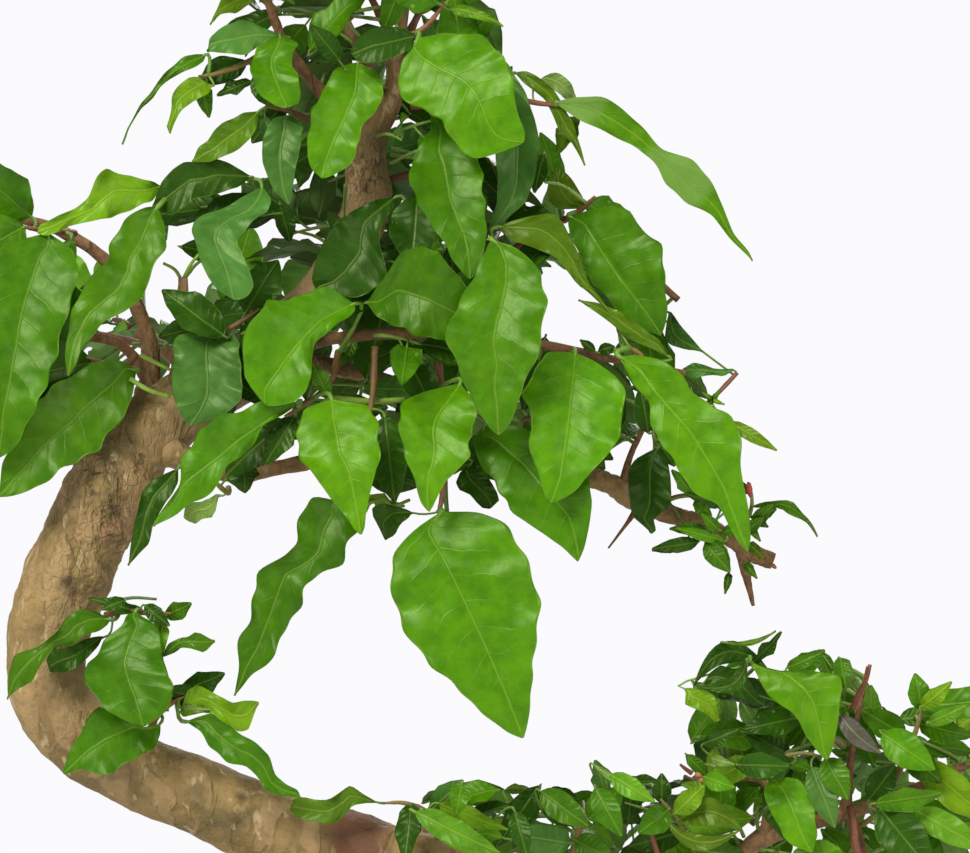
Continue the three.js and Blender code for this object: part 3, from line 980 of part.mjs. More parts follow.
function ovalSolid(profile) {
  const rings = profile.map(([inset, z]) => oval(inset, z));
  return loft(rings, vec(0, 0, profile[0][1]), vec(0, 0, profile[profile.length - 1][1]));
}

// Turns a closed three.js geometry into a solid.
function fromGeometry(geometry) {
  const position = geometry.getAttribute("position");
  const corners = new Map();
  const points = [];
  const index = [];
  for (let i = 0; i < position.count; i += 1) {
    const p = vec(position.getX(i), position.getY(i), position.getZ(i));
    const key = p.toArray().map((n) => n.toFixed(4)).join();
    if (!corners.has(key)) {
      corners.set(key, points.length);
      points.push(p);
    }
    index.push(corners.get(key));
  }
  const order = geometry.index ? Array.from(geometry.index.array, (i) => index[i]) : index;
  const faces = [];
  for (let i = 0; i < order.length; i += 3) {
    const [a, b, c] = order.slice(i, i + 3);
    if (a !== b && b !== c && c !== a) {
      faces.push([a, b, c]);
    }
  }
  return solid(points, faces);
}

function block(x, y, z, width, depth, height) {
  return fromGeometry(new THREE.BoxGeometry(width, depth, height).translate(x, y, z + height / 2));
}

function upright(x, y, z, radius, height, sides) {
  const round = new THREE.CylinderGeometry(radius, radius, height, sides).rotateX(Math.PI / 2);
  return fromGeometry(round.translate(x, y, z + height / 2));
}

const FLOOR_TOP = FOOT_HEIGHT + POT_FLOOR;
const INNER_TOP_INSET = RIM_OVERHANG + POT_WALL;
const innerInset = (z) => INNER_TOP_INSET + (POT_TAPER * (POT_HEIGHT - z)) / (POT_HEIGHT - FLOOR_TOP);

// One of the four feet, between two angles of the oval, in the quarter that sx and sy give.
function potFoot(sx, sy) {
  const shape = new THREE.Shape();
  const inset = RIM_OVERHANG + POT_TAPER + POT_FOOT_INSET;
  const from = radians(POT_FOOT_FROM);
  const to = radians(POT_FOOT_TO);
  const arc = (grow, angle) => [
    (POT_LENGTH / 2 - inset - grow) * Math.cos(angle),
    (POT_WIDTH / 2 - inset - grow) * Math.sin(angle),
  ];
  const angles = Array.from({ length: POT_FOOT_STEPS + 1 }, (_, k) => (
    THREE.MathUtils.lerp(from, to, k / POT_FOOT_STEPS)
  ));
  shape.moveTo(...arc(0, angles[0]));
  for (const angle of angles.slice(1)) {
    shape.lineTo(...arc(0, angle));
  }
  for (const angle of angles.reverse()) {
    shape.lineTo(...arc(POT_FOOT_DEPTH, angle));
  }
  const geometry = new THREE.ExtrudeGeometry(shape, { depth: FOOT_HEIGHT + 1, bevelEnabled: false });
  return fromGeometry(geometry).scale([sx, sy, 1]);
}

function potSolid() {
  const outer = RIM_OVERHANG + POT_TAPER;
  let pot = ovalSolid([
    [outer + 3, FOOT_HEIGHT], [outer, FOOT_HEIGHT + 3], [RIM_OVERHANG + 1, POT_HEIGHT - RIM_HEIGHT],
    [1, POT_HEIGHT - RIM_HEIGHT + 1], [0, POT_HEIGHT - RIM_HEIGHT + 2.5], [0, POT_HEIGHT - 2],
    [1.5, POT_HEIGHT], [INNER_TOP_INSET - 1.5, POT_HEIGHT], [INNER_TOP_INSET, POT_HEIGHT - 1.5],
    [innerInset(FLOOR_TOP + 4), FLOOR_TOP + 4], [innerInset(FLOOR_TOP) + 4, FLOOR_TOP],
  ]);
  for (const [sx, sy] of [[1, 1], [-1, 1], [-1, -1], [1, -1]]) {
    pot = pot.add(potFoot(sx, sy));
  }
  for (const side of [-1, 1]) {
    pot = pot.subtract(upright(side * DRAIN_X, 0, 0, DRAIN_RADIUS, POT_HEIGHT / 2, 20));
  }
  return pot;
}

function screenSolid(side) {
  const bottom = FLOOR_TOP + GAP;
  let screen = block(side * DRAIN_X, 0, bottom, SCREEN_SIZE, SCREEN_SIZE, SCREEN_THICK);
  const pitch = SCREEN_SIZE / SCREEN_BARS;
  const hole = pitch - SCREEN_BAR_WIDTH;
  for (let i = 0; i < SCREEN_BARS; i += 1) {
    for (let j = 0; j < SCREEN_BARS; j += 1) {
      const x = side * DRAIN_X + (i + 0.5) * pitch - SCREEN_SIZE / 2;
      const y = (j + 0.5) * pitch - SCREEN_SIZE / 2;
      screen = screen.subtract(block(x, y, bottom - 1, hole, hole, SCREEN_THICK + 2));
    }
  }
  return screen;
}

function soilSolid() {
  const top = POT_HEIGHT - SOIL_RIM_DROP;
  const bottom = FLOOR_TOP + GAP;
  const fit = (z) => innerInset(z) + GAP;
  let soil = ovalSolid([
    [fit(bottom) + 4, bottom], [fit(FLOOR_TOP + 4) + 0.2, FLOOR_TOP + 4], [fit(top), top],
    [fit(top) + 20, top + SOIL_RISE * 0.55], [fit(top) + 45, top + SOIL_RISE * 0.9],
  ]);
  soil = soil.subtract(stem(TRUNK, TRUNK_SIDES, TRUNK_STEPS, barkSwell, GAP));
  for (const side of [-1, 1]) {
    const size = SCREEN_SIZE + 2 * GAP;
    soil = soil.subtract(block(side * DRAIN_X, 0, bottom - 1, size, size, SCREEN_THICK + 1 + GAP));
  }
  return soil;
}

function meshOf(name, body, material) {
  const { vertProperties, triVerts, numProp } = body.getMesh();
  const geometry = new THREE.BufferGeometry();
  const positions = new Float32Array((vertProperties.length / numProp) * 3);
  for (let i = 0; i < positions.length / 3; i += 1) {
    positions.set(vertProperties.slice(i * numProp, i * numProp + 3), i * 3);
  }
  geometry.setAttribute("position", new THREE.BufferAttribute(positions, 3));
  geometry.setIndex(new THREE.BufferAttribute(new Uint32Array(triVerts), 1));
  geometry.computeVertexNormals();
  const mesh = new THREE.Mesh(geometry, material);
  mesh.name = name;
  return mesh;
}

const finish = (color, roughness) => new THREE.MeshStandardMaterial({ color, roughness, metalness: 0 });
const bark = finish(barkColour, 0.85);
const leafGreen = finish(leafColour, 0.45);
const stoneware = finish(potColour, 0.7);
const earth = finish(soilColour, 0.95);
const plastic = finish(screenColour, 0.6);

const bonsai = new THREE.Group();
bonsai.name = "chinese_privet_bonsai";

const tree = treeSolid();
place("tree", "wood", tree);
bonsai.add(meshOf("tree", tree, bark));
bonsai.add(meshOf("pot", potSolid(), stoneware));
bonsai.add(meshOf("soil", soilSolid(), earth));
bonsai.add(meshOf("drain_screen_left", screenSolid(-1), plastic));
bonsai.add(meshOf("drain_screen_right", screenSolid(1), plastic));

const sprays = [];
for (const [name, { stem: rows, leaves }] of Object.entries(SPRAYS)) {
  const stations = rows.map(([x, z, y, radius]) => [...seen(x, z, y).toArray(), radius]);
  const body = stem(stations, 4, stations.length - 1);
  const points = stations.map((s) => vec(s[0], s[1], s[2]));
  const forms = leaves.map((row) => SLIDES.map((slide) => frontLeaf(row, points, slide)));
  sprays.push({ name: `shoot_${name}`, body, forms });
}
SHOOTS.forEach((shoot, i) => {
  const body = stem(shootStations(shoot), 4, 3);
  const leaves = shootLeaves(shoot, i + 1);
  const forms = leaves.map((leaf) => SWINGS.map((swing) => swung(leaf, swing)).filter(hiddenFromFront));
  sprays.push({ name: `shoot_${shoot[0]}_${i + 1}`, body, forms });
});

for (const spray of sprays) {
  place(spray.name, "stem", spray.body);
}
for (const spray of sprays) {
  bonsai.add(meshOf(spray.name, spraySolid(spray.name, spray.body, spray.forms), leafGreen));
}
export default bonsai;
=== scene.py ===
"""The looks of the Chinese privet bonsai: bark, leaves, pot, soil and studio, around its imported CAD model.

Tables and shape functions are in millimetres, as in the part's source, and meshes are made in metres.
"""
import math

import bpy
import numpy as np
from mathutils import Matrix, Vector, noise


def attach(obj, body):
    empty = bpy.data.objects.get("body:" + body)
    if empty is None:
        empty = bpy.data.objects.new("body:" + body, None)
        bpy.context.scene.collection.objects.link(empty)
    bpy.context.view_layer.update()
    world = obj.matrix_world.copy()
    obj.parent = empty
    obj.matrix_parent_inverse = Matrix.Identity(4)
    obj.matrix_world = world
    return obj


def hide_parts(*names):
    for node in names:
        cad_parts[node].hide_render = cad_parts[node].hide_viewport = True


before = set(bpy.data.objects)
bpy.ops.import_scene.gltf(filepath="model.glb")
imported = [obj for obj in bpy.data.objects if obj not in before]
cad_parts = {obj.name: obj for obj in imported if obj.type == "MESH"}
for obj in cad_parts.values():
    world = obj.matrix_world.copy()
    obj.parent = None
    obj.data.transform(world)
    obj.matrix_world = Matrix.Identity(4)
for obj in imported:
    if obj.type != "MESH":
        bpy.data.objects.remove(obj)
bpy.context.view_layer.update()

MM = 0.001
EYE_DISTANCE = 1600
EYE_HEIGHT = 303
FRAME_WIDTH = 291


def seen(x, z, y):
    """The point at depth y that the front view shows at x, z of the plane y = 0."""
    scale = (EYE_DISTANCE + y) / EYE_DISTANCE
    return np.array([x * scale, y, EYE_HEIGHT + (z - EYE_HEIGHT) * scale])


# Camera: the photograph's level view from the front.
SENSOR = 36
camera_data = bpy.data.cameras.new("camera")
camera_data.sensor_width = SENSOR
camera_data.lens = SENSOR * EYE_DISTANCE / FRAME_WIDTH
camera_data.clip_start = 0.01
camera = bpy.data.objects.new("camera", camera_data)
camera.location = (0, -EYE_DISTANCE * MM, EYE_HEIGHT * MM)
camera.rotation_euler = (math.radians(90), 0, 0)
bpy.context.collection.objects.link(camera)
bpy.context.scene.camera = camera

# The tree, as the part's source has it: [x, y, z, radius] along the trunk, and
# [x, z, depth y, radius] on the front view for the limbs and the leafy shoots.
TRUNK = [
    (3, 0, 40, 21), (4, 0, 56, 19), (8, 0, 67, 16.5), (20, 1, 79, 15.2), (39, 2, 90, 14.6),
    (60, 3, 101, 14.2), (73, 3, 115, 13.6), (69, 3, 131, 13.1), (50, 2, 144, 12.6),
    (20, 1, 156.5, 12.1), (-8, 0, 165.5, 11.8), (-31, 0, 172.5, 11.5), (-45, 0, 177, 11.5),
    (-60, 0, 182, 11.3), (-76, 0, 188, 11.3), (-89.5, 0, 194, 11.4), (-104, 0, 200, 11.2),
    (-119, 0, 208.5, 11.4), (-129, 0, 219, 11.7), (-132, 0, 231, 11.8), (-130, 0, 246, 12.3),
    (-126, 0, 257, 13), (-119.5, 0, 271, 12.6), (-112, 0, 286, 12.9), (-104, 1, 299, 11.5),
    (-90, 6, 310, 10), (-73, 10, 320, 9.2), (-56, 10, 334, 8.4), (-43, 7, 352, 7.4),
    (-35, 3, 371, 6.6), (-35.5, 2, 381, 6), (-33.5, 2, 391, 4), (-28, 2, 401, 3), (-27, 3, 413, 2.6),
    (-25, 3, 424, 1.7), (-23, 4, 438, 1.4),
]

LIMBS = {
    "right": [
        (-98, 297, 0, 4), (-88, 293, -4, 3), (-76, 288.8, -7, 2.5), (-60, 291, -8, 2.3),
        (-35, 296, 0, 2.6), (-5, 294, 6, 2.7), (20, 290, 4, 2.9), (33, 287.5, 0, 3.3),
        (40, 284.5, 0, 3.4), (45, 280.5, 0, 3), (58, 276, 0, 2.6), (65, 274.5, 0, 2.4),
        (72, 270, 0, 2.4), (80, 265, 0, 2.6), (86.5, 262.6, 0, 2.6),
    ],
    "right_spur": [
        (77, 267, 0, 1.6), (78.3, 259, 0, 1.4), (80.5, 249.2, 0, 0.5),
    ],
    "right_thorn": [
        (46, 279, 0, 0.9), (43, 274.5, -1, 0.6), (37, 266.5, -2, 0.3),
    ],
    "right_upright": [
        (41, 284, 0, 1.2), (43.5, 294, -2, 1), (48, 303.5, -3, 0.7),
    ],
    "left": [
        (-108, 296, 2, 5), (-103, 308, 4, 3.4), (-100, 322, 5, 2.6), (-104, 338, 6, 2.2),
        (-113, 352, 7, 2), (-128, 362, 8, 1.8), (-142, 366, 10, 1.3),
    ],
    "left_low": [
        (-101, 318, 5, 1.8), (-110, 328, 2, 1.5), (-121, 330, 0, 1.2), (-140, 334, 4, 1),
    ],
    "left_stub": [
        (-92, 311, 3, 3), (-91.5, 330, -3, 1.7), (-90.5, 347, -6, 1.4),
    ],
    "crown_left": [
        (-34, 389, 2, 3), (-48, 402, 0, 2), (-60, 418, -4, 1.5), (-66, 433, -6, 1.2),
    ],
    "crown_mid": [
        (-30, 396, 2, 2.2), (-38, 417, 0, 1.9), (-43, 426, 0, 1.8), (-47, 440, 0, 1.3),
    ],
    "right_high": [
        (-41, 353, 8, 3), (-22, 350, 12, 1.9), (0, 352, 14, 1.7), (20, 360, 13, 1.5),
        (42, 354, 12, 1.3), (58, 341, 9, 1),
    ],
    "front": [
        (-64, 326, 8, 3.2), (-48, 329, -6, 1.9), (-28, 331, -12, 1.7), (-4, 330, -16, 1.5),
        (20, 327, -17, 1.4), (44, 322, -14, 1.2), (60, 319, -10, 0.9),
    ],
    "back": [
        (-46, 346, 5, 4.2), (-40, 349, 16, 3.2), (-30, 350, 30, 2.6), (-18, 347, 44, 1.8),
    ],
    "back_left": [
        (-84, 313, 4, 4), (-88, 320, 16, 3.1), (-96, 326, 30, 2.5), (-104, 330, 44, 1.8),
    ],
    "back_low": [
        (-68, 323, 5, 3.6), (-52, 322, 18, 2.8), (-34, 318, 32, 2.3), (-14, 312, 42, 1.6),
    ],
    "pad": [
        (60, 139, 3, 5), (66, 158, 0, 3.4), (76, 174, -3, 2.6), (88, 181, -4, 2.3),
        (109, 187, -3, 2.1), (128, 194, -1, 1.7), (148, 203, 2, 1.2),
    ],
    "pad_left": [
        (84, 179, -4, 1.5), (84, 196, -6, 1.1), (74, 198, -7, 0.9),
    ],
    "pad_up": [
        (108, 187, -3, 1.5), (110, 204, -3, 1), (112, 217, -3, 0.8), (115, 231, -3, 0.7),
    ],
    "pad_thorn": [
        (109, 187, -3, 1.5), (111.5, 182, -5, 1.3), (114.3, 174, -6, 0.7),
    ],
    "pad_back": [
        (66, 158, 1, 2.8), (74, 172, 16, 2.2), (86, 184, 30, 1.6), (96, 192, 44, 1.1),
    ],
    "low_back": [
        (6, 160, 2, 3.4), (-6, 170, 18, 2.4), (-16, 178, 32, 1.7), (-20, 184, 44, 1.2),
    ],
}


def evenly(*rows):
    """A blade's outline: its left and right edge at even steps, from near its base to near its tip."""
    return [(round(0.03 + 0.94 * k / (len(rows) - 1), 2), *row) for k, row in enumerate(rows)]


# The leafy shoots of the front view: the stem, and a row for each leaf with its base x, z, y, its tip
# x, z, y, its width, its tone and its own form. An uneven outline has rows of share, left and right.
SPRAYS = {
    "crown_left": ([
        (-62, 419, -9, 1.2), (-70, 413, -12, 1.1), (-80, 409, -14, 0.9), (-86, 408, -15, 0.5),
    ], [
        (-59.1, 419.9, -13, -83.1, 415.4, -20, 10.7, "g", dict(edge=[
            (0.16, -0.1, 2), (0.3, -0.6, 4.2), (0.43, -1.8, 6.1), (0.57, -3.2, 7.5), (0.7, -2.8, 7),
            (0.84, -1.3, 5.8), (0.97, -0.2, 3.8)])),
        (-84, 414.5, -15, -108.9, 387.5, -18, 5.2, "m", dict(wave=1.5, waves=3, edge=evenly(
            (-1.1, 1.6), (-0.8, 4.4), (1.3, 4.6), (2.7, 4.9), (3, 4.6), (2.3, 4.1), (3.1, 4), (2.4, 3),
            (1.6, 2.2), (0, 0.6)))),
        (-81.9, 405.2, -16, -94.5, 390.8, -20, 7.9, "y", dict(edge=evenly(
            (-0.3, 4.4), (-1, 6.9), (-0.1, 7.3), (1.1, 7.3), (1.7, 6.8), (1.7, 4.5), (1, 3.1),
            (0, 2.1)))),
        (-83.7, 405.8, -12, -82.8, 395.6, -12, 5.1, "m", dict(edge=evenly(
            (-0.4, 1), (-1.9, 3.2), (-1.7, 3.4), (-1.6, 2.9), (-1.4, 1.8), (-0.3, 0.3)))),
        (-71.5, 412.5, -8, -85.5, 407.3, -8, 8.5, "d", dict(edge=evenly(
            (-1.3, 0.8), (-3.8, 2.6), (-4.2, 4.3), (-4.2, 4.2), (-3.6, 3.2), (-1, 0.5)))),
        (-70, 406.5, -9, -80.5, 402.3, -9, 5, "d", dict(roll=30)),
        (-61.5, 419.9, -16, -60.3, 398.3, -22, 13.7, "b", dict(wave=1.6, fold=8, edge=evenly(
            (-2.5, 2.4), (-5.6, 7.4), (-3.6, 8.8), (-3.3, 9.1), (-4.6, 9.1), (-5.4, 8.3), (-5.3, 6.2),
            (-4.2, 2.3)))),
        (-69, 409, -10, -62.5, 398.3, -10, 8, "d", {}),
    ]),
    "crown_left_top": ([
        (-61, 427, 2, 1.1), (-68, 432, 2, 1), (-74, 438, 2, 0.5),
    ], [
        (-67, 434, -2, -82.5, 423.5, -6, 7, "y", dict(edge=[
            (0.08, -1, 3), (0.2, -1.8, 3.6), (0.4, -1.8, 4), (0.6, -2, 5), (0.67, -0.4, 4),
            (0.8, 0.8, 2.4), (0.9, 0.2, 1.4)])),
        (-62, 427, 6, -83.5, 415.5, 2, 9, "d", dict(roll=20)),
        (-70, 436, 4, -84, 438, 4, 10, "m", dict(roll=-50)),
        (-70, 440, 0, -76, 456, -4, 11, "m", dict(roll=-20)),
    ]),
    "crown_front": ([
        (-37, 408, -4.5, 1.4), (-36, 413, -11, 1.3), (-30, 418, -17, 1.2), (-19, 422, -20, 1.1),
        (-12, 430, -20, 0.5),
    ], [
        (-38.1, 412.1, -15, -48.9, 377.3, -26, 17.6, "b", dict(bow=3, wave=1.5,
            rib=[(0.1, -0.8), (0.26, -2), (0.48, -1.3), (0.66, -0.3), (0.88, 0.4)],
            edge=evenly(
            (-6, 2.2), (-9.3, 5.9), (-10.7, 6.6), (-10, 7.6), (-7.9, 8.4), (-7.1, 8.6), (-7.4, 8.2),
            (-7.9, 7.4), (-6.5, 6.5), (-2.5, 3.7)))),
        (-20.7, 421.1, -22, -40.2, 414.8, -24, 10.5, "d", dict(edge=evenly(
            (-1.7, -0.2), (-4.2, 2.7), (-5.1, 3.8), (-5.4, 4.5), (-5.4, 5.1), (-5.1, 5.1), (-4.4, 4),
            (-2.3, 1.4)))),
        (-20.1, 419.6, -23, 11.7, 388.1, -34, 29.2, "b", dict(bow=4, wave=1.2, fold=6, edge=evenly(
            (-1.4, 7.8), (-6.6, 13.5), (-10.9, 15.9), (-13.6, 15.6), (-14.1, 13.3), (-13.1, 12.9),
            (-11.4, 14), (-7.9, 15.3), (-4.3, 13.2), (-2.1, 4.6)))),
        (-10, 428, -18, 5.5, 423, -20, 3.7, "l", dict(edge=[
            (0.08, -2, 1), (0.2, -2.5, 1.2), (0.4, -2.6, 0.8), (0.6, -2.3, 0.5), (0.8, -1.5, 0.3),
            (0.92, -0.9, 0.2)])),
        (-14, 430, -22, -30, 440, -26, 14, "m", dict(roll=-30)),
        (-10, 432, -20, 4, 448, -24, 15, "m", dict(roll=-20)),
    ]),
    "crown_low": ([
        (-42, 393, -3.5, 1.4), (-52, 395, -8, 1.2), (-60, 398, -11, 1), (-66, 399, -12, 0.5),
    ], [
        (-58.5, 396.5, -13, -58.8, 369.5, -18, 11.7, "g", dict(fold=14, edge=evenly(
            (-1.5, 4.5), (-4.2, 7), (-3.7, 8), (-3.1, 8.4), (-2.5, 8), (-2, 6.5), (-1.1, 4.6),
            (-0.6, 1.3)))),
        (-68.1, 397.4, -12, -87.9, 382.4, -16, 9.2, "o", dict(edge=evenly(
            (-1, 0.6), (-3.9, 2.5), (-5.3, 3), (-5.7, 3.5), (-5.3, 3.5), (-4.6, 2), (-3.4, 2.4),
            (-0.6, 0.4)))),
        (-66, 396, -8, -63, 386, -8, 7, "g", dict(roll=40)),
        (-60, 400, -6, -70, 388, -4, 9, "d", dict(roll=10)),
    ]),
    "crown_right": ([
        (-22, 399, -3, 1.4), (-10, 400, -9, 1.3), (4, 402, -11, 1.1), (16, 400, -10, 1),
        (24, 399, -9, 0.5),
    ], [
        (-15.9, 396.8, -16, -4.5, 347, -36, 22.2, "m", dict(bow=4, wave=1.4, fold=14, edge=evenly(
            (-1.8, 0.8), (-5, 1.7), (-7.6, 8.5), (-10.7, 10.5), (-11, 11.2), (-9.8, 10.4), (-9.4, 8.5),
            (-8.3, 5.6), (-6.5, 4), (-2.7, 1.7)))),
        (4, 414, -12, 1.5, 359, -20, 14, "g", dict(bow=3, edge=[
            (0.03, -2.8, 2), (0.1, -5, 2), (0.2, -8.5, 2), (0.35, -12, 2), (0.5, -13.7, 0),
            (0.7, -12.3, -1.5), (0.8, -10, -1.5), (0.9, -4, 0), (0.97, -1.5, 0.5)])),
        (9, 409.1, -6, 30, 381.2, -8, 5.2, "o", dict(edge=evenly(
            (-2.7, 0.1), (-4.5, -0.1), (-5.6, -1.4), (-6.2, -2.3), (-5.8, -1.5), (-5.2, -0.8),
            (-4.8, 0.4), (-3.4, -1), (-2.1, -0.6), (-0.6, 0)))),
        (15.9, 406.4, -6, 27.3, 401.6, -4, 5.5, "p", dict(edge=[
            (0.03, -1.5, -0.9), (0.22, -4.3, 0.1), (0.41, -4.7, 0.8), (0.59, -4.2, 1.2),
            (0.78, -2.9, 1.9)])),
        (28, 396, -3, 21.5, 384.5, -3, 8, "o", dict(roll=40)),
        (21.2, 400.3, -10, 80.4, 352.4, -16, 11.1, "b", dict(
            wave=1.2, pale=[(0, 0.15), (0.43, 0.68)], edge=evenly(
            (-3.6, 0.5), (-10.2, -0.3), (-10.9, -2.4), (-10.3, -4.2), (-8.8, -4.6), (-12.3, -1.2),
            (-11.2, -0.9), (-7.7, -3.2), (-2.8, -0.9), (-1.6, -0.4)))),
    ]),
    "left_upper": ([
        (-96, 371.5, -4, 1.3), (-90, 374, -6, 1.1), (-80, 377, -8, 1), (-70, 377, -9, 0.5),
    ], [
        (-97.2, 374.9, -8, -134.4, 361.1, -18, 14.8, "y", dict(wave=2.2, waves=2.5, edge=evenly(
            (-1.2, 1.6), (-3.6, 4.5), (-3.2, 7.2), (-3.7, 11.1), (-4.2, 9.1), (-3, 4.4), (-2.1, 3.1),
            (-1.6, 2.5), (-2, 2.3), (-1.9, 2)))),
        (-70.2, 377.9, -6, -99.9, 368.9, -6, 11.9, "d", dict(edge=evenly(
            (-0.5, 1.3), (-2.2, 5.9), (-2.1, 8.6), (-2, 8.7), (-1.7, 10), (-3.2, 8.7), (-4.3, 6.5),
            (-1.3, 1)))),
        (-66.9, 374.9, -16, -75, 340.7, -28, 15.2, "g", dict(wave=1.2, fold=14, edge=evenly(
            (-1.7, 1.1), (-4, 4.6), (-3.9, 8), (-0.1, 13.7), (2.3, 17.5), (3, 17), (0.1, 14.9),
            (-2.7, 12.4), (-4.6, 9.8), (-3.3, 5.4)))),
        (-98.1, 368.9, -16, -125.1, 317.9, -34, 17, "m", dict(wave=2, waves=2.5, fold=14, edge=[
            (0.02, -1, 2), (0.09, -5, 5.6), (0.2, -8.3, 7.4), (0.33, -7.4, 7.2), (0.38, -8, 5.5),
            (0.49, -9.8, 7.2), (0.58, -6.5, 8.5), (0.67, -2.5, 8.6), (0.82, 0.2, 5.8),
            (0.93, -0.5, 3.4)])),
        (-64, 378, -4, -48, 387, -6, 9, "d", dict(roll=20)),
    ]),
    "left_outer": ([
        (-123, 361, -2, 1.4), (-128, 361.5, -8, 1.2), (-134, 362, -12, 0.9), (-139, 363, -14, 0.5),
    ], [
        (-131.1, 361.1, -16, -147, 293, -28, 28, "m", dict(bow=4, wave=1.6, edge=[
            (0.05, -9, 6), (0.1, -11, 12), (0.2, -13, 15), (0.3, -12, 15.4), (0.4, -11.4, 15),
            (0.5, -11.5, 14), (0.6, -11, 13), (0.7, -10, 11), (0.8, -8, 9), (0.9, -6, 5),
            (0.97, -3.5, 2)])),
        (-124, 359.5, -8, -124, 322, -12, 13, "m", dict(roll=20, sway=4)),
        (-138, 363, -14, -168, 345, -18, 22, "m", dict(bow=3)),
        (-136, 366, -8, -158, 384, -12, 19, "m", dict(roll=-25)),
    ]),
    "left_low": ([
        (-105, 324, -1.5, 1.3), (-108, 321, -6, 1.1), (-114, 322, -10, 0.9), (-120, 324, -13, 0.4),
    ], [
        (-104.5, 319.8, -10, -146.1, 281.9, -22, 23.6, "m", dict(bow=3, wave=1.6, edge=evenly(
            (-1, 6.8), (-5.9, 9.4), (-8, 11.8), (-8.6, 12.9), (-10.3, 13.3), (-8.9, 12.7),
            (-7.1, 11.1), (-6.8, 9.2), (-5.3, 6.3), (-1.8, 1.4)))),
        (-118, 322, -14, -150, 316, -24, 20, "d", dict(roll=-15)),
    ]),
    "shoulder": ([
        (-84, 322, -9, 1.3), (-80, 330, -15, 1.1), (-74, 334, -18, 0.9), (-68, 338, -19, 0.4),
    ], [
        (-83.1, 332.9, -17, -88.2, 302.9, -26, 21.6, "g", dict(bow=3, fold=8, edge=evenly(
            (-7.9, -1.5), (-10.4, 9.2), (-11.1, 9), (-12.2, 8.5), (-13.7, 7.9), (-13.8, 7.1),
            (-9.8, 5.5), (-2, 1.9)))),
        (-70, 337, -15, -66, 312, -20, 12, "d", dict(roll=30)),
        (-80, 334, -10, -98, 330, -12, 12, "d", dict(roll=-30)),
        (-72, 337, -10, -62, 353, -8, 13, "d", dict(roll=10)),
        (-78, 330, -10, -97, 344, -6, 12, "d", dict(roll=20)),
        (-66, 336, -10, -58, 316, -12, 14, "d", dict(roll=10)),
        (-80, 328, -10, -76, 306, -13, 14, "d", dict(roll=20)),
    ]),
    "front_left": ([
        (-44, 325.5, -11.5, 1.3), (-46, 317, -20, 1.2), (-52, 311, -26, 1), (-60, 306, -30, 0.6),
    ], [
        (-39.3, 339.9, -24, -66, 309.2, -36, 24.4, "b", dict(bow=4, wave=1.8,
            rib=[(0.11, 1.7), (0.27, 4), (0.48, 4.4), (0.66, 4.1), (0.82, 3.5), (0.93, 3.1)],
            edge=evenly(
            (-1.8, 8.3), (-1.4, 11.9), (-0.6, 13), (0.4, 16.1), (0.8, 19.5), (-1.6, 20.1),
            (-5.4, 18.9), (-6.7, 17.7), (-5.7, 14.4), (-2.2, 9.7)))),
        (-55.7, 310.6, -32, -99.6, 272.9, -44, 14.8, "b", dict(bow=3, wave=2.4, waves=2.5,
            rib=[(0.11, 1.3), (0.23, 1.8), (0.36, 2.7), (0.57, 2.9), (0.7, 3.4), (0.81, 2.9)],
            edge=evenly(
            (-0.4, 0.7), (-0.1, 6.7), (1.7, 8.5), (-1.6, 11.1), (-1, 13.3), (-0.9, 11.5), (-4.6, 10.2),
            (-2, 4.1), (-2.3, 2.5), (-0.3, 1.2)))),
        (-57, 306, -28, -66, 291.5, -28, 9, "d", dict(roll=20)),
        (-60, 305, -26, -78, 288, -24, 13, "d", dict(roll=20)),
        (-46, 311.2, -33, -37.2, 270.5, -46, 24.8, "b", dict(bow=4, wave=1.8, fold=8,
            rib=[(0.06, 0.1), (0.15, 0.6), (0.3, 0.7), (0.43, 1), (0.56, -0.6), (0.89, -0.4)],
            edge=evenly(
            (-2.3, 7.7), (-10.3, 10.7), (-11.6, 12.2), (-11.8, 13), (-10.9, 12), (-9.7, 10.3),
            (-8.1, 7.5), (-5.3, 5.3), (-2.7, 3.3), (-1.5, 1.3)))),
        (-47, 312, -26, -52, 322, -26, 6, "m", dict(roll=30)),
    ]),
    "front_low_left": ([
        (-77, 284.8, -8, 1.1), (-77, 283, -10, 1), (-82, 287, -16, 0.8), (-88, 290, -18, 0.4),
    ], [
        (-92.1, 290.6, -16, -107.1, 261.2, -22, 7.9, "d", dict(wave=1.4, edge=evenly(
            (-0.6, 0.6), (-2.3, 3.2), (-2.4, 5.4), (-1.6, 6.3), (-1.2, 5.5), (-1.2, 4.7), (-2.1, 3.8),
            (-2.7, 2.9), (-1.3, 1.5), (-0.3, 0.3)))),
        (-79.1, 282.3, -10, -90.3, 275.6, -6, 6.7, "p", dict(edge=evenly(
            (0.6, 1.2), (-3.1, 1.1), (-4.3, 1.6), (-3.2, 2.9), (-3.4, 3.3), (-1.2, 0.5)))),
        (-72, 292, -12, -72, 283, -14, 11, "d", dict(roll=30)),
    ]),
    "front_hang_left": ([
        (-33, 327, -15.5, 1.3), (-34, 310, -18, 1.1), (-39, 292, -20, 0.9), (-43, 283, -21, 0.6),
    ], [
        (-44, 280.5, -24, -75.3, 222, -30, 18, "m", dict(bow=3, wave=2.6, waves=3.2, edge=[
            (0.02, -3, 7), (0.06, -9.5, 8.5), (0.15, -8.6, 8), (0.25, -10, 5.6), (0.33, -5.5, 5.5),
            (0.4, -3, 10), (0.48, -5, 11), (0.6, -4.5, 8), (0.67, -3.6, 6.4), (0.75, -5.8, 6.8),
            (0.8, -4.5, 6), (0.87, -1.5, 3), (0.94, -1, 1.2)])),
        (-30, 306, -22, -27, 280, -28, 13, "d", dict(roll=15)),
        (-38, 283, -17, -24, 279, -16, 6, "y", dict(roll=50, bow=3)),
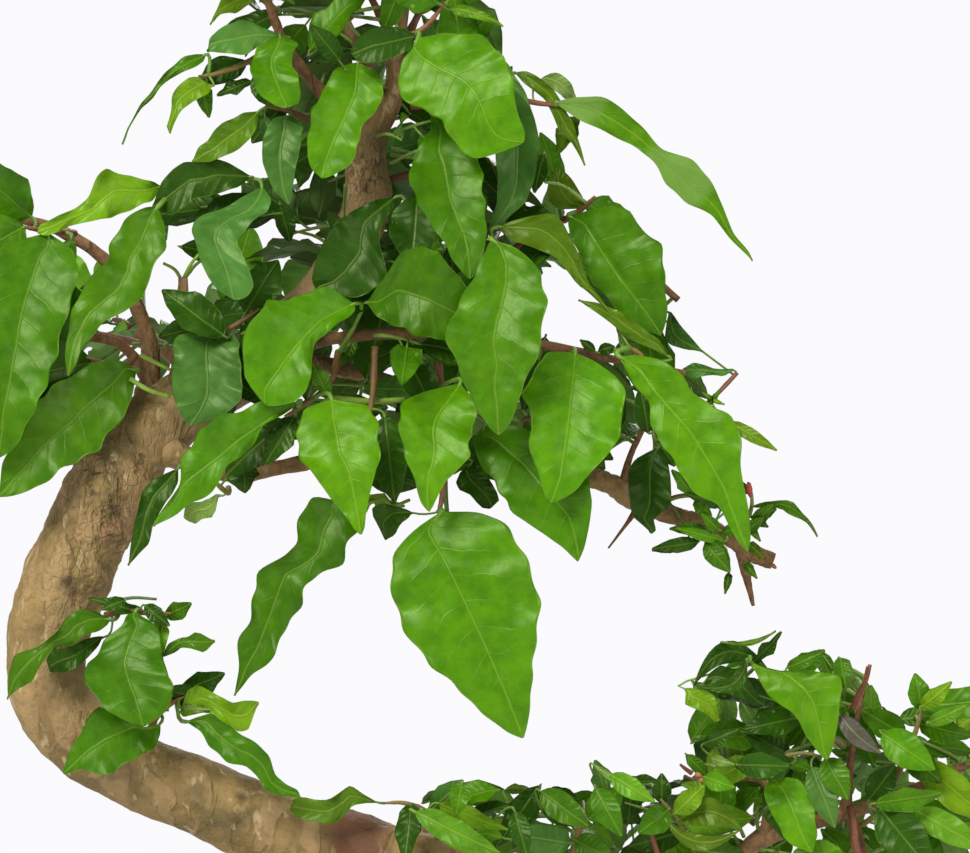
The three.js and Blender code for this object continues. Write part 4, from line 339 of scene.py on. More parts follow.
        (-36, 290, -12, -20, 285, -10, 10, "d", dict(roll=20)),
    ]),
    "front_centre": ([
        (-14, 326, -19.5, 1.5), (-13, 304, -24, 1.3), (-12.5, 288, -27, 1.2), (-13, 281, -28, 1),
        (-14, 277, -29, 0.6),
    ], [
        (-13, 277.5, -31, 11.5, 209.3, -40, 41.3, "b", dict(bow=3, wave=1, fold=5,
            rib=[(0.05, 6), (0.2, 4), (0.3, 3.2), (0.4, 2.5), (0.5, 1.8), (0.6, 1.2), (0.8, 0.3)],
            edge=[
            (0.02, -3, 7), (0.05, -10, 12), (0.1, -14.5, 17.5), (0.2, -17.8, 21), (0.3, -18.6, 22.2),
            (0.4, -19, 22.3), (0.5, -18.2, 20.5), (0.6, -15, 18), (0.7, -11, 13.5), (0.8, -8, 10.5),
            (0.9, -4.5, 6.5), (0.96, -2.4, 3.4)])),
        (-7.5, 315.8, -32, -16.8, 277.4, -44, 22.7, "b", dict(bow=4, wave=2, waves=2.5, edge=evenly(
            (-1.6, 2.1), (-5.4, 8.7), (-8.1, 14.6), (-6.5, 15.6), (-7, 15.2), (-8, 13.2), (-6.6, 11),
            (-2.5, 8), (-1.7, 5.4), (-0.9, 2.4)))),
        (-4.5, 291.4, -20, 1.5, 278.3, -22, 9.6, "d", dict(edge=evenly(
            (-0.1, 3), (-2.7, 6.2), (-3.7, 5.9), (-3.9, 3.6), (-4.1, 2.8), (-3.3, 1.8)))),
        (-21.6, 277.1, -26, -30, 269, -28, 10.6, "d", dict(edge=[
            (0.03, 0.1, 1.1), (0.22, -0.2, 5.2), (0.41, 0, 8.3), (0.59, -0.4, 9.4), (0.78, -1.3, 9.3)])),
        (-4, 300, -14, 8, 286, -14, 12, "d", dict(roll=20)),
    ]),
    "front_upper": ([
        (-30, 336, -14, 1.4), (-29, 342, -17, 1.2), (-24, 354, -18, 1), (-22, 363, -18, 0.6),
    ], [
        (-35.5, 340.2, -24, -3.3, 333.5, -34, 26.5, "m", dict(bow=4, wave=1.4,
            rib=[(0.12, -0.7), (0.28, -5.4), (0.42, -5.1), (0.61, -4.3), (0.76, -2.9), (0.9, -1.8)],
            edge=evenly(
            (-1.7, 0.8), (-8.8, 4), (-18, 4.9), (-19.7, 5.6), (-19.7, 6.8), (-16.6, 7), (-13.2, 5.9),
            (-6.5, 3.4)))),
        (-26.7, 371.9, -17, -50.1, 343.1, -24, 22, "d", dict(bow=3, edge=evenly(
            (-0.5, 1.1), (-1.9, 3.9), (-2.3, 6), (-3, 7.4), (-7.5, 8.2), (-13.2, 8.6), (-13.4, 8.6),
            (-12.3, 7.4), (-9.3, 6.1), (-1.6, 3.8)))),
        (-20, 372, -15, -22, 350, -22, 16, "d", dict(roll=10)),
        (-30, 352, -14, -48, 334, -16, 14, "d", dict(roll=10)),
    ]),
    "front_right": ([
        (2, 334.5, -19.5, 1.4), (5, 342, -25, 1.2), (6, 351, -29, 1), (3, 358, -31, 0.6),
    ], [
        (2.1, 359, -36, 4.2, 300.2, -50, 28.4, "m", dict(bow=5, wave=1.4, fold=10, edge=evenly(
            (-5.4, 1.1), (-11.9, 3.9), (-14.3, 6.9), (-15.5, 10.6), (-14.6, 13.8), (-13.2, 14.8),
            (-12.1, 11.7), (-7.7, 9.4), (-5.8, 6.3), (-2.3, 2.7)))),
        (4.1, 362.9, -22, 38.1, 336.5, -24, 12.3, "o", dict(edge=evenly(
            (-2.7, 0.9), (-8.4, 0.8), (-13, -0.7), (-12.6, -1.8), (-10.5, -3.1), (-8.5, -2.2),
            (-5.1, -0.8), (-2.9, -0.9), (-1.9, -0.5), (-0.6, 0)))),
        (8, 350, -20, -16, 334, -20, 16, "d", dict(roll=10)),
    ]),
    "front_right_low": ([
        (22, 322, -20, 1.4), (24, 316, -26, 1.2), (20, 309, -29, 1), (10, 304, -30, 0.6),
    ], [
        (27, 325.1, -31, 19.8, 279.8, -44, 30.9, "b", dict(bow=4, wave=1.2, fold=8,
            rib=[(0.08, -0.3), (0.21, -0.6), (0.37, -0.9), (0.57, -1.4), (0.84, -1.5)],
            edge=evenly(
            (-5.3, 8.5), (-13.2, 9.9), (-16.2, 12.1), (-17, 13.9), (-16.8, 10.4), (-16.3, 9.7),
            (-14.7, 9.5), (-10.5, 7.4), (-7.8, 4.2), (-2.8, 2.2)))),
        (0.3, 303.9, -26, 27.9, 262.4, -38, 23.7, "m", dict(bow=3, wave=1.4, edge=evenly(
            (0.2, 5.6), (-7.6, 7.6), (-10.8, 8.4), (-13.1, 7.7), (-14.5, 8.1), (-15.6, 8.1),
            (-16, 6.8), (-14, 3.7), (-8.5, 1.8), (-3, 0.6)))),
        (24, 304, -14, 36, 290, -14, 10, "d", dict(roll=10)),
    ]),
    "front_right_tip": ([
        (48, 318, -18, 1.2), (47, 324, -21, 1), (43, 327, -22, 0.7),
    ], [
        (40.2, 324, -27, 78.9, 265.4, -36, 22.2, "b", dict(bow=4, wave=1.4, fold=12,
            rib=[(0.1, -3), (0.21, -3.1), (0.31, -3.9), (0.44, -5.2), (0.6, -4.8), (0.72, -4.4),
                 (0.86, -2), (0.97, -0.4)],
            edge=evenly(
            (-3.8, 0.3), (-11.1, 1.1), (-12.4, 0), (-12.7, 4.1), (-17, 4.1), (-18.3, 3.9),
            (-13.4, 4.6), (-9.4, -0.2), (-6.8, 0.6), (-2.4, 0.9)))),
        (55.2, 324, -18, 27.9, 341, -20, 5.3, "o", dict(edge=evenly(
            (-0.5, 0.1), (-0.7, 2.8), (-1.6, 2.9), (-1.9, 3.4), (-1.2, 3.5), (-0.6, 3.2), (-0.4, 2.3),
            (-0.1, 0.4)))),
        (33, 325.5, -20, 28.5, 329, -20, 3, "d", {}),
        (34, 325.5, -18, 39, 327, -18, 4, "d", {}),
        (39.7, 332.1, -16, 45.3, 324.2, -14, 6, "p", dict(edge=[
            (0.03, -0.2, 0.4), (0.22, -1.3, 1.4), (0.41, -2.3, 2.5), (0.59, -3.1, 2.9),
            (0.78, -2.6, 2.4)])),
    ]),
    "right_high": ([
        (22, 364.5, 9.5, 1.4), (26, 366, 2, 1.2), (30, 369, -2, 1), (33, 372, -4, 0.6),
    ], [
        (25.5, 365.9, -4, 52.8, 330.2, -14, 23.3, "m", dict(bow=4, wave=1.6, fold=14,
            rib=[(0.1, -2.1), (0.3, -1.1), (0.54, -0.4), (0.75, -0.6), (0.94, -0.3)],
            edge=evenly(
            (-4.1, 2), (-12.4, 3.7), (-14.7, 4.6), (-14.6, 6.5), (-16.2, 6.9), (-16.4, 6.9),
            (-14.2, 6), (-10.6, 6.1), (-7.5, 4.7), (-2.9, 1.2)))),
        (28.5, 367.4, 2, 21.3, 380.6, 4, 9.5, "o", dict(edge=evenly(
            (1.2, 2.8), (-5.7, 3), (-6.9, 2.6), (-6.8, 2.5), (-4.4, 2), (-1.4, 0.7)))),
        (30, 370, 0, 46, 361, -2, 12, "m", dict(roll=-40)),
    ]),
    "right_far": ([
        (52, 300, 6, 1.1), (60, 304.5, 5, 0.9), (68.4, 311.6, 2, 0.8), (75.4, 319.2, 1, 0.5),
    ], [
        (54.9, 337.4, 2, 65.4, 325.4, -2, 7, "g", dict(edge=evenly(
            (-0.8, -0.1), (-0.4, 3.8), (-0.2, 6.8), (-0.1, 5.8), (-0.1, 3.4), (-0.1, 0.5)))),
        (75, 319.7, 0, 59.1, 320, 0, 5.1, "g", dict(edge=evenly(
            (0.1, 0.7), (-1.8, 0.5), (-1.4, 0.6), (-1.8, 1.6), (-2.6, 2.5), (-1.2, 0.6)))),
        (73, 304.4, 0, 87.6, 295.8, -4, 4.2, "y", {}),
        (60, 311, 7, 52, 318, 12, 9, "d", dict(roll=30)),
    ]),
    "limb_end": ([
        (52, 279.5, -3.6, 1), (58, 282, -6, 0.9), (66, 282, -6, 0.9), (73, 277, -6, 0.9),
        (78, 275, -5, 0.9), (80, 279, -4, 0.8), (79.5, 286, -3, 0.4),
    ], [
        (66, 283, -7, 61, 289, -8, 6, "d", {}),
        (62, 283, -7, 56, 290, -9, 5, "m", dict(roll=20)),
        (69, 281, -6, 76, 288, -6, 5, "d", dict(roll=-20)),
        (63, 281, -8, 68, 276, -10, 5, "m", dict(roll=20)),
        (73, 279, -4, 74, 292, -3, 4, "d", {}),
        (66, 272.5, -9, 55.3, 272.3, -10, 4, "m", {}),
        (60, 268, -8, 50, 265.8, -9, 4, "d", {}),
        (67, 269, -9, 73.5, 260, -10, 6, "m", {}),
        (80.5, 279, -7, 99.8, 269.8, -11, 3.4, "m", dict(sway=-4.5, roll=30)),
        (80.5, 276, -5, 87.5, 278.3, -5, 4, "d", {}),
        (80.5, 275.5, -7, 85, 272.8, -8, 3, "d", {}),
        (76, 273, -7, 70.5, 270.8, -8, 4, "m", {}),
        (79, 283, -2, 74, 287, -2, 3.5, "d", {}),
    ]),
    "limb_hang": ([
        (48, 282.4, -1.5, 1), (50, 288, -6, 0.9), (51, 297, -8, 0.8), (50, 303, -8, 0.4),
    ], [
        (51.9, 296.6, -12, 49.8, 270.8, -16, 13.1, "d", dict(bow=2, fold=14, edge=evenly(
            (-0.7, 1.6), (-3.4, 6.6), (-4.3, 8.4), (-4.8, 8.3), (-5.1, 7.9), (-4.5, 7.2), (-0.3, 5.7),
            (-1.7, 0.7)))),
        (51, 299, -8, 57, 291, -8, 5, "d", {}),
        (49, 301, -8, 46.5, 315, -8, 7, "d", {}),
    ]),
    "elbow_upper": ([
        (-113.7, 246.5, -7, 1.3), (-108, 247.5, -13, 1.1), (-100, 247, -16, 1), (-94, 247, -17, 0.4),
    ], [
        (-112.5, 245, -15, -143.4, 221, -24, 9.6, "m", dict(wave=1.8, waves=2.5, edge=evenly(
            (-0.7, 3.5), (-0.7, 8.3), (0.8, 8.7), (0.6, 7.3), (3.7, 6.7), (3.3, 6.7), (1.5, 8.1),
            (-0.5, 9.1), (0.5, 6.2), (0.4, 1)))),
        (-114.3, 239.8, -12, -130.5, 229.4, -14.6, 8.3, "d", dict(edge=evenly(
            (0, 0.8), (-1.4, 2), (-2.1, 2.8), (-2.8, 2.8), (-3.2, 3.3), (-3.5, 4.8), (-2.4, 4.9),
            (-0.7, 3.4)))),
        (-104.8, 247.6, -18, -102.3, 212.9, -30, 24.5, "m", dict(wave=1.8, fold=6, edge=evenly(
            (-0.8, 2.7), (-5.3, 4.2), (-6.9, 9.9), (-6.6, 12.5), (-6.9, 15.6), (-8.3, 16.2),
            (-9.3, 15), (-9.3, 12.9), (-7.5, 9.5), (-2.9, 3.9)))),
        (-96.9, 245.6, -14, -95.1, 217.4, -20, 8.2, "l", dict(edge=evenly(
            (-0.2, 1.8), (-2.5, 5.7), (-1.2, 6.9), (0.4, 6.2), (-0.6, 5.5), (-1.6, 4.8), (-1.8, 3.1),
            (-0.4, 0.6)))),
        (-102, 247, -12, -119, 251.5, -14.4, 5, "d", dict(roll=40)),
        (-96, 246, -14, -88, 250, -14, 6, "m", dict(roll=20)),
        (-96.6, 234.2, -19, -81, 238.7, -24, 6.9, "m", dict(wave=1.4, edge=evenly(
            (-0.7, 0.4), (-3.2, 0.2), (-3.8, -0.9), (-3.5, -0.2), (-4.2, 2.7), (-0.3, 0.5)))),
    ]),
    "elbow_lower": ([
        (-100.5, 212.2, -6, 1.3), (-98, 216.5, -12, 1.1), (-94, 220, -14, 1), (-90, 222, -15, 0.4),
    ], [
        (-97.5, 213.8, -17, -126.6, 198.8, -24, 19.2, "m", dict(wave=1.4,
            rib=[(0.03, 1.2), (0.26, 3), (0.52, 3.3), (0.73, 2.5), (0.92, 0.6)],
            edge=evenly(
            (-2.5, 0.3), (-5.7, 1.4), (-5.8, 7.3), (-5.7, 13.5), (-6.6, 11.7), (-5.7, 8.6),
            (-1.1, 5.8), (-0.6, 1.5)))),
        (-91.5, 217.3, -14, -67.8, 220.1, -18, 9, "y", dict(wave=1.6, edge=evenly(
            (-1.3, 1.7), (-6.6, 1.4), (-7.9, 1), (-5.3, 1.5), (-2.9, 4.5), (-1.4, 7.6), (-1.2, 7.8),
            (-0.7, 1.2)))),
        (-95, 224, -12, -82.5, 220.5, -12, 8, "d", dict(roll=20)),
        (-89.7, 214.4, -18, -55.5, 191.6, -24, 9.3, "m", dict(wave=1.6, waves=2.5, edge=evenly(
            (-2.1, -0.2), (-6.6, -0.1), (-6.5, 2.1), (-6.1, 2.6), (-6.5, 2.8), (-6.6, 1.1),
            (-5.7, 1.7), (-1.7, 3.5), (-1.1, 2.9), (-1.8, 0.7)))),
        (-92, 223, -8, -78, 229, -6, 8, "d", dict(roll=20)),
    ]),
    "trunk_mid": ([
        (-14, 179.3, -7, 1.2), (-17, 187, -11, 1), (-24, 190, -12, 0.9), (-31, 190, -12, 0.4),
    ], [
        (-32.1, 190.2, -14, -58.5, 188, -17, 8, "o", dict(wave=1.4, edge=evenly(
            (-0.1, 0.5), (0.3, 3), (-0.2, 5.9), (-3.6, 4.4), (-5.2, 2.5), (-4.4, 2.5), (-3.5, 3.5),
            (-1.3, 3.4)))),
        (-22, 190, -12, -24, 172, -20, 8, "d", dict(roll=20)),
        (-16, 188, -8, -6.5, 197, -8, 8, "g", {}),
        (-19, 188, -14, -1, 174, -18, 8, "l", dict(roll=-10)),
        (-14, 190, -12, 7, 182, -16, 6, "y", dict(roll=20)),
    ]),
    "trunk_low_left": ([
        (24, 169.5, -7, 1.2), (27, 178, -10, 1.1), (30, 186, -11, 0.9), (36, 193, -11, 0.5),
    ], [
        (28, 184, -9, 14, 192, -9, 8, "d", dict(roll=20)),
        (26, 178, -12, 7, 181, -15, 10, "g", {}),
        (31, 185, -14, 41.5, 195, -17, 10, "m", {}),
        (36, 193, -9, 33, 203, -9, 7, "g", dict(roll=30)),
        (27, 179, -14, 39, 173, -18, 9, "m", {}),
        (25, 176, -8, 14, 173, -10, 8, "m", dict(roll=20)),
    ]),
    "trunk_low_right": ([
        (67, 170, -7.5, 1.1), (62, 178, -11, 1), (57, 186, -13, 0.9), (52, 192, -13, 0.5),
    ], [
        (58, 185, -15, 77, 182, -19, 9, "o", dict(sway=-4)),
        (63, 176, -14, 79, 174, -16, 8, "d", {}),
        (57, 187, -15, 66, 195.5, -16, 7, "y", {}),
        (55, 188, -16, 46, 181, -19, 9, "m", {}),
        (60, 182, -10, 43, 177, -10, 9, "d", dict(roll=10)),
        (53, 190, -12, 53, 199, -12, 6, "d", {}),
    ]),
    "pad_top": ([
        (108, 207, -5.5, 1.2), (99, 213, -9, 1.1), (92, 221, -12, 1), (85, 228, -13, 0.8),
        (79, 232, -12, 0.5),
    ], [
        (79.6, 233.5, -15, 102.9, 203, -25, 18.5, "b", dict(bow=3, fold=14,
            rib=[(0.19, -3.7), (0.31, -5.8), (0.46, -7.2), (0.6, -6.8), (0.74, -4.4), (0.95, -0.2)],
            edge=evenly(
            (0.4, 1), (-1.5, 1.4), (-4.9, 2.1), (-10.3, 2.8), (-14.6, 2.2), (-18.5, 0), (-15.8, 0.4),
            (-12.1, 0.9), (-7.3, 1.2), (-2.7, 0.9)))),
        (85, 230, -10, 62.5, 225, -12, 7, "d", dict(sway=8)),
        (65.5, 226.1, -13, 84, 219.2, -15, 7.9, "d", dict(edge=evenly(
            (-3.4, 0.5), (-7, 0.7), (-7.1, 0.4), (-7.5, 0.4), (-6.9, 0.6), (-4.9, 0.8), (-2.6, 1.1),
            (-0.7, 0.4)))),
        (60, 224.3, -10, 70.2, 214.7, -10, 6.7, "y", dict(edge=evenly(
            (-1, 0.1), (-2.8, 3.6), (-4.1, 2.6), (-4.4, 1.5), (-2.4, 0.9), (-0.6, 1.2)))),
        (80, 232, -8, 89, 241.5, -8, 5, "d", dict(roll=40)),
        (91, 229, -8, 102, 236, -8, 7, "m", dict(roll=20)),
        (97, 215, -8, 106, 226, -6, 9, "m", {}),
        (95, 216, -10, 77, 212, -12, 9, "d", dict(roll=20)),
    ]),
    "pad_middle": ([
        (84.5, 199, -9, 1.1), (88, 203, -12, 1), (95, 205, -14, 0.8), (101, 204, -15, 0.5),
    ], [
        (88.7, 198.4, -17, 98.1, 175.1, -25, 12.8, "b", dict(wave=1.2, edge=evenly(
            (-0.4, 5), (-4.8, 7), (-5.7, 7.1), (-5.8, 6.8), (-5.3, 6.6), (-4.5, 6.2), (-3.5, 5),
            (-0.8, 1.2)))),
        (98, 201, -18, 105, 182.5, -23, 9, "g", {}),
        (85, 196, -12, 90, 179, -16, 8, "d", dict(roll=20)),
        (92, 202, -12, 75, 201, -15, 10, "d", dict(roll=-20)),
        (102, 203.5, -16, 109, 191, -20, 9, "m", {}),
        (80, 203, -11, 65, 195.5, -15, 8, "y", {}),
        (90, 205, -11, 76, 213, -11, 8, "d", dict(roll=20)),
    ]),
    "pad_right": ([
        (123, 197, -5, 1.2), (126, 204, -8, 1.1), (129, 211, -9, 1), (131, 218, -9, 0.6),
    ], [
        (119, 211, -14, 135, 200, -18, 11, "b", {}),
        (126, 206, -10, 137, 196, -13, 9, "m", dict(roll=10)),
        (131, 219, -9, 165, 222, -11, 10, "b", dict(roll=-20)),
        (131, 218, -7, 129, 229, -7, 7, "m", {}),
        (130, 203, -7, 152, 184, -9, 11, "y", dict(roll=10)),
        (126, 210, -5, 113, 218, -6, 9, "m", {}),
        (130, 214, -6, 146, 210, -6, 9, "m", dict(roll=30)),
    ]),
    "pad_low": ([
        (113, 183.5, -7, 1.1), (119, 187, -11, 1), (125, 188, -13, 0.8), (131, 188, -14, 0.5),
    ], [
        (118, 189, -16, 135, 168, -22, 14, "d", {}),
        (129, 188, -16, 150, 176, -19, 9, "l", dict(roll=-10)),
        (123, 190, -12, 147, 185, -12, 8, "m", dict(roll=20)),
        (115, 191, -9, 123, 201.5, -9, 9, "d", {}),
        (117, 190, -8, 137, 193, -8, 8, "m", dict(roll=20)),
    ]),
}

# The shoots placed by rule: limb, place on it, compass, rise, length, leaf pairs, leaf length.
SHOOTS = [
    ("trunk", 0.97, 200, 60, 32, 4, 34), ("trunk", 0.985, 320, 62, 34, 4, 34),
    ("trunk", 0.94, 60, 50, 46, 4, 36), ("trunk", 0.95, 130, 55, 48, 4, 36),
    ("trunk", 0.99, 40, 75, 34, 4, 32), ("crown_left", 0.92, 170, 45, 26, 3, 30),
    ("crown_left", 0.7, 110, 40, 36, 3, 34), ("crown_mid", 0.97, 260, 60, 26, 3, 30),
    ("trunk", 0.86, 90, 20, 44, 4, 40), ("trunk", 0.84, 40, 15, 42, 3, 40),
    ("right_high", 0.4, 82, 24, 40, 4, 38), ("back", 0.45, 20, 25, 42, 4, 40),
    ("back", 0.5, 108, 20, 42, 4, 40), ("back", 0.97, 60, 20, 22, 3, 30),
    ("back_left", 0.5, 60, 30, 36, 3, 38), ("back_left", 0.6, 150, 15, 36, 4, 38),
    ("back_left", 0.97, 110, 15, 17, 3, 29), ("back_low", 0.6, 40, 15, 36, 3, 38),
    ("back_low", 0.97, 60, 0, 26, 3, 34), ("left", 0.97, 140, 15, 8, 2, 17),
    ("left_low", 0.97, 125, 5, 10, 2, 20), ("pad", 0.9, 125, 22, 28, 4, 22),
    ("pad_back", 0.6, 150, 35, 30, 4, 28), ("pad_back", 0.97, 50, 30, 24, 4, 26),
    ("low_back", 0.6, 40, 22, 28, 3, 26),
]

# Colours of the leaves, as linear red, green and blue. The dark tone d is partly the leaves' own deep green
# and partly painted shade: it is the colour that leaves in the crown's shadow show.
TONES = {
    "b": (0.104, 0.310, 0.001), "m": (0.070, 0.222, 0.001), "d": (0.024, 0.096, 0.001),
    # The blue in g is painted sheen: the bluish highlight that the leaves so toned show, on their own green.
    "y": (0.195, 0.385, 0.008), "g": (0.085, 0.235, 0.035), "o": (0.105, 0.210, 0.005),
    "p": (0.230, 0.380, 0.080), "l": (0.160, 0.390, 0.014), "x": (0.135, 0.115, 0.110),
}
STALK_GREEN = np.array([0.20, 0.36, 0.04])
YOUNG_BARK = np.array([0.235, 0.085, 0.030])
PLAIN = (0, 0, 0)
UP = np.array([0.0, 0, 1])
TURN = 2 * math.pi


def unit(v):
    return v / np.linalg.norm(v)


def lerp(a, b, t):
    return a + (b - a) * t


def random_from(seed):
    """The part's own random numbers, from 0 to 1."""
    state = seed & 0xFFFFFFFF

    def draw():
        nonlocal state
        state = (state + 0x6D2B79F5) & 0xFFFFFFFF
        t = state
        t = ((t ^ (t >> 15)) * (t | 1)) & 0xFFFFFFFF
        t ^= (t + (((t ^ (t >> 7)) * (t | 61)) & 0xFFFFFFFF)) & 0xFFFFFFFF
        return ((t ^ (t >> 14)) & 0xFFFFFFFF) / 4294967296

    return draw


class Curve:
    """A centripetal spline through points, from 0 to 1."""

    def __init__(self, points):
        self.points = [np.array(p, float) for p in points]

    def at(self, t):
        points = self.points
        place = (len(points) - 1) * t
        i = min(int(math.floor(place)), len(points) - 2)
        w = place - i
        p1, p2 = points[i], points[i + 1]
        p0 = points[i - 1] if i > 0 else 2 * points[0] - points[1]
        p3 = points[i + 2] if i + 2 < len(points) else 2 * points[-1] - points[-2]
        d1 = np.dot(p2 - p1, p2 - p1) ** 0.25 or 1.0
        d0 = np.dot(p1 - p0, p1 - p0) ** 0.25 or d1
        d2 = np.dot(p3 - p2, p3 - p2) ** 0.25 or d1
        t1 = ((p1 - p0) / d0 - (p2 - p0) / (d0 + d1) + (p2 - p1) / d1) * d1
        t2 = ((p2 - p1) / d1 - (p3 - p1) / (d1 + d2) + (p3 - p2) / d2) * d1
        return p1 + t1 * w + (3 * (p2 - p1) - 2 * t1 - t2) * w**2 + (2 * (p1 - p2) + t1 + t2) * w**3

    def tangent(self, t):
        step = 0.0001
        return unit(self.at(min(t + step, 1)) - self.at(max(t - step, 0)))


def curve_of(stations):
    """The curve through stations [x, y, z, ...]."""
    return Curve([s[:3] for s in stations])


def bent(start, bend, end, steps):
    """Points along a curve that leaves start towards bend and comes into end from it."""
    return [(1 - t) ** 2 * start + 2 * t * (1 - t) * bend + t * t * end for t in np.linspace(0, 1, steps)]


def turned(v, axis, angle):
    """v turned about a unit axis."""
    return (v * math.cos(angle) + np.cross(axis, v) * math.sin(angle)
            + axis * np.dot(axis, v) * (1 - math.cos(angle)))


class Build:
    """Points, faces and the numbers that the materials read, gathered for one mesh."""

    def __init__(self):
        self.points, self.quads, self.tris = [], [], []
        self.tint, self.blade, self.fine, self.quad_slots, self.tri_slots = [], [], [], [], []
        self.count = 0

    def add(self, points, quads, tris, slot, tint, blade=None, fine=None):
        n = len(points)
        self.points.append(points)
        self.quads.append(np.asarray(quads, int).reshape(-1, 4) + self.count)
        self.tris.append(np.asarray(tris, int).reshape(-1, 3) + self.count)
        self.quad_slots.append(np.full(len(self.quads[-1]), slot))
        self.tri_slots.append(np.full(len(self.tris[-1]), slot))
        self.tint.append(np.broadcast_to(np.asarray(tint, float), (n, 3)))
        self.blade.append(np.zeros((n, 3)) if blade is None else blade)
        self.fine.append(np.zeros((n, 3)) if fine is None else fine)
        self.count += n

    def piece(self, name, materials, slot, replaces=()):
        """Makes the object, on the root body."""
        points = np.concatenate(self.points) * MM
        quads, tris = np.concatenate(self.quads), np.concatenate(self.tris)
        mesh = bpy.data.meshes.new(name)
        mesh.vertices.add(len(points))
        mesh.vertices.foreach_set("co", points.astype(np.float32).ravel())
        mesh.loops.add(quads.size + tris.size)
        corners = np.concatenate([quads.ravel(), tris.ravel()])
        mesh.loops.foreach_set("vertex_index", corners.astype(np.int32))
        mesh.polygons.add(len(quads) + len(tris))
        sizes = np.concatenate([np.full(len(quads), 4), np.full(len(tris), 3)])
        starts = np.concatenate([[0], np.cumsum(sizes)[:-1]])
        mesh.polygons.foreach_set("loop_start", starts.astype(np.int32))
        slots = np.concatenate(self.quad_slots + self.tri_slots)
        mesh.polygons.foreach_set("material_index", slots.astype(np.int32))
        mesh.polygons.foreach_set("use_smooth", np.ones(len(sizes), bool))
        for key, rows in (("tint", self.tint), ("blade", self.blade), ("fine", self.fine)):
            made = mesh.attributes.new(key, "FLOAT_VECTOR", "POINT")
            made.data.foreach_set("vector", np.concatenate(rows).astype(np.float32).ravel())
        mesh.update(calc_edges=True)
        mesh.validate()
        for material in materials:
            mesh.materials.append(material)
        made = bpy.data.objects.new(name, mesh)
        bpy.context.collection.objects.link(made)
        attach(made, "root")
        if replaces:
            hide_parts(*replaces)
        return made


def rings_faces(rows, columns, closed=True):
    """Quads between rows of points, round a tube or across a sheet."""
    span = columns if closed else columns - 1
    i, k = np.meshgrid(np.arange(rows - 1), np.arange(span), indexing="ij")
    a = i * columns + k
    b = i * columns + (k + 1) % columns
    return np.stack([a, b, b + columns, a + columns], axis=-1).reshape(-1, 4)


def end_faces(rows, sides):
    """Triangles from the first and the last row to the two points that follow the rows."""
    start, last = rows * sides, (rows - 1) * sides
    tris = [(start, (k + 1) % sides, k) for k in range(sides)]
    return tris + [(start + 1, last + k, last + (k + 1) % sides) for k in range(sides)]


def tube(build, centres, radii, sides, slot, tint, relief=None):
    """A closed tube along centres. relief(angles, length, centre) gives factors of the radius."""
    centres = np.asarray(centres, float)
    rows = len(centres)
    across = np.array([0.0, 1.0, 0.0])
    angles = TURN * np.arange(sides) / sides
    length = 0.0
    points = []
    for i, centre in enumerate(centres):
        along = unit(centres[min(i + 1, rows - 1)] - centres[max(i - 1, 0)])
        across = unit(across - along * np.dot(across, along))
        up = np.cross(along, across)
        if i:
            length += np.linalg.norm(centre - centres[i - 1])
        radius = np.full(sides, float(radii[i]))
        if relief:
            radius = radius * relief(angles, length, centre)
        points.append(centre + np.outer(np.cos(angles) * radius, across)
                      + np.outer(np.sin(angles) * radius, up))
    points = np.concatenate(points + [centres[:1], centres[-1:]])
    build.add(points, rings_faces(rows, sides), end_faces(rows, sides), slot, tint, fine=points)
    return points


# Leaves. A leaf that a row gives no outline has one that bellies near its base and narrows to a point.
FLAT = dict(roll=0, twist=0, bow=2, sway=0, fold=12, wave=1, waves=2, phase=0, ruffle=0.035, seed=0)
BELLY, POINT = 0.7, 0.95
HALF_SHEET = 0.2
SHEET_THINNED = 0.55
LEAF, TWIG = 0, 1
WIDEST = (BELLY / (BELLY + POINT)) ** BELLY * (POINT / (BELLY + POINT)) ** POINT


def outline(u):
    return u**BELLY * (1 - u) ** POINT / WIDEST


def blade_frame(leaf, u):
    """A leaf's face and sideways directions, and its normal and its width direction at u."""
    along = unit(leaf["tip"] - leaf["base"])
    face = unit(leaf["face"] - along * np.dot(leaf["face"], along))
    cross = np.cross(along, face)
    turn = np.radians(leaf["roll"] + leaf["twist"] * (np.asarray(u) - 0.5))[..., None]
    normal = face * np.cos(turn) + cross * np.sin(turn)
    across = cross * np.cos(turn) - face * np.sin(turn)
    return face, cross, normal, across


GRID = np.linspace(0, 1, 201)
SOFT = np.hanning(19)[1:-1]


def soft_line(rows, u, column):
    """One column of rows [u, ...] as a soft curve that is nought at 0 and at 1."""
    ends = np.zeros(len(rows[0]) - 1)
    table = np.array([(0, *ends), *rows, (1, *ends)], float)
    line = np.interp(GRID, table[:, 0], table[:, column])
    reach = len(SOFT) // 2
    padded = np.concatenate([-line[reach:0:-1], line, -line[-2:-2 - reach:-1]])
    return np.interp(u, GRID, np.convolve(padded, SOFT / SOFT.sum(), "valid"))


RIB_ROOM = 0.6
# Small lobes of the margin: their length, how far those of the two sides are apart, how far they drift
# along the blade, and their height as a share of half its width.
LOBE_LENGTH, SIDES_APART, LOBE_DRIFT, LOBES = 10.5, 2.4, 1.4, 0.027


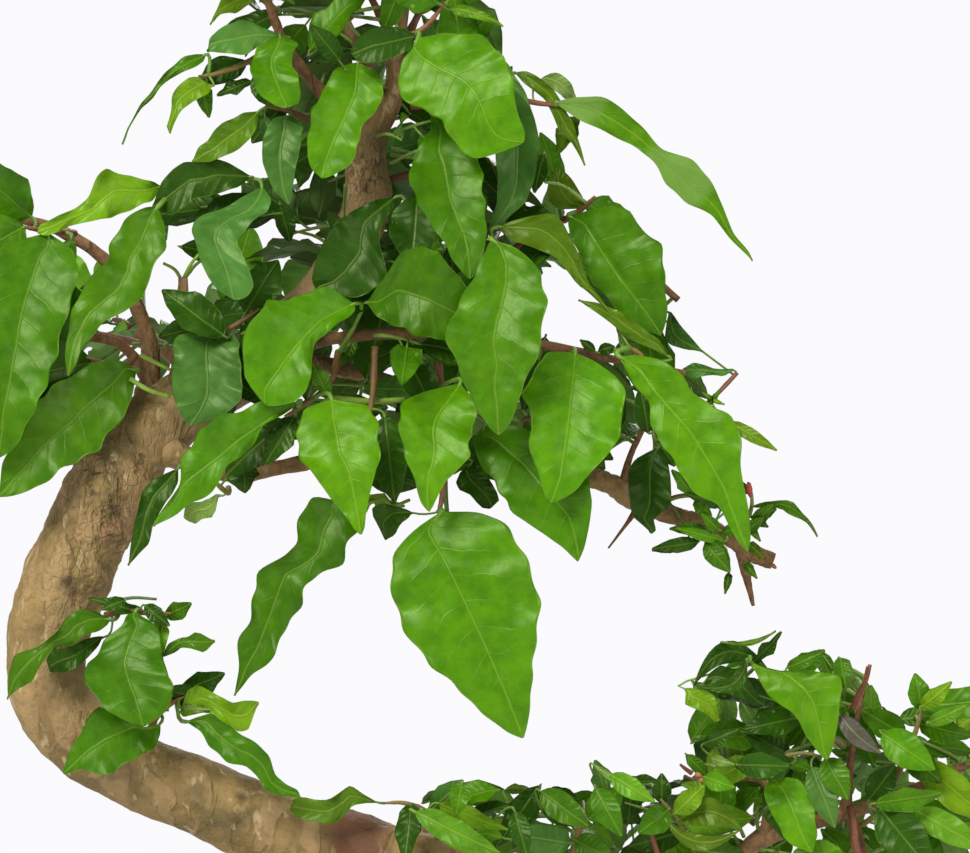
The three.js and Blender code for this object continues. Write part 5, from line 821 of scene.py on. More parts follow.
def edges_at(leaf, u, side):
    """How far the midrib lies off a leaf's chord at u, and how far from it the edge on that side is."""
    if "edge" not in leaf:
        half = 0.5 * leaf["width"] * outline(u)
        frill = np.sin(TURN * leaf["waves"] * 1.6 * u + leaf["phase"] * 1.7 + 2 * side)
        return np.zeros_like(half), half * (1 + leaf["ruffle"] * frill)
    left, right = soft_line(leaf["edge"], u, 1), soft_line(leaf["edge"], u, 2)
    middle = (left + right) / 2
    if "rib" in leaf:
        room = np.minimum(RIB_ROOM, (right - left) / 4)
        middle = np.clip(soft_line(leaf["rib"], u, 1), left + room, right - room)
    count = np.linalg.norm(leaf["tip"] - leaf["base"]) / LOBE_LENGTH
    drift = LOBE_DRIFT * np.sin(TURN * 1.2 * u + 9 * leaf["seed"]) + np.where(side < 0, 0, SIDES_APART)
    lobes = np.sin(TURN * count * u + drift)
    return middle, np.where(side < 0, middle - left, right - middle) * (1 + LOBES * leaf["wave"] * lobes)


# How far the margin frills, and the whole blade heaves, as shares of its width.
FRILL, HEAVE = 0.034, 0.016


def blade_points(leaf, u, side, fold_shape=lambda s: s):
    """The middle surface of a leaf at u from base to tip and at side from -1 to 1."""
    face, cross, normal, across = blade_frame(leaf, u)
    chord = leaf["tip"] - leaf["base"]
    middle, half = edges_at(leaf, u, side)
    ripple = np.sin(TURN * leaf["waves"] * u + leaf["phase"] + side)
    heave = np.sin(TURN * 1.3 * u + 1.7 * side + 3 * leaf["phase"] + 9 * leaf["seed"])
    fold = math.radians(leaf["fold"])
    lift = half * math.sin(fold) * fold_shape(np.abs(side))
    ruffle = np.sin(TURN * (1.7 * leaf["waves"] + 1.4) * u + 2.1 * side + 7 * leaf["seed"])
    frill = FRILL * np.abs(side)**3 * ruffle + HEAVE * heave
    lift = lift + outline(u) * (leaf["wave"] * side**2 * ripple + leaf["width"] * frill)
    arch = (4 * u * (1 - u))[..., None]
    points = (leaf["base"] + chord * u[..., None] + face * leaf["bow"] * arch + cross * leaf["sway"] * arch
              + across * (middle + side * half * math.cos(fold))[..., None] + normal * lift[..., None])
    return points, normal, half


def both_sides(*places):
    """Places across a blade, from one edge to the other."""
    return np.array([*(-p for p in places[::-1]), 0, *places])


SIDES_LARGE = both_sides(0.07, 0.2, 0.4, 0.62, 0.82, 0.95, 1)
SIDES_SMALL = both_sides(0.25, 0.6, 0.92, 1)
SIDES_INNER = both_sides(0.4, 0.85, 1)
LARGE_LENGTH = 22
INNER_ROWS, MOST_ROWS = 9, 60
ROW_STEP, OUTLINED_ROW_STEP = 1.6, 1.05
BLUNT_TIP = 0.996
LEAST_HALF = 0.32
RIB_HEIGHT, RIB_HALF_WIDTH, LEAST_RIB_SCALE = 0.32, 0.55, 0.3
PALE_FADE = 0.03
SEED_SPREAD = 37.0


def add_leaf(build, leaf):
    """One blade with a midrib below, its two faces apart by a sheet's thickness, and its stalk."""
    length = np.linalg.norm(leaf["tip"] - leaf["base"])
    if leaf.get("inner"):
        sides, rows = SIDES_INNER, INNER_ROWS
    else:
        sides = SIDES_LARGE if length > LARGE_LENGTH else SIDES_SMALL
        step = OUTLINED_ROW_STEP if "edge" in leaf else ROW_STEP
        rows = int(np.clip(length / step, INNER_ROWS, MOST_ROWS))
    even = np.linspace(0, 1, rows)
    u = (0.75 * even + 0.25 * 0.5 * (1 - np.cos(math.pi * even)))[:, None] * BLUNT_TIP
    u, side = np.broadcast_arrays(u, sides[None, :])
    middle, normal, half = blade_points(leaf, u, side, lambda s: 1.3 * s - 0.3 * s**2)
    least = np.clip(LEAST_HALF - half, 0, 1) * side
    across = blade_frame(leaf, u)[3]
    middle = middle + across * least[..., None]
    sheet = (HALF_SHEET * (1 - SHEET_THINNED * side**2))[..., None]
    off_rib = side * np.maximum(half, LEAST_RIB_SCALE)
    rib = (RIB_HEIGHT * np.exp(-((off_rib / RIB_HALF_WIDTH) ** 2)) * (1 - 0.75 * u))[..., None]
    upper = middle + normal * (sheet - 0.25 * rib)
    lower = middle - normal * (sheet + rib)
    columns = len(sides)
    count = rows * columns
    points = np.concatenate([upper.reshape(-1, 3), lower.reshape(-1, 3)])
    low = rings_faces(rows, columns, closed=False) + count
    top = low[:, ::-1] - count
    i = np.arange(rows - 1) * columns
    left = np.stack([i, i + columns, i + columns + count, i + count], axis=-1)
    j = i + columns - 1
    right = np.stack([j, j + count, j + columns + count, j + columns], axis=-1)
    k = np.arange(columns - 1)
    first = np.stack([k, k + count, k + 1 + count, k + 1], axis=-1)
    k = k + (rows - 1) * columns
    last = np.stack([k + 1, k + 1 + count, k + count, k], axis=-1)
    turned_up = sum(np.clip((u - a) / PALE_FADE + 1, 0, 1) * np.clip((b - u) / PALE_FADE + 1, 0, 1)
                    for a, b in leaf.get("pale", [(2, 1)]))
    blade = np.stack([u, side, turned_up], axis=-1).reshape(-1, 3)
    under = blade.copy()
    under[:, 2] = 1 - under[:, 2]
    own = np.full_like(u, 1 + leaf["seed"] * SEED_SPREAD)
    fine = np.stack([u * length, off_rib, own], axis=-1).reshape(-1, 3)
    build.add(points, np.concatenate([top, low, left, right, first, last]), [], LEAF, leaf["tint"],
              np.concatenate([blade, under]), np.concatenate([fine, fine * np.array([1, 1, -1])]))
    add_stalk(build, leaf, length)


def add_stalk(build, leaf, length):
    """The leaf's stalk bends out of its stem and runs on as the start of the midrib."""
    start, end = leaf["root"], leaf["base"]
    ahead = blade_points(leaf, np.array([0.03]), np.zeros(1))[0][0]
    into = unit(ahead - end)
    reach = np.linalg.norm(end - start)
    thin = np.clip(length / 60, 0.35, 0.85)
    bend = end - into * reach * 0.45
    steps = 5 if reach > 1.5 else 3
    centres = bent(start, bend, end, steps) + [ahead]
    radii = [thin * 1.15] + [thin] * (steps - 2) + [thin * 0.9, thin * 0.3]
    tube(build, centres, radii, 6, TWIG, lerp(STALK_GREEN, leaf["tint"], 0.4))


def shoot_tint(radius):
    """Green where a shoot is thin, reddish bark where it is thick."""
    return lerp(STALK_GREEN * 0.9, YOUNG_BARK, np.clip((radius - 0.7) / 0.7, 0, 1))


def radii_along(stations, share):
    return np.interp(share, np.linspace(0, 1, len(stations)), [s[3] for s in stations])


STEM_STEPS, STEM_SIDES = 6, 8
# Stems are this much of the CAD's radius, and the knuckles between their stations stand out so much.
STEM_SLIMMED, KNUCKLE = 0.82, 0.18


def add_stem(build, stations):
    """A shoot's green or reddish stem, with a small joint where leaf pairs stand."""
    curve = curve_of(stations)
    steps = STEM_STEPS * (len(stations) - 1)
    radii = radii_along(stations, np.linspace(0, 1, steps + 1))
    centres = [curve.at(i / steps) for i in range(steps + 1)]
    knuckle = 1 + KNUCKLE * (np.arange(steps + 1) % STEM_STEPS == STEM_STEPS // 2)
    tube(build, centres, radii * STEM_SLIMMED * knuckle, STEM_SIDES, TWIG, shoot_tint(stations[0][3]))


# A leaf that would have touched another in the CAD slid back or swung there by the first of these that is
# clear. Its tip among the node's corners, nearer than NEAR, tells which.
SLIDES = [0, -3, 3, -6, 6, -9, 9, -12, 12, -16, 16, -20, 20]
SWINGS = [0, 5, -5, 10, -10, 15, -15]
NEAR = 0.03
PLACES_A_STEP = 5


def nearest_on(points, target):
    """The place on the line through points that lies nearest to target."""
    places = [lerp(a, b, (k + 0.5) / PLACES_A_STEP)
              for a, b in zip(points, points[1:]) for k in range(PLACES_A_STEP)]
    return min(places, key=lambda p: np.linalg.norm(p - target))


def corners_of(node):
    """The corners of a CAD node, in millimetres."""
    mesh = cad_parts[node].data
    out = np.zeros(len(mesh.vertices) * 3, np.float32)
    mesh.vertices.foreach_get("co", out)
    return out.reshape(-1, 3) / MM


def built(tips, corners):
    """Which of a leaf's forms the CAD node holds, or None."""
    for i, tip in enumerate(tips):
        if np.min(np.linalg.norm(corners - tip, axis=1)) < NEAR:
            return i
    return None


def tinted(tone, draw):
    """A tone with a little of its own in each leaf."""
    light = 0.86 + 0.28 * draw()
    warm = 1 + 0.16 * (draw() - 0.5)
    return np.array(TONES[tone]) * light * np.array([warm, 1, 1])


def front_leaf(row, stem_points, slide, draw):
    """A leaf from a row: base x, z, y and tip x, z, y on the front view, width, tone and its own form."""
    bx, bz, by, tx, tz, ty, width, tone, more = row
    base, tip = seen(bx, bz, by + slide), seen(tx, tz, ty + slide)
    return {**FLAT, **more, "base": base, "tip": tip, "width": width, "face": np.array([0.0, -1, 0]),
            "root": nearest_on(stem_points, base), "tint": tinted(tone, draw), "seed": draw()}


def limb_stations(name):
    """Where a limb runs, [x, y, z, radius]."""
    if name == "trunk":
        return TRUNK
    return [(*seen(x, z, y), radius) for x, z, y, radius in LIMBS[name]]


STEM_RADIUS, STEM_THINNED = 1.5, 0.45
DROOP = 0.12
STEEPEST = 0.04


def shoot_stations(shoot):
    """A straight shoot that leaves its limb clear of the bark and droops a little."""
    limb, place, compass, rise, length = shoot[:5]
    stations = limb_stations(limb)
    curve = curve_of(stations)
    at = place * (len(stations) - 1)
    left = min(int(at), len(stations) - 2)
    radius = lerp(stations[left][3], stations[left + 1][3], at - left)
    along = curve.tangent(place)
    c, r = math.radians(compass), math.radians(rise)
    out = unit(np.array([math.cos(c), math.sin(c), math.tan(r)]))
    clear = math.sqrt(max(1 - np.dot(out, along) ** 2, STEEPEST))
    start = curve.at(place) + out * ((radius * 1.08 + 1) / clear + 0.6)
    droop = length * DROOP
    return [(*(start + out * length * t - np.array([0, 0, droop * t * t])),
             STEM_RADIUS * (1 - STEM_THINNED * t)) for t in (0, 0.35, 0.7, 1)]


PAIR_SPREAD, SPREAD_DRAWN = 58, 14
FIRST_PAIR, PAIRS_REACH = 0.3, 0.66
STALK_LENGTH = 4


def own_form(length, draw, tilt, twist, bow, fold):
    """A leaf's own roll, twist, bow, fold and waves, each drawn within its range."""
    return dict(roll=tilt * (draw() - 0.5), twist=twist * (draw() - 0.5), bow=length * (bow + 0.06 * draw()),
                fold=8 + fold * draw(), wave=length * 0.04, waves=1.5 + draw(), phase=6.28 * draw())


def shoot_leaves(shoot, seed, stations):
    """Crossed pairs of leaves along a shoot."""
    pairs, size = shoot[5:]
    draw = random_from(seed)
    curve = curve_of(stations)
    leaves = []
    for pair in range(pairs):
        t = FIRST_PAIR + PAIRS_REACH * pair / max(pairs - 1, 1)
        root, along = curve.at(t), curve.tangent(t)
        level = unit(np.cross(UP, along))
        for hand in (0, 1):
            turn = math.pi * (hand + 0.5 * (pair % 2) + 0.2 * (draw() - 0.5))
            sideways = turned(level, along, turn)
            spread = math.radians(PAIR_SPREAD + SPREAD_DRAWN * (draw() - 0.5) - SPREAD_DRAWN * t)
            out = along * math.cos(spread) + sideways * math.sin(spread)
            out[2] -= 0.25
            out = unit(out)
            length = size * (0.8 + 0.4 * draw()) * (1 - 0.25 * t)
            base = root + out * STALK_LENGTH
            leaves.append({**FLAT, "root": root, "base": base, "tip": base + out * length,
                           "face": UP + 0.7 * along, "width": length * (0.46 + 0.12 * draw()),
                           **own_form(length, draw, 40, 20, 0.04, 12)})
    return leaves


def swung(leaf, swing):
    """The leaf with its tip swung towards its face."""
    along = unit(leaf["tip"] - leaf["base"])
    face = unit(leaf["face"] - along * np.dot(leaf["face"], along))
    return {**leaf, "tip": leaf["tip"] + face * swing}


# Materials
class Graph:
    """A material's nodes, made and joined by short calls."""

    def __init__(self, name):
        self.material = bpy.data.materials.new(name)
        self.material.use_nodes = True
        self.tree = self.material.node_tree
        self.shader = self.tree.nodes["Principled BSDF"]
        self.output = self.tree.nodes["Material Output"]

    def node(self, kind, inputs=(), **settings):
        made = self.tree.nodes.new(kind)
        for key, value in settings.items():
            setattr(made, key, value)
        for key, value in dict(inputs).items():
            self.feed(made.inputs[key], value)
        return made

    def feed(self, socket, value):
        if isinstance(value, bpy.types.NodeSocket):
            self.tree.links.new(value, socket)
        else:
            socket.default_value = value

    def attribute(self, name):
        return self.node("ShaderNodeAttribute", attribute_name=name).outputs["Vector"]

    def split(self, vector):
        return self.node("ShaderNodeSeparateXYZ", {0: vector}).outputs

    def math(self, operation, a, b=0.0, c=0.0):
        return self.node("ShaderNodeMath", {0: a, 1: b, 2: c}, operation=operation).outputs[0]

    def ranged(self, value, low, high, to_low=0.0, to_high=1.0):
        made = self.node("ShaderNodeMapRange", {0: value, 1: low, 2: high, 3: to_low, 4: to_high},
                         interpolation_type="SMOOTHSTEP")
        return made.outputs[0]

    def mix(self, share, a, b, blend="MIX"):
        made = self.node("ShaderNodeMix", data_type="RGBA", blend_type=blend)
        self.feed(made.inputs[0], share)
        self.feed(made.inputs[6], a)
        self.feed(made.inputs[7], b)
        return made.outputs[2]

    def noise(self, vector, scale, detail=4.0, rough=0.55, distortion=0.0):
        made = self.node("ShaderNodeTexNoise", {"Vector": vector, "Scale": scale, "Detail": detail,
                                                "Roughness": rough, "Distortion": distortion})
        return made.outputs["Fac"]

    def cell_edges(self, vector, scale):
        """How far a place is from the nearest edge between scattered cells."""
        made = self.node("ShaderNodeTexVoronoi", {"Vector": vector, "Scale": scale, "Randomness": 1.0},
                         feature="DISTANCE_TO_EDGE")
        return made.outputs["Distance"]

    def place(self):
        return self.node("ShaderNodeTexCoord").outputs["Object"]

    def scaled(self, vector, factors):
        return self.node("ShaderNodeVectorMath", {0: vector, 1: factors}, operation="MULTIPLY").outputs[0]

    def shaded(self, tint, factors):
        """The tint with its red, green and blue multiplied."""
        return self.mix(1.0, tint, rgb(*factors), "MULTIPLY")

    def finish(self, colour, roughness, height, depth):
        """Sets the shader's colour, roughness and bump, and gives the material."""
        self.feed(self.shader.inputs["Base Color"], colour)
        self.feed(self.shader.inputs["Roughness"], roughness)
        bump = self.node("ShaderNodeBump", {"Height": height, "Distance": depth, "Strength": 1.0})
        self.feed(self.shader.inputs["Normal"], bump.outputs["Normal"])
        return self.material


def rgb(r, g, b):
    return (r, g, b, 1.0)


def leaf_material():
    g = Graph("privet_leaf")
    u, side, under = g.split(g.attribute("blade"))
    fine = g.attribute("fine")
    tint = g.attribute("tint")
    edge = g.math("ABSOLUTE", side)
    # Side veins leave the midrib at a slant and curve towards the tip.
    slant = g.math("MULTIPLY_ADD", edge, -1.15, g.math("MULTIPLY", u, 8.5))
    slant = g.math("MULTIPLY_ADD", g.noise(fine, 0.12, 2.0), 0.5, slant)
    wave = g.math("ABSOLUTE", g.math("SUBTRACT", g.math("FRACT", slant), 0.5))
    side_vein = g.ranged(wave, 0.0, 0.055, 1.0, 0.0)
    side_vein = g.math("MULTIPLY", side_vein, g.ranged(edge, 0.55, 0.9, 1.0, 0.0))
    midrib = g.ranged(g.math("ABSOLUTE", g.split(fine)[1]), 0.15, 0.5, 1.0, 0.0)
    net = g.ranged(g.cell_edges(fine, 0.55), 0.0, 0.09, 1.0, 0.0)
    cells = g.noise(fine, 0.9, 3.0)
    patches = g.noise(fine, 0.11, 3.0)
    clouds = g.ranged(g.noise(fine, 0.17, 4.0, 0.6), 0.32, 0.68)

    # The upper face: cloudy green, with paler veins and margin.
    deep = g.mix(clouds, g.shaded(tint, (0.62, 0.72, 0.5)), tint)
    deep = g.mix(g.ranged(patches, 0.45, 0.75, 0.0, 0.5), deep, g.shaded(tint, (1.3, 1.15, 1.0)))
    pale = g.mix(0.3, g.shaded(tint, (1.5, 1.25, 1.5)), rgb(0.34, 0.50, 0.06))
    colour = g.mix(g.math("MULTIPLY", side_vein, 0.10), deep, pale)
    colour = g.mix(g.math("MULTIPLY", net, 0.06), colour, pale)
    colour = g.mix(g.math("MULTIPLY", midrib, 0.55), colour, pale)
    broken = g.ranged(g.noise(fine, 0.15, 2.0), 0.45, 0.6, 0.0, 0.5)
    margin = g.math("MULTIPLY", g.ranged(edge, 0.95, 0.995), broken)
    colour = g.mix(margin, colour, g.mix(0.6, tint, rgb(0.36, 0.52, 0.07)))
    # The underside is paler and more matt.
    back = g.mix(0.5, tint, rgb(0.22, 0.36, 0.09))
    back = g.mix(g.math("MULTIPLY", side_vein, 0.25), back, rgb(0.30, 0.44, 0.14))
    colour = g.mix(under, colour, back)

    relief = g.math("MULTIPLY_ADD", side_vein, -0.12, g.math("MULTIPLY", midrib, -0.5))
    relief = g.math("MULTIPLY_ADD", cells, 0.06, relief)
    relief = g.math("MULTIPLY_ADD", g.noise(fine, 0.10, 1.0), 4.2, relief)
    quilt = g.math("MULTIPLY", g.ranged(wave, 0.0, 0.4), g.ranged(edge, 0.1, 0.5))
    relief = g.math("MULTIPLY_ADD", quilt, 0.22, relief)
    # What stands out on one face is sunk in the other.
    relief = g.math("MULTIPLY", relief, g.math("SIGN", g.split(fine)[2]))
    gloss = g.math("MULTIPLY_ADD", under, 0.2, g.ranged(cells, 0.3, 0.7, 0.30, 0.40))
    g.shader.inputs["Specular IOR Level"].default_value = 0.36
    g.shader.inputs["Specular Tint"].default_value = rgb(0.85, 1.0, 0.50)
    through = g.node("ShaderNodeBsdfTranslucent", {"Color": g.shaded(colour, (1.7, 1.4, 0.6))})
    both = g.node("ShaderNodeMixShader", {0: 0.22, 1: g.shader.outputs[0], 2: through.outputs[0]})
    g.feed(g.output.inputs["Surface"], both.outputs[0])
    return g.finish(colour, gloss, relief, 0.00042)


def twig_material():
    g = Graph("privet_twig")
    place = g.place()
    tint = g.attribute("tint")
    spots = g.ranged(g.noise(place, 1400.0, 3.0), 0.52, 0.66)
    colour = g.mix(g.math("MULTIPLY", spots, 0.3), tint, rgb(0.30, 0.24, 0.12))
    darker = g.ranged(g.noise(place, 260.0, 3.0), 0.4, 0.7, 0.0, 0.5)
    colour = g.mix(darker, colour, g.shaded(tint, (0.55, 0.5, 0.45)))
    return g.finish(colour, 0.5, g.noise(place, 900.0, 4.0), 0.0002)


def bark_material():
    g = Graph("privet_bark")
    place = g.place()
    rough, red, young = g.split(g.attribute("blade"))
    crack, cut, _ = g.split(g.attribute("tint"))
    stretched = g.scaled(place, (1.0, 1.0, 0.45))
    broad = g.noise(place, 42.0, 4.0, 0.6)
    plates = g.noise(stretched, 105.0, 3.0, 0.5, 0.6)
    grain = g.noise(place, 420.0, 5.0, 0.6)
    colour = g.mix(g.ranged(broad, 0.38, 0.64), rgb(0.195, 0.130, 0.036), rgb(0.365, 0.240, 0.080))
    colour = g.mix(g.ranged(plates, 0.50, 0.56, 0.0, 0.55), colour, rgb(0.46, 0.295, 0.125))
    pinkish = g.math("MULTIPLY", g.ranged(g.noise(place, 75.0, 3.0), 0.56, 0.66, 0.0, 0.6), rough)
    colour = g.mix(pinkish, colour, rgb(0.43, 0.235, 0.115))
    olive = g.ranged(g.noise(place, 55.0, 3.0), 0.54, 0.70, 0.0, 0.75)
    colour = g.mix(olive, colour, rgb(0.120, 0.092, 0.026))
    flecks = g.ranged(g.noise(stretched, 300.0, 3.0), 0.60, 0.68, 0.0, 0.55)
    colour = g.mix(flecks, colour, rgb(0.64, 0.50, 0.27))
    colour = g.mix(g.ranged(grain, 0.30, 0.52, 0.40, 0.0), colour, rgb(0.13, 0.080, 0.028))
    # The red scar, the young twigs' bark, the cracks and the sawn wood.
    colour = g.mix(g.math("MULTIPLY", red, 0.85), colour, rgb(0.11, 0.032, 0.012))
    twiggy = g.mix(g.ranged(grain, 0.3, 0.7), rgb(0.10, 0.035, 0.012), rgb(0.27, 0.115, 0.040))
    colour = g.mix(young, colour, twiggy)
    colour = g.mix(g.ranged(crack, 0.15, 0.9, 0.0, 0.75), colour, rgb(0.070, 0.040, 0.014))
    rings = g.math("SINE", g.math("MULTIPLY", g.split(g.attribute("fine"))[0], 9.0))
    wood = g.mix(g.ranged(rings, -1.0, 1.0), rgb(0.50, 0.33, 0.16), rgb(0.33, 0.20, 0.09))
    colour = g.mix(cut, colour, wood)
    plate_height = g.math("MULTIPLY_ADD", rough, 0.55, 0.4)
    height = g.math("MULTIPLY", g.ranged(plates, 0.46, 0.56), plate_height)
    height = g.math("MULTIPLY_ADD", grain, 0.8, height)
    scales = g.ranged(g.cell_edges(g.scaled(place, (1.0, 1.0, 0.6)), 420.0), 0.0, 0.12)
    height = g.math("MULTIPLY_ADD", scales, g.math("MULTIPLY", rough, 0.3), height)
    return g.finish(colour, g.ranged(grain, 0.3, 0.7, 0.62, 0.86), height, 0.0011)


def pot_material():
    g = Graph("stoneware")
    place = g.place()
    speck = g.noise(place, 900.0, 3.0)
    broad = g.ranged(g.noise(place, 14.0, 4.0), 0.35, 0.65)
    colour = g.mix(broad, rgb(0.085, 0.040, 0.025), rgb(0.145, 0.072, 0.044))
    colour = g.mix(g.ranged(speck, 0.60, 0.70, 0.0, 0.8), colour, rgb(0.035, 0.018, 0.012))
    grit = g.ranged(g.noise(place, 1300.0, 2.0), 0.66, 0.75, 0.0, 0.7)
    colour = g.mix(grit, colour, rgb(0.32, 0.21, 0.13))
    worn = g.ranged(g.node("ShaderNodeNewGeometry").outputs["Pointiness"], 0.52, 0.6, 0.0, 0.45)
    colour = g.mix(worn, colour, rgb(0.25, 0.14, 0.09))
    height = g.math("MULTIPLY_ADD", g.noise(place, 180.0, 4.0), 1.0, g.math("MULTIPLY", speck, 0.3))
    return g.finish(colour, g.ranged(speck, 0.3, 0.7, 0.5, 0.68), height, 0.0007)


def soil_material():
    g = Graph("soil")
    tint = g.attribute("tint")
    grain = g.noise(g.place(), 1600.0, 4.0, 0.7)
    colour = g.mix(g.ranged(grain, 0.3, 0.7, 0.6, 0.0), tint, g.shaded(tint, (0.35, 0.32, 0.3)))
    return g.finish(colour, 0.95, grain, 0.0006)


def moss_material():
    g = Graph("moss")
    place = g.place()
    tint = g.attribute("tint")
    tufts = g.ranged(g.noise(place, 500.0, 3.0), 0.35, 0.65)
    colour = g.mix(tufts, g.shaded(tint, (0.45, 0.5, 0.4)), tint)
    g.shader.inputs["Sheen Weight"].default_value = 0.2
    return g.finish(colour, 0.9, g.noise(place, 2200.0, 3.0), 0.0006)


def screen_material():
    g = Graph("screen_plastic")
    grain = g.noise(g.place(), 600.0)
    colour = g.mix(grain, rgb(0.012, 0.013, 0.012), rgb(0.035, 0.035, 0.033))
    g.feed(g.shader.inputs["Base Color"], colour)
    g.shader.inputs["Roughness"].default_value = 0.55
    return g.material


LEAVES = leaf_material()
TWIGS = twig_material()
BARK = bark_material()

# The points of the pieces made so far, of all and of the leafy ones.
built_points, leaf_points = [], []


def leafy_piece(build, name, node):
    """Makes the piece that takes a CAD shoot's place."""
    points = np.concatenate(build.points)
    built_points.append(points)
    leaf_points.append(points)
    build.piece(name + "_leaves", [LEAVES, TWIGS], "leaf", [node])


# Leafy shoots of the front view, one piece for each in the CAD.
for name, (stem_rows, leaf_rows) in SPRAYS.items():
    node = "shoot_" + name
    draw = random_from(1000 + len(name) * 7 + len(leaf_rows))
    stations = [(*seen(x, z, y), radius) for x, z, y, radius in stem_rows]
    stem_points = [np.array(s[:3]) for s in stations]
    corners = corners_of(node)
    build = Build()
    add_stem(build, stations)
    for row in leaf_rows:
        leaves = [front_leaf(row, stem_points, slide, lambda: 0.5) for slide in SLIDES]
        form = built([leaf["tip"] for leaf in leaves], corners)
        if form is not None:
            add_leaf(build, front_leaf(row, stem_points, SLIDES[form], draw))
    leafy_piece(build, name, node)

# Leafy shoots that the CAD places by rule. Each letter of the tones is as likely as the next.
RULE_TONES = "mmbdmdbml"
for number, shoot in enumerate(SHOOTS, 1):
    node = f"shoot_{shoot[0]}_{number}"
    stations = shoot_stations(shoot)
    corners = corners_of(node)
    draw = random_from(5000 + number)
    build = Build()
    add_stem(build, stations)
    for leaf in shoot_leaves(shoot, number, stations):
        forms = [swung(leaf, swing) for swing in SWINGS]
        form = built([f["tip"] for f in forms], corners)
        tone = RULE_TONES[int(draw() * len(RULE_TONES))]
        tint, seed = tinted(tone, draw), draw()
        if form is not None:
            add_leaf(build, {**forms[form], "tint": tint, "seed": seed})
    leafy_piece(build, f"{shoot[0]}_{number}", node)

# Trunk and limbs
SOIL_LEVEL = 60
ROOT_REACH = 26
TRUNK_SIDES = 72
TRUNK_ROWS = 560


def swell(angle, length, centre):
    """The trunk's slow ridges, and its roots near the soil, as factors of the radius."""
    ridges = 0.03 * np.sin(3 * angle + 0.03 * length) + 0.02 * np.sin(5 * angle - 0.045 * length)
    low = np.clip(1 - (centre[2] - SOIL_LEVEL + 4) / ROOT_REACH, 0, 1)
    return 1 + ridges + 0.22 * low * low * (1 + np.cos(5 * angle + 0.6))


def bark_zone(x, z):
    """How flaky and how red the trunk is at a place of the front view."""
    flaky = math.exp(-(((x + 115) / 22) ** 2 + ((z - 275) / 30) ** 2))
    flaky = max(flaky, math.exp(-(((x + 36) / 12) ** 2 + ((z - 380) / 14) ** 2)))
    red = max(0.0, 1 - abs(x + 38) / 13) if z < 192 and x < -20 else 0.0
    return 0.2 + 0.8 * flaky, min(1.0, 1.6 * red)


# Knots and pits of the bark: x, y, z, reach and height.
KNOTS = [
    (-72.5, -10, 193, 2.6, -1.2), (-74, -11, 189, 3.0, 1.2), (-74, -10, 185, 2.4, -1.1),
    (-124, -12, 257, 3.5, -1.0), (-122, -12, 253, 3.0, -1.0), (-120, -12, 250, 2.6, -0.8),
    (-130, -11, 236, 5.0, 0.8), (-108, -11, 203, 6.0, 0.7), (-132, -9, 262, 5.0, 0.8),
    (-113, -11, 281, 4.5, 0.9), (20, -12, 152, 5.0, 1.0), (62, -14, 122, 5.5, 1.1), (-95, 8, 296, 6, 1.0),
    (-134, 6, 228, 5.5, 0.9), (0, 11, 163, 4.5, 1.0), (40, 12, 92, 6, 1.2), (70, 10, 108, 4, -0.9),
]


def bark_relief(point, flaky):
    """How far the bark stands out at a point, and how deep its cracks are there."""
    p = Vector(point)
    lump = 0.95 * noise.noise(p / 12) + 0.45 * noise.noise(p / 4.6)
    fine = 0.16 * noise.noise(p / 1.4)
    plates = Vector((point[0] / 4.2, point[1] / 4.2, point[2] / 8.5))
    warp = Vector([noise.noise(p / 3.5 + Vector((k, k, k))) for k in (11.3, 23.7, 37.1)])
    distances = noise.voronoi(plates + Vector((3, 1, 7)) + 0.55 * warp)[0]
    seam = distances[1] - distances[0]
    gaping = max(0.0, min(1.0, 0.5 + 1.6 * noise.noise(p / 9 + Vector((4, 4, 4)))))
    crack = max(0.0, 1 - seam / 0.2) * max(0.0, 1.3 * flaky - 0.3) * gaping
    furrow = abs(noise.noise(Vector((point[0] / 5, point[1] / 5, point[2] / 16 + 9))))
    furrow = max(0.0, 1 - furrow / 0.05) * 0.5
    step = 0.5 * flaky * math.floor(2.5 * (0.5 + noise.noise(p / 6.5 + Vector((9, 9, 9)))))
    height = lump + fine + step - 0.55 * crack - 0.3 * furrow
    for x, y, z, reach, tall in KNOTS:
        away = ((point[0] - x) ** 2 + (point[1] - y) ** 2 + (point[2] - z) ** 2) / reach**2
        if away < 6:
            height += tall * math.exp(-away)
            if tall < 0:
                crack = max(crack, 0.9 * math.exp(-away * 1.6))
    return height, max(crack, 0.7 * furrow)


# How thick the wood is where its relief is full, and where its bark starts to look young.
FULL_RELIEF, YOUNG_UNDER = 9, 5


def add_trunk(build):
    """The trunk, with its relief; the crack's depth goes in its tint, and its zones in blade."""
    curve = curve_of(TRUNK)
    share = np.linspace(0, 1, TRUNK_ROWS + 1)
    centres = np.array([curve.at(t) for t in share])
    radii = radii_along(TRUNK, share)
    points = tube(build, centres, radii, TRUNK_SIDES, 0, PLAIN, swell)
    middles = np.concatenate([np.repeat(centres, TRUNK_SIDES, axis=0), centres[:1], centres[-1:]])
    reach = np.concatenate([np.repeat(radii, TRUNK_SIDES), [1, 1]])
    moved = points.copy()
    tint, zones = np.zeros((len(points), 3)), np.zeros((len(points), 3))
    for i, (point, middle) in enumerate(zip(points, middles)):
        out = point - middle
        size = np.linalg.norm(out)
        flaky, red = bark_zone(point[0], point[2])
        height, crack = bark_relief(point, flaky)
        slim = min(1.0, reach[i] / FULL_RELIEF)
        if size > 1e-6:
            moved[i] = point + out / size * height * slim
        tint[i, 0] = crack
        zones[i] = (flaky, red, max(0.0, 1 - reach[i] / YOUNG_UNDER))
    build.points[-1] = moved
    build.tint[-1], build.blade[-1], build.fine[-1] = tint, zones, moved


LIMB_STEPS = 8
THICK_LIMB = 2


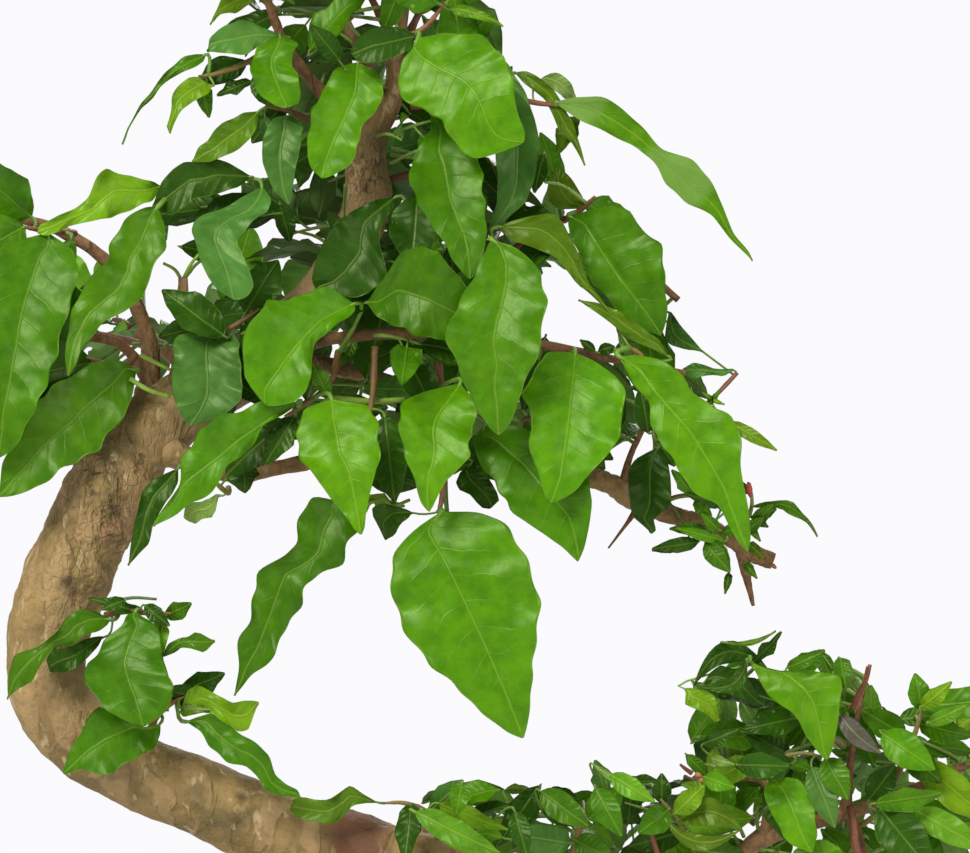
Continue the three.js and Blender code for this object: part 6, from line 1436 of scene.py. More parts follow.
def add_limb(build, name):
    """One limb, with a collar where it leaves its wood; the right limb's end is sawn."""
    stations = limb_stations(name)
    curve = curve_of(stations)
    share = np.linspace(0, 1, LIMB_STEPS * (len(stations) - 1) + 1)
    radii = radii_along(stations, share)
    centres = np.array([curve.at(t) for t in share])
    length = np.concatenate([[0], np.cumsum(np.linalg.norm(np.diff(centres, axis=0), axis=1))])
    radii = radii * (1 + 0.45 * np.exp(-length / (3 * radii[0]))) * (1 + 0.06 * np.sin(length / 2.3))
    sides = 16 if radii.max() > THICK_LIMB else 8
    points = tube(build, centres, radii, sides, 0, PLAIN)
    middles = np.concatenate([np.repeat(centres, sides, axis=0), centres[:1], centres[-1:]])
    thick = np.concatenate([np.repeat(radii, sides), [9, 9]])
    out = points - middles
    bumps = np.array([noise.noise(Vector(p) / 1.7) + 0.5 * noise.noise(Vector(p) / 0.7) for p in points])
    moved = points + out * (0.14 * bumps)[:, None]
    tint = np.zeros((len(points), 3))
    tint[:, 0] = np.clip(-bumps * 1.3 - 0.2, 0, 1) * 0.7
    zones = np.zeros((len(points), 3))
    zones[:, 2] = np.clip(1.3 - thick / 3.6, 0, 1) * 0.9
    if name == "right":
        tint[-1, 1] = 1
    build.points[-1], build.tint[-1], build.blade[-1] = moved, tint, zones
    build.fine[-1] = np.linalg.norm(out, axis=1)[:, None] * np.ones((1, 3))


wood = Build()
add_trunk(wood)
for limb in LIMBS:
    add_limb(wood, limb)
built_points.append(np.concatenate(wood.points))
wood.piece("trunk_and_limbs", [BARK], "bark", ["tree"])

# Inner foliage: small leaf pairs on side twigs, where the crown and the pads are dense.
# What the front view shows of the leaf masses, and the openings in them, in millimetres.
CROWN = [
    (-62, 440), (-80, 418), (-82, 404), (-62, 398), (-66, 380), (-90, 374), (-128, 362), (-146, 368),
    (-146, 290), (-124, 298), (-108, 312), (-92, 306), (-60, 300), (-45, 288), (-30, 284), (0, 284),
    (15, 276), (28, 270), (46, 292), (72, 300), (60, 330), (45, 345), (25, 362), (25, 385), (10, 405),
    (0, 440),
]
PADS = [
    (-34, 160), (-34, 184), (-20, 192), (-8, 198), (30, 194), (44, 199), (60, 199), (62, 224),
    (72, 232), (86, 236), (108, 235), (124, 218), (134, 224), (146, 226), (146, 160),
]
OPENINGS = [
    [(-130.5, 360.2), (-117, 364.1), (-105, 368.6), (-99.6, 372.5), (-97.5, 372.5), (-103.5, 368),
     (-111.9, 360.5), (-114.3, 355.7), (-121.5, 357.5)],
    [(-122.1, 355.4), (-116.1, 355.1), (-113.1, 352.1), (-119.1, 346.1), (-121.5, 344.6)],
    [(-90.3, 363.8), (-95.1, 360.2), (-96.3, 356.9), (-96, 351.8), (-92.1, 351.2), (-91.2, 354.5)],
    [(-102.3, 344), (-97.5, 348.5), (-93, 347.6), (-91.5, 341.9), (-94.5, 338.9), (-101.4, 340.4)],
    [(-89.4, 341.9), (-87, 349.1), (-84, 349.1), (-81, 341.6), (-88.5, 340.1)],
    [(-63.3, 363.8), (-59.7, 358.4), (-60.3, 350.6), (-63.9, 343.4), (-70.5, 349.1), (-73.5, 354.8),
     (-70.5, 359)],
    [(-57.3, 351.2), (-55.5, 350.6), (-55.5, 341.6), (-61.5, 342.5)],
    [(-117.9, 332), (-108.9, 335.3), (-104.1, 336.2), (-101.7, 330.2), (-108.9, 333.5), (-117.6, 329)],
    [(-100.5, 333.5), (-94.5, 336.2), (-98.1, 331.1)],
    [(-118.5, 320.6), (-115.5, 326.6), (-107.1, 328.1), (-113.1, 324.2)],
    [(-106.5, 326.3), (-101.1, 323.6), (-103.5, 321.2), (-107.7, 323.6)],
    [(-105, 312.2), (-101.1, 310.4), (-104.1, 308.6)],
    [(17.7, 355.4), (22.5, 353), (24.9, 345.5), (27, 341.6), (34.5, 336.5), (39.6, 332), (38.1, 324.5),
     (34.5, 327.5), (27.9, 327.5), (22.5, 327.5), (18, 331.1), (18.9, 337.4), (16.8, 347.6)],
]
# The room about the tree in cells, to keep new leaves clear of all that is there.
CELL, ROUGH_CELL = 1.5, 9
GRID_LOW, GRID_SHAPE = np.array([-190, -105, 40]), (254, 160, 320)
taken = np.zeros(GRID_SHAPE, bool)
AROUND = np.stack(np.meshgrid(*[[-1, 0, 1]] * 3, indexing="ij"), axis=-1).reshape(-1, 3)


def cells_of(points):
    cells = np.floor((points - GRID_LOW) / CELL).astype(int)
    return cells[np.all((cells >= 1) & (cells < np.array(GRID_SHAPE) - 1), axis=1)]


def take(points):
    """Marks the cells of points and those next to them as taken."""
    cells = np.unique(cells_of(points), axis=0)
    for step in AROUND:
        taken[tuple((cells + step).T)] = True


def is_free(points):
    return not np.any(taken[tuple(cells_of(points).T)])


def within(polygon, x, z):
    """Whether places lie inside a polygon."""
    odd = np.zeros(np.shape(x), bool)
    for (x1, z1), (x2, z2) in zip(polygon, polygon[1:] + polygon[:1]):
        if z1 != z2:
            odd ^= ((z1 > z) != (z2 > z)) & (x < x1 + (z - z1) * (x2 - x1) / (z2 - z1))
    return odd


def on_front(points):
    """Where the front view shows points: x and z on the plane y = 0."""
    scale = EYE_DISTANCE / (EYE_DISTANCE + points[:, 1])
    return points[:, 0] * scale, EYE_HEIGHT + (points[:, 2] - EYE_HEIGHT) * scale


def in_masses(x, z):
    good = within(CROWN, x, z) | within(PADS, x, z)
    for opening in OPENINGS:
        good &= ~within(opening, x, z)
    return good


FRAME_BOTTOM, FRAME_TOP = 175, 431


def fits_front(points):
    """Whether the front view may show points: in a leaf mass and in none of its openings."""
    x, z = on_front(points)
    outside = (np.abs(x) > FRAME_WIDTH / 2) | (z > FRAME_TOP) | (z < FRAME_BOTTOM)
    return bool(np.all(outside | in_masses(x, z)))


# Single small leaves of the front view, below the size of the CAD's leaves, in rows like theirs.
SINGLE_LEAVES = [
    (106.5, 216.5, -24, 118.8, 205, -27, 6.4, "x", dict(bow=2, wave=0.6, waves=3, fold=20, sway=1)),
    (68.1, 311, -4, 65, 313.4, -6, 1.8, "b", {}), (68.1, 311, -4, 70.6, 314, -5, 1.8, "m", {}),
    (68.1, 311, -4, 66, 308, -6, 1.7, "d", {}), (68.1, 311, -4, 71.8, 309.6, -6, 1.8, "y", {}),
    (64, 268.4, -8, 50.1, 266.3, -11, 4.8, "d", {}), (73.2, 259.1, -8, 72, 252.8, -10, 2.6, "d", {}),
    (66, 268, -9, 73.4, 259.3, -12, 6.4, "m", {}), (77, 271, -9, 84, 276, -12, 4.2, "m", {}),
    (72, 268.6, -9, 57, 272.6, -13, 3.6, "b", dict(bow=1)), (70, 272, -9, 64.6, 277, -12, 4, "b", {}),
    (71, 280, -8, 60.6, 282.6, -12, 5, "d", {}), (79, 268, -9, 84, 263.2, -12, 3.4, "o", {}),
    (80.5, 274, -8, 86.6, 280, -12, 4.6, "m", {}), (79.6, 272.6, -8, 82.6, 268.6, -11, 2.8, "m", {}),
    (78, 262, -3, 81.6, 257.4, -6, 3, "m", {}), (68, 284, -7, 63.6, 288.6, -9, 3.4, "d", {}),
    (-102, 249.4, -18, -94.6, 243.2, -20, 5, "d", dict(bow=1.5)),
    (-108, 251, -18, -115, 248, -20, 4, "d", {}),
    (-91.5, 218.6, -14, -81.9, 218, -18, 2.4, "p", dict(bow=1)),
    (78.3, 233, -18, 64.5, 224.8, -22, 5.2, "d", dict(bow=3, sway=-4, fold=20)),
    (72.9, 238.1, -18, 87.3, 241.7, -21, 1.8, "o", dict(sway=1.5)),
    (90.6, 230.6, -20, 101.1, 235.1, -24, 4.4, "m", {}), (106.5, 233.6, -20, 108.3, 224, -24, 6, "m", {}),
    (65.4, 207.8, -20, 76.5, 212.3, -24, 4.8, "d", {}), (75.6, 201.5, -24, 91.5, 201.2, -28, 8, "d", {}),
    (66, 197.9, -22, 75, 194.6, -26, 6.2, "b", {}), (68.1, 203.4, -20, 75, 201.5, -24, 3.2, "p", {}),
    (54.5, 184.6, -24, 76.5, 182, -28, 5, "o", dict(sway=5, bow=2)),
    (131.1, 219, -14, 140, 226.4, -18, 5.4, "y", {}), (133, 214, -14, 145, 219.6, -18, 5, "l", {}),
    (-21, 187.4, -28, 4.5, 175, -30, 8, "l", dict(bow=3)), (-6.9, 195.8, -24, -8.6, 186.5, -28, 7, "b", {}),
    (9, 187.5, -26, 12.6, 174, -30, 6.8, "d", {}),
    (16.8, 193.6, -24, 31, 183, -28, 9, "m", dict(wave=0.8, waves=3)),
    (33, 194.6, -24, 41, 180, -28, 8.4, "m", {}), (37.5, 198.5, -22, 51, 190.4, -26, 6.6, "l", {}),
    (32.7, 201.5, -20, 42, 194.6, -22, 2, "p", dict(bow=1)),
]
# Twigs and leaf stalks of the front view: radius at its start and end, colour, and its places x, z, y.
GREEN, DARK_GREEN = (0.24, 0.40, 0.03), (0.07, 0.15, 0.02)
RED_WOOD, TAN_WOOD = (0.20, 0.060, 0.022), (0.40, 0.24, 0.10)
SINGLE_TWIGS = [
    (0.7, 0.4, RED_WOOD, [(75.6, 319.1, -2), (72, 315, -3), (68.1, 311.2, -3), (64, 309, 2)]),
    (0.85, 1.1, GREEN, [(-24, 311, -13), (-36, 310.6, -15), (-47, 311.6, -17)]),
    (0.7, 0.5, GREEN, [(-47, 311.6, -17), (-49.4, 313.6, -18)]),
    (0.7, 0.5, GREEN, [(-47, 311.6, -17), (-49.8, 309.4, -18)]),
    (0.8, 0.6, GREEN, [(-106.5, 317.3, -14), (-101, 314, -15), (-94.5, 311.9, -14)]),
    (0.7, 0.5, GREEN, [(-103.5, 324.5, -13), (-94.5, 320, -12)]),
    (1.7, 1.5, TAN_WOOD, [(-90.8, 331, -8), (-90.4, 340, -9), (-90.6, 347.5, -9)]),
    (0.6, 0.45, GREEN, [(-90.6, 347, -9), (-88, 352, -10), (-84.6, 356, -11)]),
    (0.6, 0.45, GREEN, [(-90.6, 346, -9), (-93, 350, -10), (-96.5, 352, -11)]),
    (0.85, 0.7, DARK_GREEN, [(-12, 287, -21), (-11.8, 282, -22), (-11.4, 277.4, -23)]),
    (0.7, 0.5, GREEN, [(-36, 277.6, -18), (-34.5, 280.1, -19), (-30, 281, -19), (-27.9, 279.2, -19),
                       (-22.5, 281, -18)]),
    (1.0, 0.6, RED_WOOD, [(110.1, 218, -10), (111.9, 222.5, -12), (114.3, 227, -14), (115.5, 231.5, -16)]),
    (1.5, 1.1, RED_WOOD, [(113, 172, -14), (111, 178, -16), (110.5, 184, -16), (109.5, 189, -14)]),
    (0.9, 0.6, RED_WOOD, [(52, 174, -14), (49.5, 182, -16), (48, 187.5, -16)]),
    (0.8, 0.4, RED_WOOD, [(62, 199, -14), (60, 200.4, -15), (58.6, 201.6, -16)]),
    (0.6, 0.4, DARK_GREEN, [(-113, 250, -14), (-106, 251.6, -16), (-98.5, 251.2, -17)]),
]
# Buds: radius, colour, and both ends.
BUDS = [
    (1.0, (0.42, 0.035, 0.02), (79, 286.4, -10), (79.6, 281.8, -10)),
    (0.8, (0.50, 0.18, 0.03), (63, 199, -18), (65, 198, -19)),
    (0.8, (0.50, 0.20, 0.04), (64, 196.6, -18), (66, 197, -19)),
    (0.7, (0.30, 0.10, 0.03), (82, 264, -8), (83.4, 262, -9)),
    (0.7, (0.30, 0.10, 0.03), (85.6, 262, -6), (87.4, 260.4, -6)),
]

ROUND_SIDES, TWIG_STEPS, BUD_STEPS = 10, 5, 7
EVERY = 4
singles = Build()
chance = random_from(404)
# Each small leaf's stalk starts at the nearest of every few points made so far.
wood_points = np.concatenate([points[::EVERY] for points in built_points])
for row in SINGLE_LEAVES:
    leaf = front_leaf(row, [seen(*row[:3]), seen(*row[:3]) + 1], 0, chance)
    leaf["root"] = wood_points[int(np.argmin(np.linalg.norm(wood_points - leaf["base"], axis=1)))]
    add_leaf(singles, leaf)
for first, last, tint, places in SINGLE_TWIGS:
    line = Curve([seen(*place) for place in places])
    count = TWIG_STEPS * (len(places) - 1) + 1
    centres = [line.at(t) for t in np.linspace(0, 1, count)]
    tube(singles, centres, np.linspace(first, last, count), ROUND_SIDES, TWIG, tint)
shares = np.linspace(0, 1, BUD_STEPS)
bud = np.sin(math.pi * (0.08 + 0.84 * shares)) ** 0.8
for radius, tint, start, end in BUDS:
    centres = [lerp(seen(*start), seen(*end), t) for t in shares]
    tube(singles, centres, radius * bud, ROUND_SIDES, TWIG, tint)
built_points.append(np.concatenate(singles.points))
singles.piece("small_leaves_and_buds", [LEAVES, TWIGS], "leaf")

for points in built_points:
    take(points)
# Rough cells near enough to the leaves for an inner leaf's tip.
leafy_cells = np.unique(np.floor(np.concatenate(leaf_points) / ROUGH_CELL).astype(int), axis=0)
near = {tuple(cell + step) for cell in leafy_cells for step in AROUND}

# What of the front view the leaves and the wood cover already, in small squares.
SQUARE = 1.2
VIEW_LOW, VIEW_SHAPE = np.array([-148.0, 174.0]), (247, 216)
covered = np.zeros(VIEW_SHAPE, bool)


def squares_of(points):
    """The squares that points in the front view fall in, and the points' depths."""
    flat = np.stack(on_front(points), axis=-1)
    squares = np.floor((flat - VIEW_LOW) / SQUARE).astype(int)
    inside = np.all((squares >= 0) & (squares < np.array(VIEW_SHAPE)), axis=1)
    return tuple(squares[inside].T), points[inside, 1]


def cover(points):
    covered[squares_of(points)[0]] = True


# Where the front view shows the upper trunk and its limbs bare: low x, z and high x, z.
BARE_WOOD = [(-42, 368, -26, 432), (-94, 330, -88, 348), (-31, 318, -25, 330), (35, 262, 90, 290)]
# Below this height all of the wood is bare.
BARE_UNDER = 292


def bare_wood(points):
    """Those of the wood's points that no inner leaf may hide."""
    x, z = points[:, 0], points[:, 2]
    shown = z < BARE_UNDER
    for low_x, low_z, high_x, high_z in BARE_WOOD:
        shown |= (x > low_x) & (x < high_x) & (z > low_z) & (z < high_z)
    return points[shown]


for points in leaf_points:
    cover(points)
bare = bare_wood(np.concatenate(wood.points))
cover(bare)
# How far forward the leaves and the bare wood of the front view lie: the inner foliage stays behind them.
FAR = 1000.0
foremost = np.full(VIEW_SHAPE, FAR)
for points in [*leaf_points[:len(SPRAYS)], bare]:
    squares, depths = squares_of(points)
    np.minimum.at(foremost, squares, depths)
cover(np.concatenate(singles.points))
middles = [low + SQUARE * (np.arange(n) + 0.5) for low, n in zip(VIEW_LOW, VIEW_SHAPE)]
mesh_x, mesh_z = np.meshgrid(*middles, indexing="ij")
wanted = in_masses(mesh_x, mesh_z)


def grid_on_blade(along, across):
    return [places.ravel() for places in np.meshgrid(along, across)]


# Places on a blade: a few to find out whether it is free, and many to tell what it covers.
PROBE_U, PROBE_SIDE = grid_on_blade([0.12, 0.3, 0.5, 0.7, 0.88, 0.98], [-0.9, -0.45, 0, 0.45, 0.9])
COVER_U, COVER_SIDE = grid_on_blade(np.linspace(0.03, 0.97, 28), np.linspace(-0.95, 0.95, 17))
MOST_IN_FRONT = 0.06
# Inner leaves in front of this depth face the front, and the others the back.
FACES_BACK_FROM = 18
EDGE_ON = 0.9


def inner_leaf(leaf, draw):
    """Gives a leaf of an inner twig its face and colour, and keeps it if it fits among the others."""
    toward = -1 if leaf["base"][1] < FACES_BACK_FROM else 1
    leaf["face"] = unit(np.array([0.9 * (draw() - 0.5), 0.85 * toward, 0.35 + 0.5 * draw()]))
    leaf["inner"], leaf["seed"] = True, draw()
    leaf["tint"] = tinted(leaf["tones"][int(draw() * len(leaf["tones"]))], draw)
    if abs(np.dot(unit(leaf["tip"] - leaf["base"]), leaf["face"])) > EDGE_ON:
        return False
    spots = blade_points(leaf, PROBE_U, PROBE_SIDE)[0]
    close = tuple(np.floor(leaf["tip"] / ROUGH_CELL).astype(int)) in near
    if not (close and is_free(spots) and fits_front(spots)):
        return False
    dense = blade_points(leaf, COVER_U, COVER_SIDE)[0]
    squares, depths = squares_of(dense)
    hides = (foremost[squares] < FAR) & (depths < foremost[squares])
    if len(depths) and np.mean(hides) > MOST_IN_FRONT:
        return False
    take(spots)
    cover(dense)
    return True


def add_twig(build, stations, leaves):
    """A twig, unless it bears nothing."""
    if leaves:
        add_stem(build, stations)
        for leaf in leaves:
            add_leaf(build, leaf)


# Limb, the stretch of it that bears them, how many twigs, and the length of their leaves.
INNER_TWIGS = {
    "crown": [
        ("trunk", 0.80, 1, 30, 24), ("crown_left", 0.1, 1, 10, 20), ("crown_mid", 0.1, 1, 10, 20),
        ("right_high", 0.1, 1, 16, 22), ("front", 0.1, 1, 18, 22), ("right", 0.2, 0.6, 8, 18),
        ("left", 0.1, 1, 14, 20), ("left_low", 0.2, 1, 6, 18), ("left_stub", 0.2, 1, 4, 17),
        ("back", 0.2, 1, 12, 22), ("back_left", 0.2, 1, 12, 22), ("back_low", 0.2, 1, 12, 22),
    ],
    "pads": [
        ("pad", 0.35, 1, 18, 14), ("pad_up", 0.1, 0.8, 8, 13), ("pad_left", 0.2, 1, 8, 13),
        ("pad_back", 0.3, 1, 8, 15), ("low_back", 0.2, 1, 8, 16), ("trunk", 0.17, 0.34, 18, 15),
    ],
}


def scattered_twigs(build, rows, tones, draw):
    """Twigs that leave the limbs at drawn places."""
    for limb, start, end, twigs, size in rows:
        for _ in range(twigs):
            rise = 75 * draw() - 10
            shoot = (limb, lerp(start, end, draw()), 360 * draw(), rise, 14 + 24 * draw(),
                     3 + int(3 * draw()), size * (0.75 + 0.5 * draw()))
            stations = [(*s[:3], 0.5 * s[3]) for s in shoot_stations(shoot)]
            if fits_front(np.array([s[:3] for s in stations])):
                seed = int(1e6 * draw())
                leaves = [{**leaf, "tones": tones} for leaf in shoot_leaves(shoot, seed, stations)]
                add_twig(build, stations, [leaf for leaf in leaves if inner_leaf(leaf, draw)])


def points_along(curve, start, count):
    return [curve.at(t) for t in np.linspace(start, 1, count)]


# Places on the wood and on the shoots' stems that a filling twig may leave from.
wood_line = points_along(curve_of(TRUNK), 0.17, 60)
for limb in LIMBS:
    wood_line += points_along(curve_of(limb_stations(limb)), 0.1, 60)
for rows, _ in SPRAYS.values():
    wood_line += points_along(Curve([seen(x, z, y) for x, z, y, _ in rows]), 0.1, 12)
wood_line = np.array(wood_line)
SHORTEST_REACH, LONGEST_REACH = 3, 62
LEAVES_A_TWIG, LONGEST_STALK = 4, 16


def filling_twigs(build, top, tones, tries, size, draw):
    """Twigs that reach from the nearest wood to places still bare in the front view, with a few leaves."""
    for _ in range(tries):
        open_squares = np.argwhere(wanted & ~covered & ((mesh_z > PADS_TOP) == top))
        if not len(open_squares):
            return
        square = VIEW_LOW + SQUARE * (open_squares[int(draw() * len(open_squares))] + 0.5)
        goal = seen(*square, -26 + 62 * draw())
        lengths = np.linalg.norm(wood_line - goal, axis=1)
        foot = wood_line[int(np.argmin(lengths))]
        reach = lengths.min()
        if not SHORTEST_REACH < reach < LONGEST_REACH:
            continue
        out = (goal - foot) / reach
        middle = foot + out * reach * 0.5 + np.array([0, 2, reach * 0.08])
        root = foot + out * reach * 0.85
        stations = [(*foot, 0.75), (*middle, 0.6), (*root, 0.45)]
        line = np.array([lerp(middle, root, t) for t in np.linspace(0, 1, 6)])
        if not (fits_front(line) and is_free(line)):
            continue
        leaves = []
        for _ in range(LEAVES_A_TWIG):
            angle = math.radians(360 * draw())
            flat = np.array([math.cos(angle), 0.3 * (draw() - 0.5), math.sin(angle)])
            length = size * (0.7 + 0.6 * draw())
            base = goal - flat * length * (0.3 + 0.4 * draw())
            leaf = {**FLAT, "tones": tones, "root": root, "base": base, "tip": base + flat * length,
                    "width": length * (0.42 + 0.14 * draw()), **own_form(length, draw, 30, 24, 0.03, 10)}
            if np.linalg.norm(base - root) < LONGEST_STALK and inner_leaf(leaf, draw):
                leaves.append(leaf)
        add_twig(build, stations, leaves)


PADS_TOP = 262
# Name, limbs, whether above the pads, tones, seed, tries, and the leaves' lengths from the first pass on.
# The inner crown's tones are mostly the dark d, partly painted shade for the leaves deep inside the crown.
for name, rows, top, tones, seed, tries, sizes in (
        ("inner_crown_leaves", INNER_TWIGS["crown"], True, "ddmdmddgdmd", 301, 520, (32, 24, 16)),
        ("inner_pad_leaves", INNER_TWIGS["pads"], False, "mbdymbmdml", 302, 260, (18, 13, 9))):
    inner = Build()
    chance = random_from(seed)
    filling_twigs(inner, top, tones, tries, sizes[0], chance)
    scattered_twigs(inner, rows, tones, chance)
    for size in sizes[1:]:
        filling_twigs(inner, top, tones, tries, size, chance)
    inner.piece(name, [LEAVES, TWIGS], "leaf")


# Pot, as the part's source has it
POT_LENGTH, POT_WIDTH, POT_HEIGHT = 250, 180, 62
POT_WALL, POT_FLOOR, FOOT_HEIGHT, RIM_HEIGHT = 7, 8, 7, 9
RIM_OVERHANG, POT_TAPER = 5, 9
DRAIN_X, DRAIN_RADIUS = 58, 9
FLOOR_TOP = FOOT_HEIGHT + POT_FLOOR
INNER_TOP_INSET = RIM_OVERHANG + POT_WALL
SOIL_RIM_DROP, SOIL_RISE, GAP = 7, 5, 0.35
POT_SIDES = 160


def inner_inset(z):
    """How far the pot's inner face lies inside its rim at a height."""
    return INNER_TOP_INSET + POT_TAPER * (POT_HEIGHT - z) / (POT_HEIGHT - FLOOR_TOP)


def oval_point(inset, angle):
    return (POT_LENGTH / 2 - inset) * np.cos(angle), (POT_WIDTH / 2 - inset) * np.sin(angle)


def oval(inset, z, sides=POT_SIDES):
    angle = TURN * np.arange(sides) / sides
    return np.stack([*oval_point(inset, angle), np.full(sides, float(z))], axis=-1)


def rounded(profile, reach=1.2, steps=4):
    """A profile of (inset, height) with its corners rounded."""
    out = [np.array(profile[0], float)]
    for a, b, c in zip(profile, profile[1:], profile[2:]):
        a, b, c = np.array(a, float), np.array(b, float), np.array(c, float)
        before = b + unit(a - b) * min(reach, np.linalg.norm(a - b) * 0.45)
        after = b + unit(c - b) * min(reach, np.linalg.norm(c - b) * 0.45)
        out += bent(before, b, after, steps)
    out.append(np.array(profile[-1], float))
    return out


def loft(build, rings, low, high, tint):
    """A closed skin over rings of equally many points, with a point at each end."""
    rows, sides = len(rings), len(rings[0])
    points = np.concatenate([*rings, [low], [high]])
    build.add(points, rings_faces(rows, sides), end_faces(rows, sides), 0, tint)


def pot_profile():
    """The pot's section, (inset, height), from under its floor over the rim to its floor's top."""
    outer = RIM_OVERHANG + POT_TAPER
    lip = POT_HEIGHT - RIM_HEIGHT
    return rounded([
        (outer + 3, FOOT_HEIGHT), (outer, FOOT_HEIGHT + 3), (RIM_OVERHANG + 1, lip), (1, lip + 1),
        (0, lip + 2.5), (0, POT_HEIGHT - 2), (1.5, POT_HEIGHT), (INNER_TOP_INSET - 1.5, POT_HEIGHT),
        (INNER_TOP_INSET, POT_HEIGHT - 1.5), (inner_inset(FLOOR_TOP + 4), FLOOR_TOP + 4),
        (inner_inset(FLOOR_TOP) + 4, FLOOR_TOP),
    ])


FOOT_FROM, FOOT_TO = 32, 62
FOOT_INSET, FOOT_DEPTH, FOOT_STEPS = 5, 16, 14


def foot_ring(sx, sy, shrink, z):
    """The outline of one foot at a height, drawn in by shrink."""
    outer = RIM_OVERHANG + POT_TAPER + FOOT_INSET + shrink
    inner = RIM_OVERHANG + POT_TAPER + FOOT_INSET + FOOT_DEPTH - shrink
    turns = np.radians(np.linspace(FOOT_FROM + 0.5 * shrink, FOOT_TO - 0.5 * shrink, FOOT_STEPS + 1))
    out = [(*oval_point(outer, a), z) for a in turns] + [(*oval_point(inner, a), z) for a in turns[::-1]]
    ring = np.array(out) * np.array([sx, sy, 1])
    return ring if sx * sy > 0 else ring[::-1]


DRILL_DEPTH, DRILL_SIDES = 30, 48
BODY_CREASE, FEET_CREASE = 40, 50


def make_pot():
    """The pot's body with its drain holes cut, and its feet."""
    build = Build()
    profile = pot_profile()
    rings = [oval(inset, z) for inset, z in profile]
    loft(build, rings, (0, 0, profile[0][1]), (0, 0, profile[-1][1]), PLAIN)
    body = build.piece("pot_body", [STONEWARE], "stoneware", ["pot"])
    for side in (-1, 1):
        bpy.ops.mesh.primitive_cylinder_add(
            vertices=DRILL_SIDES, radius=DRAIN_RADIUS * MM, depth=DRILL_DEPTH * MM,
            location=(side * DRAIN_X * MM, 0, 10 * MM))
        drill = bpy.context.object
        cut = body.modifiers.new("drain", "BOOLEAN")
        cut.operation, cut.solver, cut.object = "DIFFERENCE", "EXACT", drill
        bpy.context.view_layer.update()
        evaluated = body.evaluated_get(bpy.context.evaluated_depsgraph_get())
        made = bpy.data.meshes.new_from_object(evaluated)
        body.modifiers.clear()
        body.data = made
        bpy.data.objects.remove(drill)
    for polygon in body.data.polygons:
        polygon.use_smooth = True
    body.data.set_sharp_from_angle(angle=math.radians(BODY_CREASE))
    feet = Build()
    for sx, sy in ((1, 1), (-1, 1), (-1, -1), (1, -1)):
        rings = [foot_ring(sx, sy, 1.2, 0), foot_ring(sx, sy, 0.3, 0.4), foot_ring(sx, sy, 0, 1.6),
                 foot_ring(sx, sy, 0, FOOT_HEIGHT + 1)]
        middle = rings[0].mean(axis=0)
        loft(feet, rings, middle, (middle[0], middle[1], FOOT_HEIGHT + 1), PLAIN)
    feet = feet.piece("pot_feet", [STONEWARE], "stoneware")
    feet.data.set_sharp_from_angle(angle=math.radians(FEET_CREASE))


STONEWARE = pot_material()
make_pot()

# Soil, its grit and its moss
SOIL = soil_material()
SOIL_TOP = POT_HEIGHT - SOIL_RIM_DROP
EDGE = inner_inset(SOIL_TOP) + GAP
SOIL_SIDES, SOIL_RINGS = 120, 34
SOIL_BROWN = (0.085, 0.045, 0.025)


def pot_share(x, y, inset):
    """How far out a place lies in the pot: 1 on the oval that is inset from its rim."""
    return math.hypot(x / (POT_LENGTH / 2 - inset), y / (POT_WIDTH / 2 - inset))


def soil_height(x, y):
    """The soil's surface: a low mound, uneven by a millimetre."""
    share = pot_share(x, y, EDGE)
    inset = (1 - share) * (POT_WIDTH / 2 - EDGE)
    rise = float(np.interp(inset, [0, 20, 45], [0, 0.55, 0.9])) * SOIL_RISE
    calm = min(1.0, max(0.0, inset / 6))
    uneven = 0.8 * noise.noise(Vector((x, y, 0)) / 14) + 0.35 * noise.noise(Vector((x, y, 5)) / 4)
    return SOIL_TOP + rise + calm * uneven


def make_soil():
    build = Build()
    bottom, corner = FLOOR_TOP + GAP, FLOOR_TOP + 4
    rings = [oval(inner_inset(bottom) + GAP + 4, bottom, SOIL_SIDES),
             oval(inner_inset(corner) + GAP + 0.2, corner, SOIL_SIDES)]
    edge = oval(EDGE, SOIL_TOP, SOIL_SIDES)
    for share in np.linspace(1, 0.03, SOIL_RINGS):
        ring = edge * np.array([share, share, 1])
        ring[:, 2] = [soil_height(x, y) for x, y in ring[:, :2]]
        rings.append(ring)
    loft(build, rings, (0, 0, bottom), (0, 0, soil_height(0, 0)), SOIL_BROWN)
    build.piece("soil_bed", [SOIL], "soil", ["soil"])


GRIT_COLOURS = [
    (0.24, 0.105, 0.05), (0.30, 0.15, 0.075), (0.055, 0.042, 0.036), (0.16, 0.085, 0.05), (0.42, 0.34, 0.23),
]
# Middle x, y, radius and height of each patch.
MOSS_PATCHES = [(-4, 26, 21, 4.5), (34, -20, 19, 4), (-34, -14, 24, 5), (70, 18, 20, 4), (-74, 18, 22, 4.5),
                (12, -40, 16, 3.5), (-6, 52, 15, 3.5), (-92, -12, 12, 3)]


def moss_reach(x, y):
    """How deep a place lies in the moss, from 0 at its edge to 1."""
    deepest = 0.0
    for cx, cy, radius, _ in MOSS_PATCHES:
        away = math.hypot(x - cx, y - cy) / (radius * (1 + 0.25 * noise.noise(Vector((x, y, 3)) / 9)))
        deepest = max(deepest, 1 - away)
    return deepest


GRIT_COUNT, GRIT_SIDES = 2100, 6
AROUND_TRUNK, TRUNK_FOOT_X = 22, 4
GRIT_OUT_OF_MOSS = 0.12
# A round stone of radius 1, as rings from its underside up.
STONE_TURN = TURN * np.arange(GRIT_SIDES) / GRIT_SIDES
STONE = [np.stack([math.sin(v) * np.cos(STONE_TURN), math.sin(v) * np.sin(STONE_TURN),
                   np.full(GRIT_SIDES, math.cos(v))], axis=-1) for v in np.linspace(2.6, 0.5, 4)]


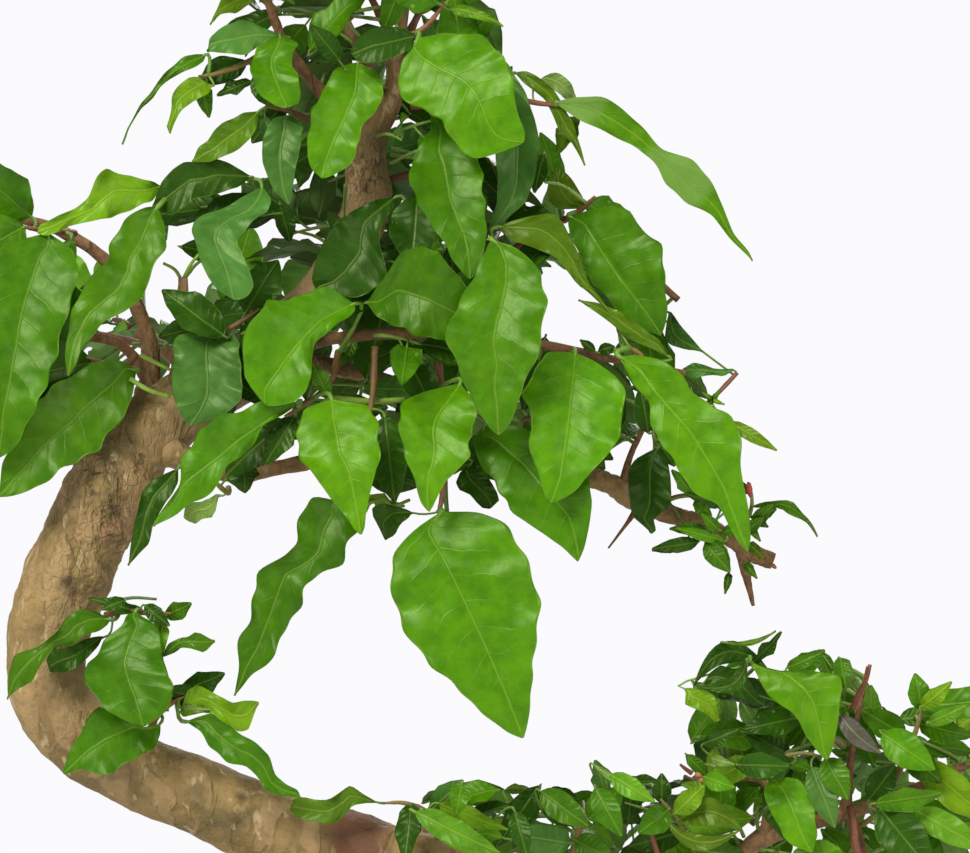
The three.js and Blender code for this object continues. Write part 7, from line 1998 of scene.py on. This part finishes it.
def make_grit():
    draw = random_from(77)
    build = Build()
    made = 0
    while made < GRIT_COUNT:
        angle, share = TURN * draw(), math.sqrt(draw())
        x = math.cos(angle) * share * (POT_LENGTH / 2 - EDGE - 2)
        y = math.sin(angle) * share * (POT_WIDTH / 2 - EDGE - 2)
        size, turn = 0.9 + 1.2 * draw() ** 2, 6.28 * draw()
        colour = GRIT_COLOURS[int(draw() * len(GRIT_COLOURS))]
        shade = 0.75 + 0.5 * draw()
        if math.hypot(x - TRUNK_FOOT_X, y) < AROUND_TRUNK or moss_reach(x, y) > GRIT_OUT_OF_MOSS:
            continue
        made += 1
        flat = 0.6 + 0.3 * draw()
        place = np.array([x, y, soil_height(x, y) + size * 0.25])
        c, s = math.cos(turn), math.sin(turn)
        spin = np.array([[c, -s, 0], [s, c, 0], [0, 0, 1]])
        stretch = np.array([1.2, 0.85, flat]) * size
        rough = [1 + 0.28 * (draw() - 0.5) for _ in STONE]
        rings = [place + (ring * stretch * own) @ spin.T for ring, own in zip(STONE, rough)]
        half = np.array([0, 0, size * flat])
        loft(build, rings, place - half, place + half, np.array(colour) * shade)
    build.piece("soil_grit", [SOIL], "soil")


MOSS_SIDES, MOSS_RINGS = 44, 11
MOSS_GREEN, TUFT_GREEN = (0.075, 0.135, 0.022), np.array([0.10, 0.19, 0.025])
MOSS_SINK = 0.6
TUFTS_A_SQUARE, TUFT_RADIUS, THIRD = 1.5, 0.45, 2.094
TUFT_FACES = [(0, 2, 1), (0, 1, 3), (1, 2, 3), (2, 0, 3)]


def make_moss():
    """Low cushions, each with its many pointed tufts."""
    build = Build()
    draw = random_from(91)
    for cx, cy, radius, tall in MOSS_PATCHES:
        rings = []
        for share in np.linspace(1.0, 0.06, MOSS_RINGS):
            crown = math.sqrt(max(0.0, 1 - share**2))
            ring = []
            for k in range(MOSS_SIDES):
                a = TURN * k / MOSS_SIDES
                c, s = math.cos(a), math.sin(a)
                reach = radius * share * (1 + 0.22 * noise.noise(Vector((c * 2 + cx, s * 2 + cy, 1))))
                x, y = cx + reach * c, cy + reach * s
                out = max(pot_share(x, y, EDGE + 1), 1)
                x, y = x / out, y / out
                height = tall * crown * (0.8 + 0.35 * noise.noise(Vector((x, y, 8)) / 4))
                ring.append((x, y, soil_height(x, y) - MOSS_SINK + height))
            rings.append(np.array(ring))
        top = rings[-1].mean(axis=0)
        base = np.array([cx, cy, SOIL_TOP - 1])
        loft(build, rings, base, top, MOSS_GREEN)
        for _ in range(int(radius * radius * TUFTS_A_SQUARE)):
            a, share = 6.28 * draw(), math.sqrt(draw())
            x, y = cx + radius * share * math.cos(a), cy + radius * share * math.sin(a)
            shade, lean, height = 0.7 + 0.7 * draw(), 1.2 * draw(), 1.1 + 0.9 * draw()
            if pot_share(x, y, EDGE + 1) > 1:
                continue
            z = soil_height(x, y) - MOSS_SINK + tall * math.sqrt(max(0.0, 1 - share**2)) * 0.8
            turn = 6.28 * draw()
            turns = [turn + k * THIRD for k in range(3)]
            foot = [(x + TUFT_RADIUS * math.cos(a), y + TUFT_RADIUS * math.sin(a), z - 0.4) for a in turns]
            tip = (x + lean * math.cos(turn), y + lean * math.sin(turn), z + height)
            build.add(np.array([*foot, tip]), [], TUFT_FACES, 0, TUFT_GREEN * shade)
    build.piece("moss", [MOSS], "soil")


MOSS = moss_material()
make_soil()
make_grit()
make_moss()
# The drain screens keep their CAD shape.
SCREEN = screen_material()
for node in ("drain_screen_left", "drain_screen_right"):
    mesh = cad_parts[node].data
    mesh.materials.clear()
    mesh.materials.append(SCREEN)

# Studio: a pale round floor, a bright even surround and soft lamps.
FLOOR_REACH = 1.3
FLOOR_SIDES = 96
floor_mesh = bpy.data.meshes.new("floor")
floor_turns = [TURN * k / FLOOR_SIDES for k in range(FLOOR_SIDES)]
floor_rim = [(FLOOR_REACH * math.cos(a), FLOOR_REACH * math.sin(a), 0) for a in floor_turns]
floor_mesh.from_pydata(floor_rim, [], [list(range(FLOOR_SIDES))])
floor = bpy.data.objects.new("floor", floor_mesh)
bpy.context.collection.objects.link(floor)
pale = Graph("pale_floor")
pale.shader.inputs["Base Color"].default_value = rgb(0.86, 0.86, 0.86)
pale.shader.inputs["Roughness"].default_value = 0.7
floor_mesh.materials.append(pale.material)

world = bpy.data.worlds.new("studio")
bpy.context.scene.world = world
world.use_nodes = True
surround = world.node_tree.nodes["Background"]
surround.inputs["Color"].default_value = rgb(0.963, 0.956, 0.975)
# The camera sees the surround at full strength, and the tree is lit by less of it.
ray = world.node_tree.nodes.new("ShaderNodeLightPath")
amount = world.node_tree.nodes.new("ShaderNodeMapRange")
WORLD_LIGHT = 0.40
amount.inputs["To Min"].default_value = WORLD_LIGHT
world.node_tree.links.new(ray.outputs["Is Camera Ray"], amount.inputs["Value"])
world.node_tree.links.new(amount.outputs["Result"], surround.inputs["Strength"])
bpy.context.scene.view_settings.view_transform = "Standard"
MIDDLE = Vector((0, 0, 0.3))


def lamp(name, place, size, power):
    """A square soft lamp that shines at the tree's middle."""
    data = bpy.data.lights.new(name, "AREA")
    data.shape, data.size, data.energy = "SQUARE", size, power
    made = bpy.data.objects.new(name, data)
    made.location = place
    made.rotation_mode = "QUATERNION"
    made.rotation_quaternion = (MIDDLE - Vector(place)).to_track_quat("-Z", "Y")
    bpy.context.collection.objects.link(made)


lamp("key", (-0.8, -1.3, 1.5), 0.9, 35)
lamp("fill", (1.3, -1.0, 0.7), 1.0, 8)
lamp("rim", (0.4, 1.5, 1.3), 0.9, 12)
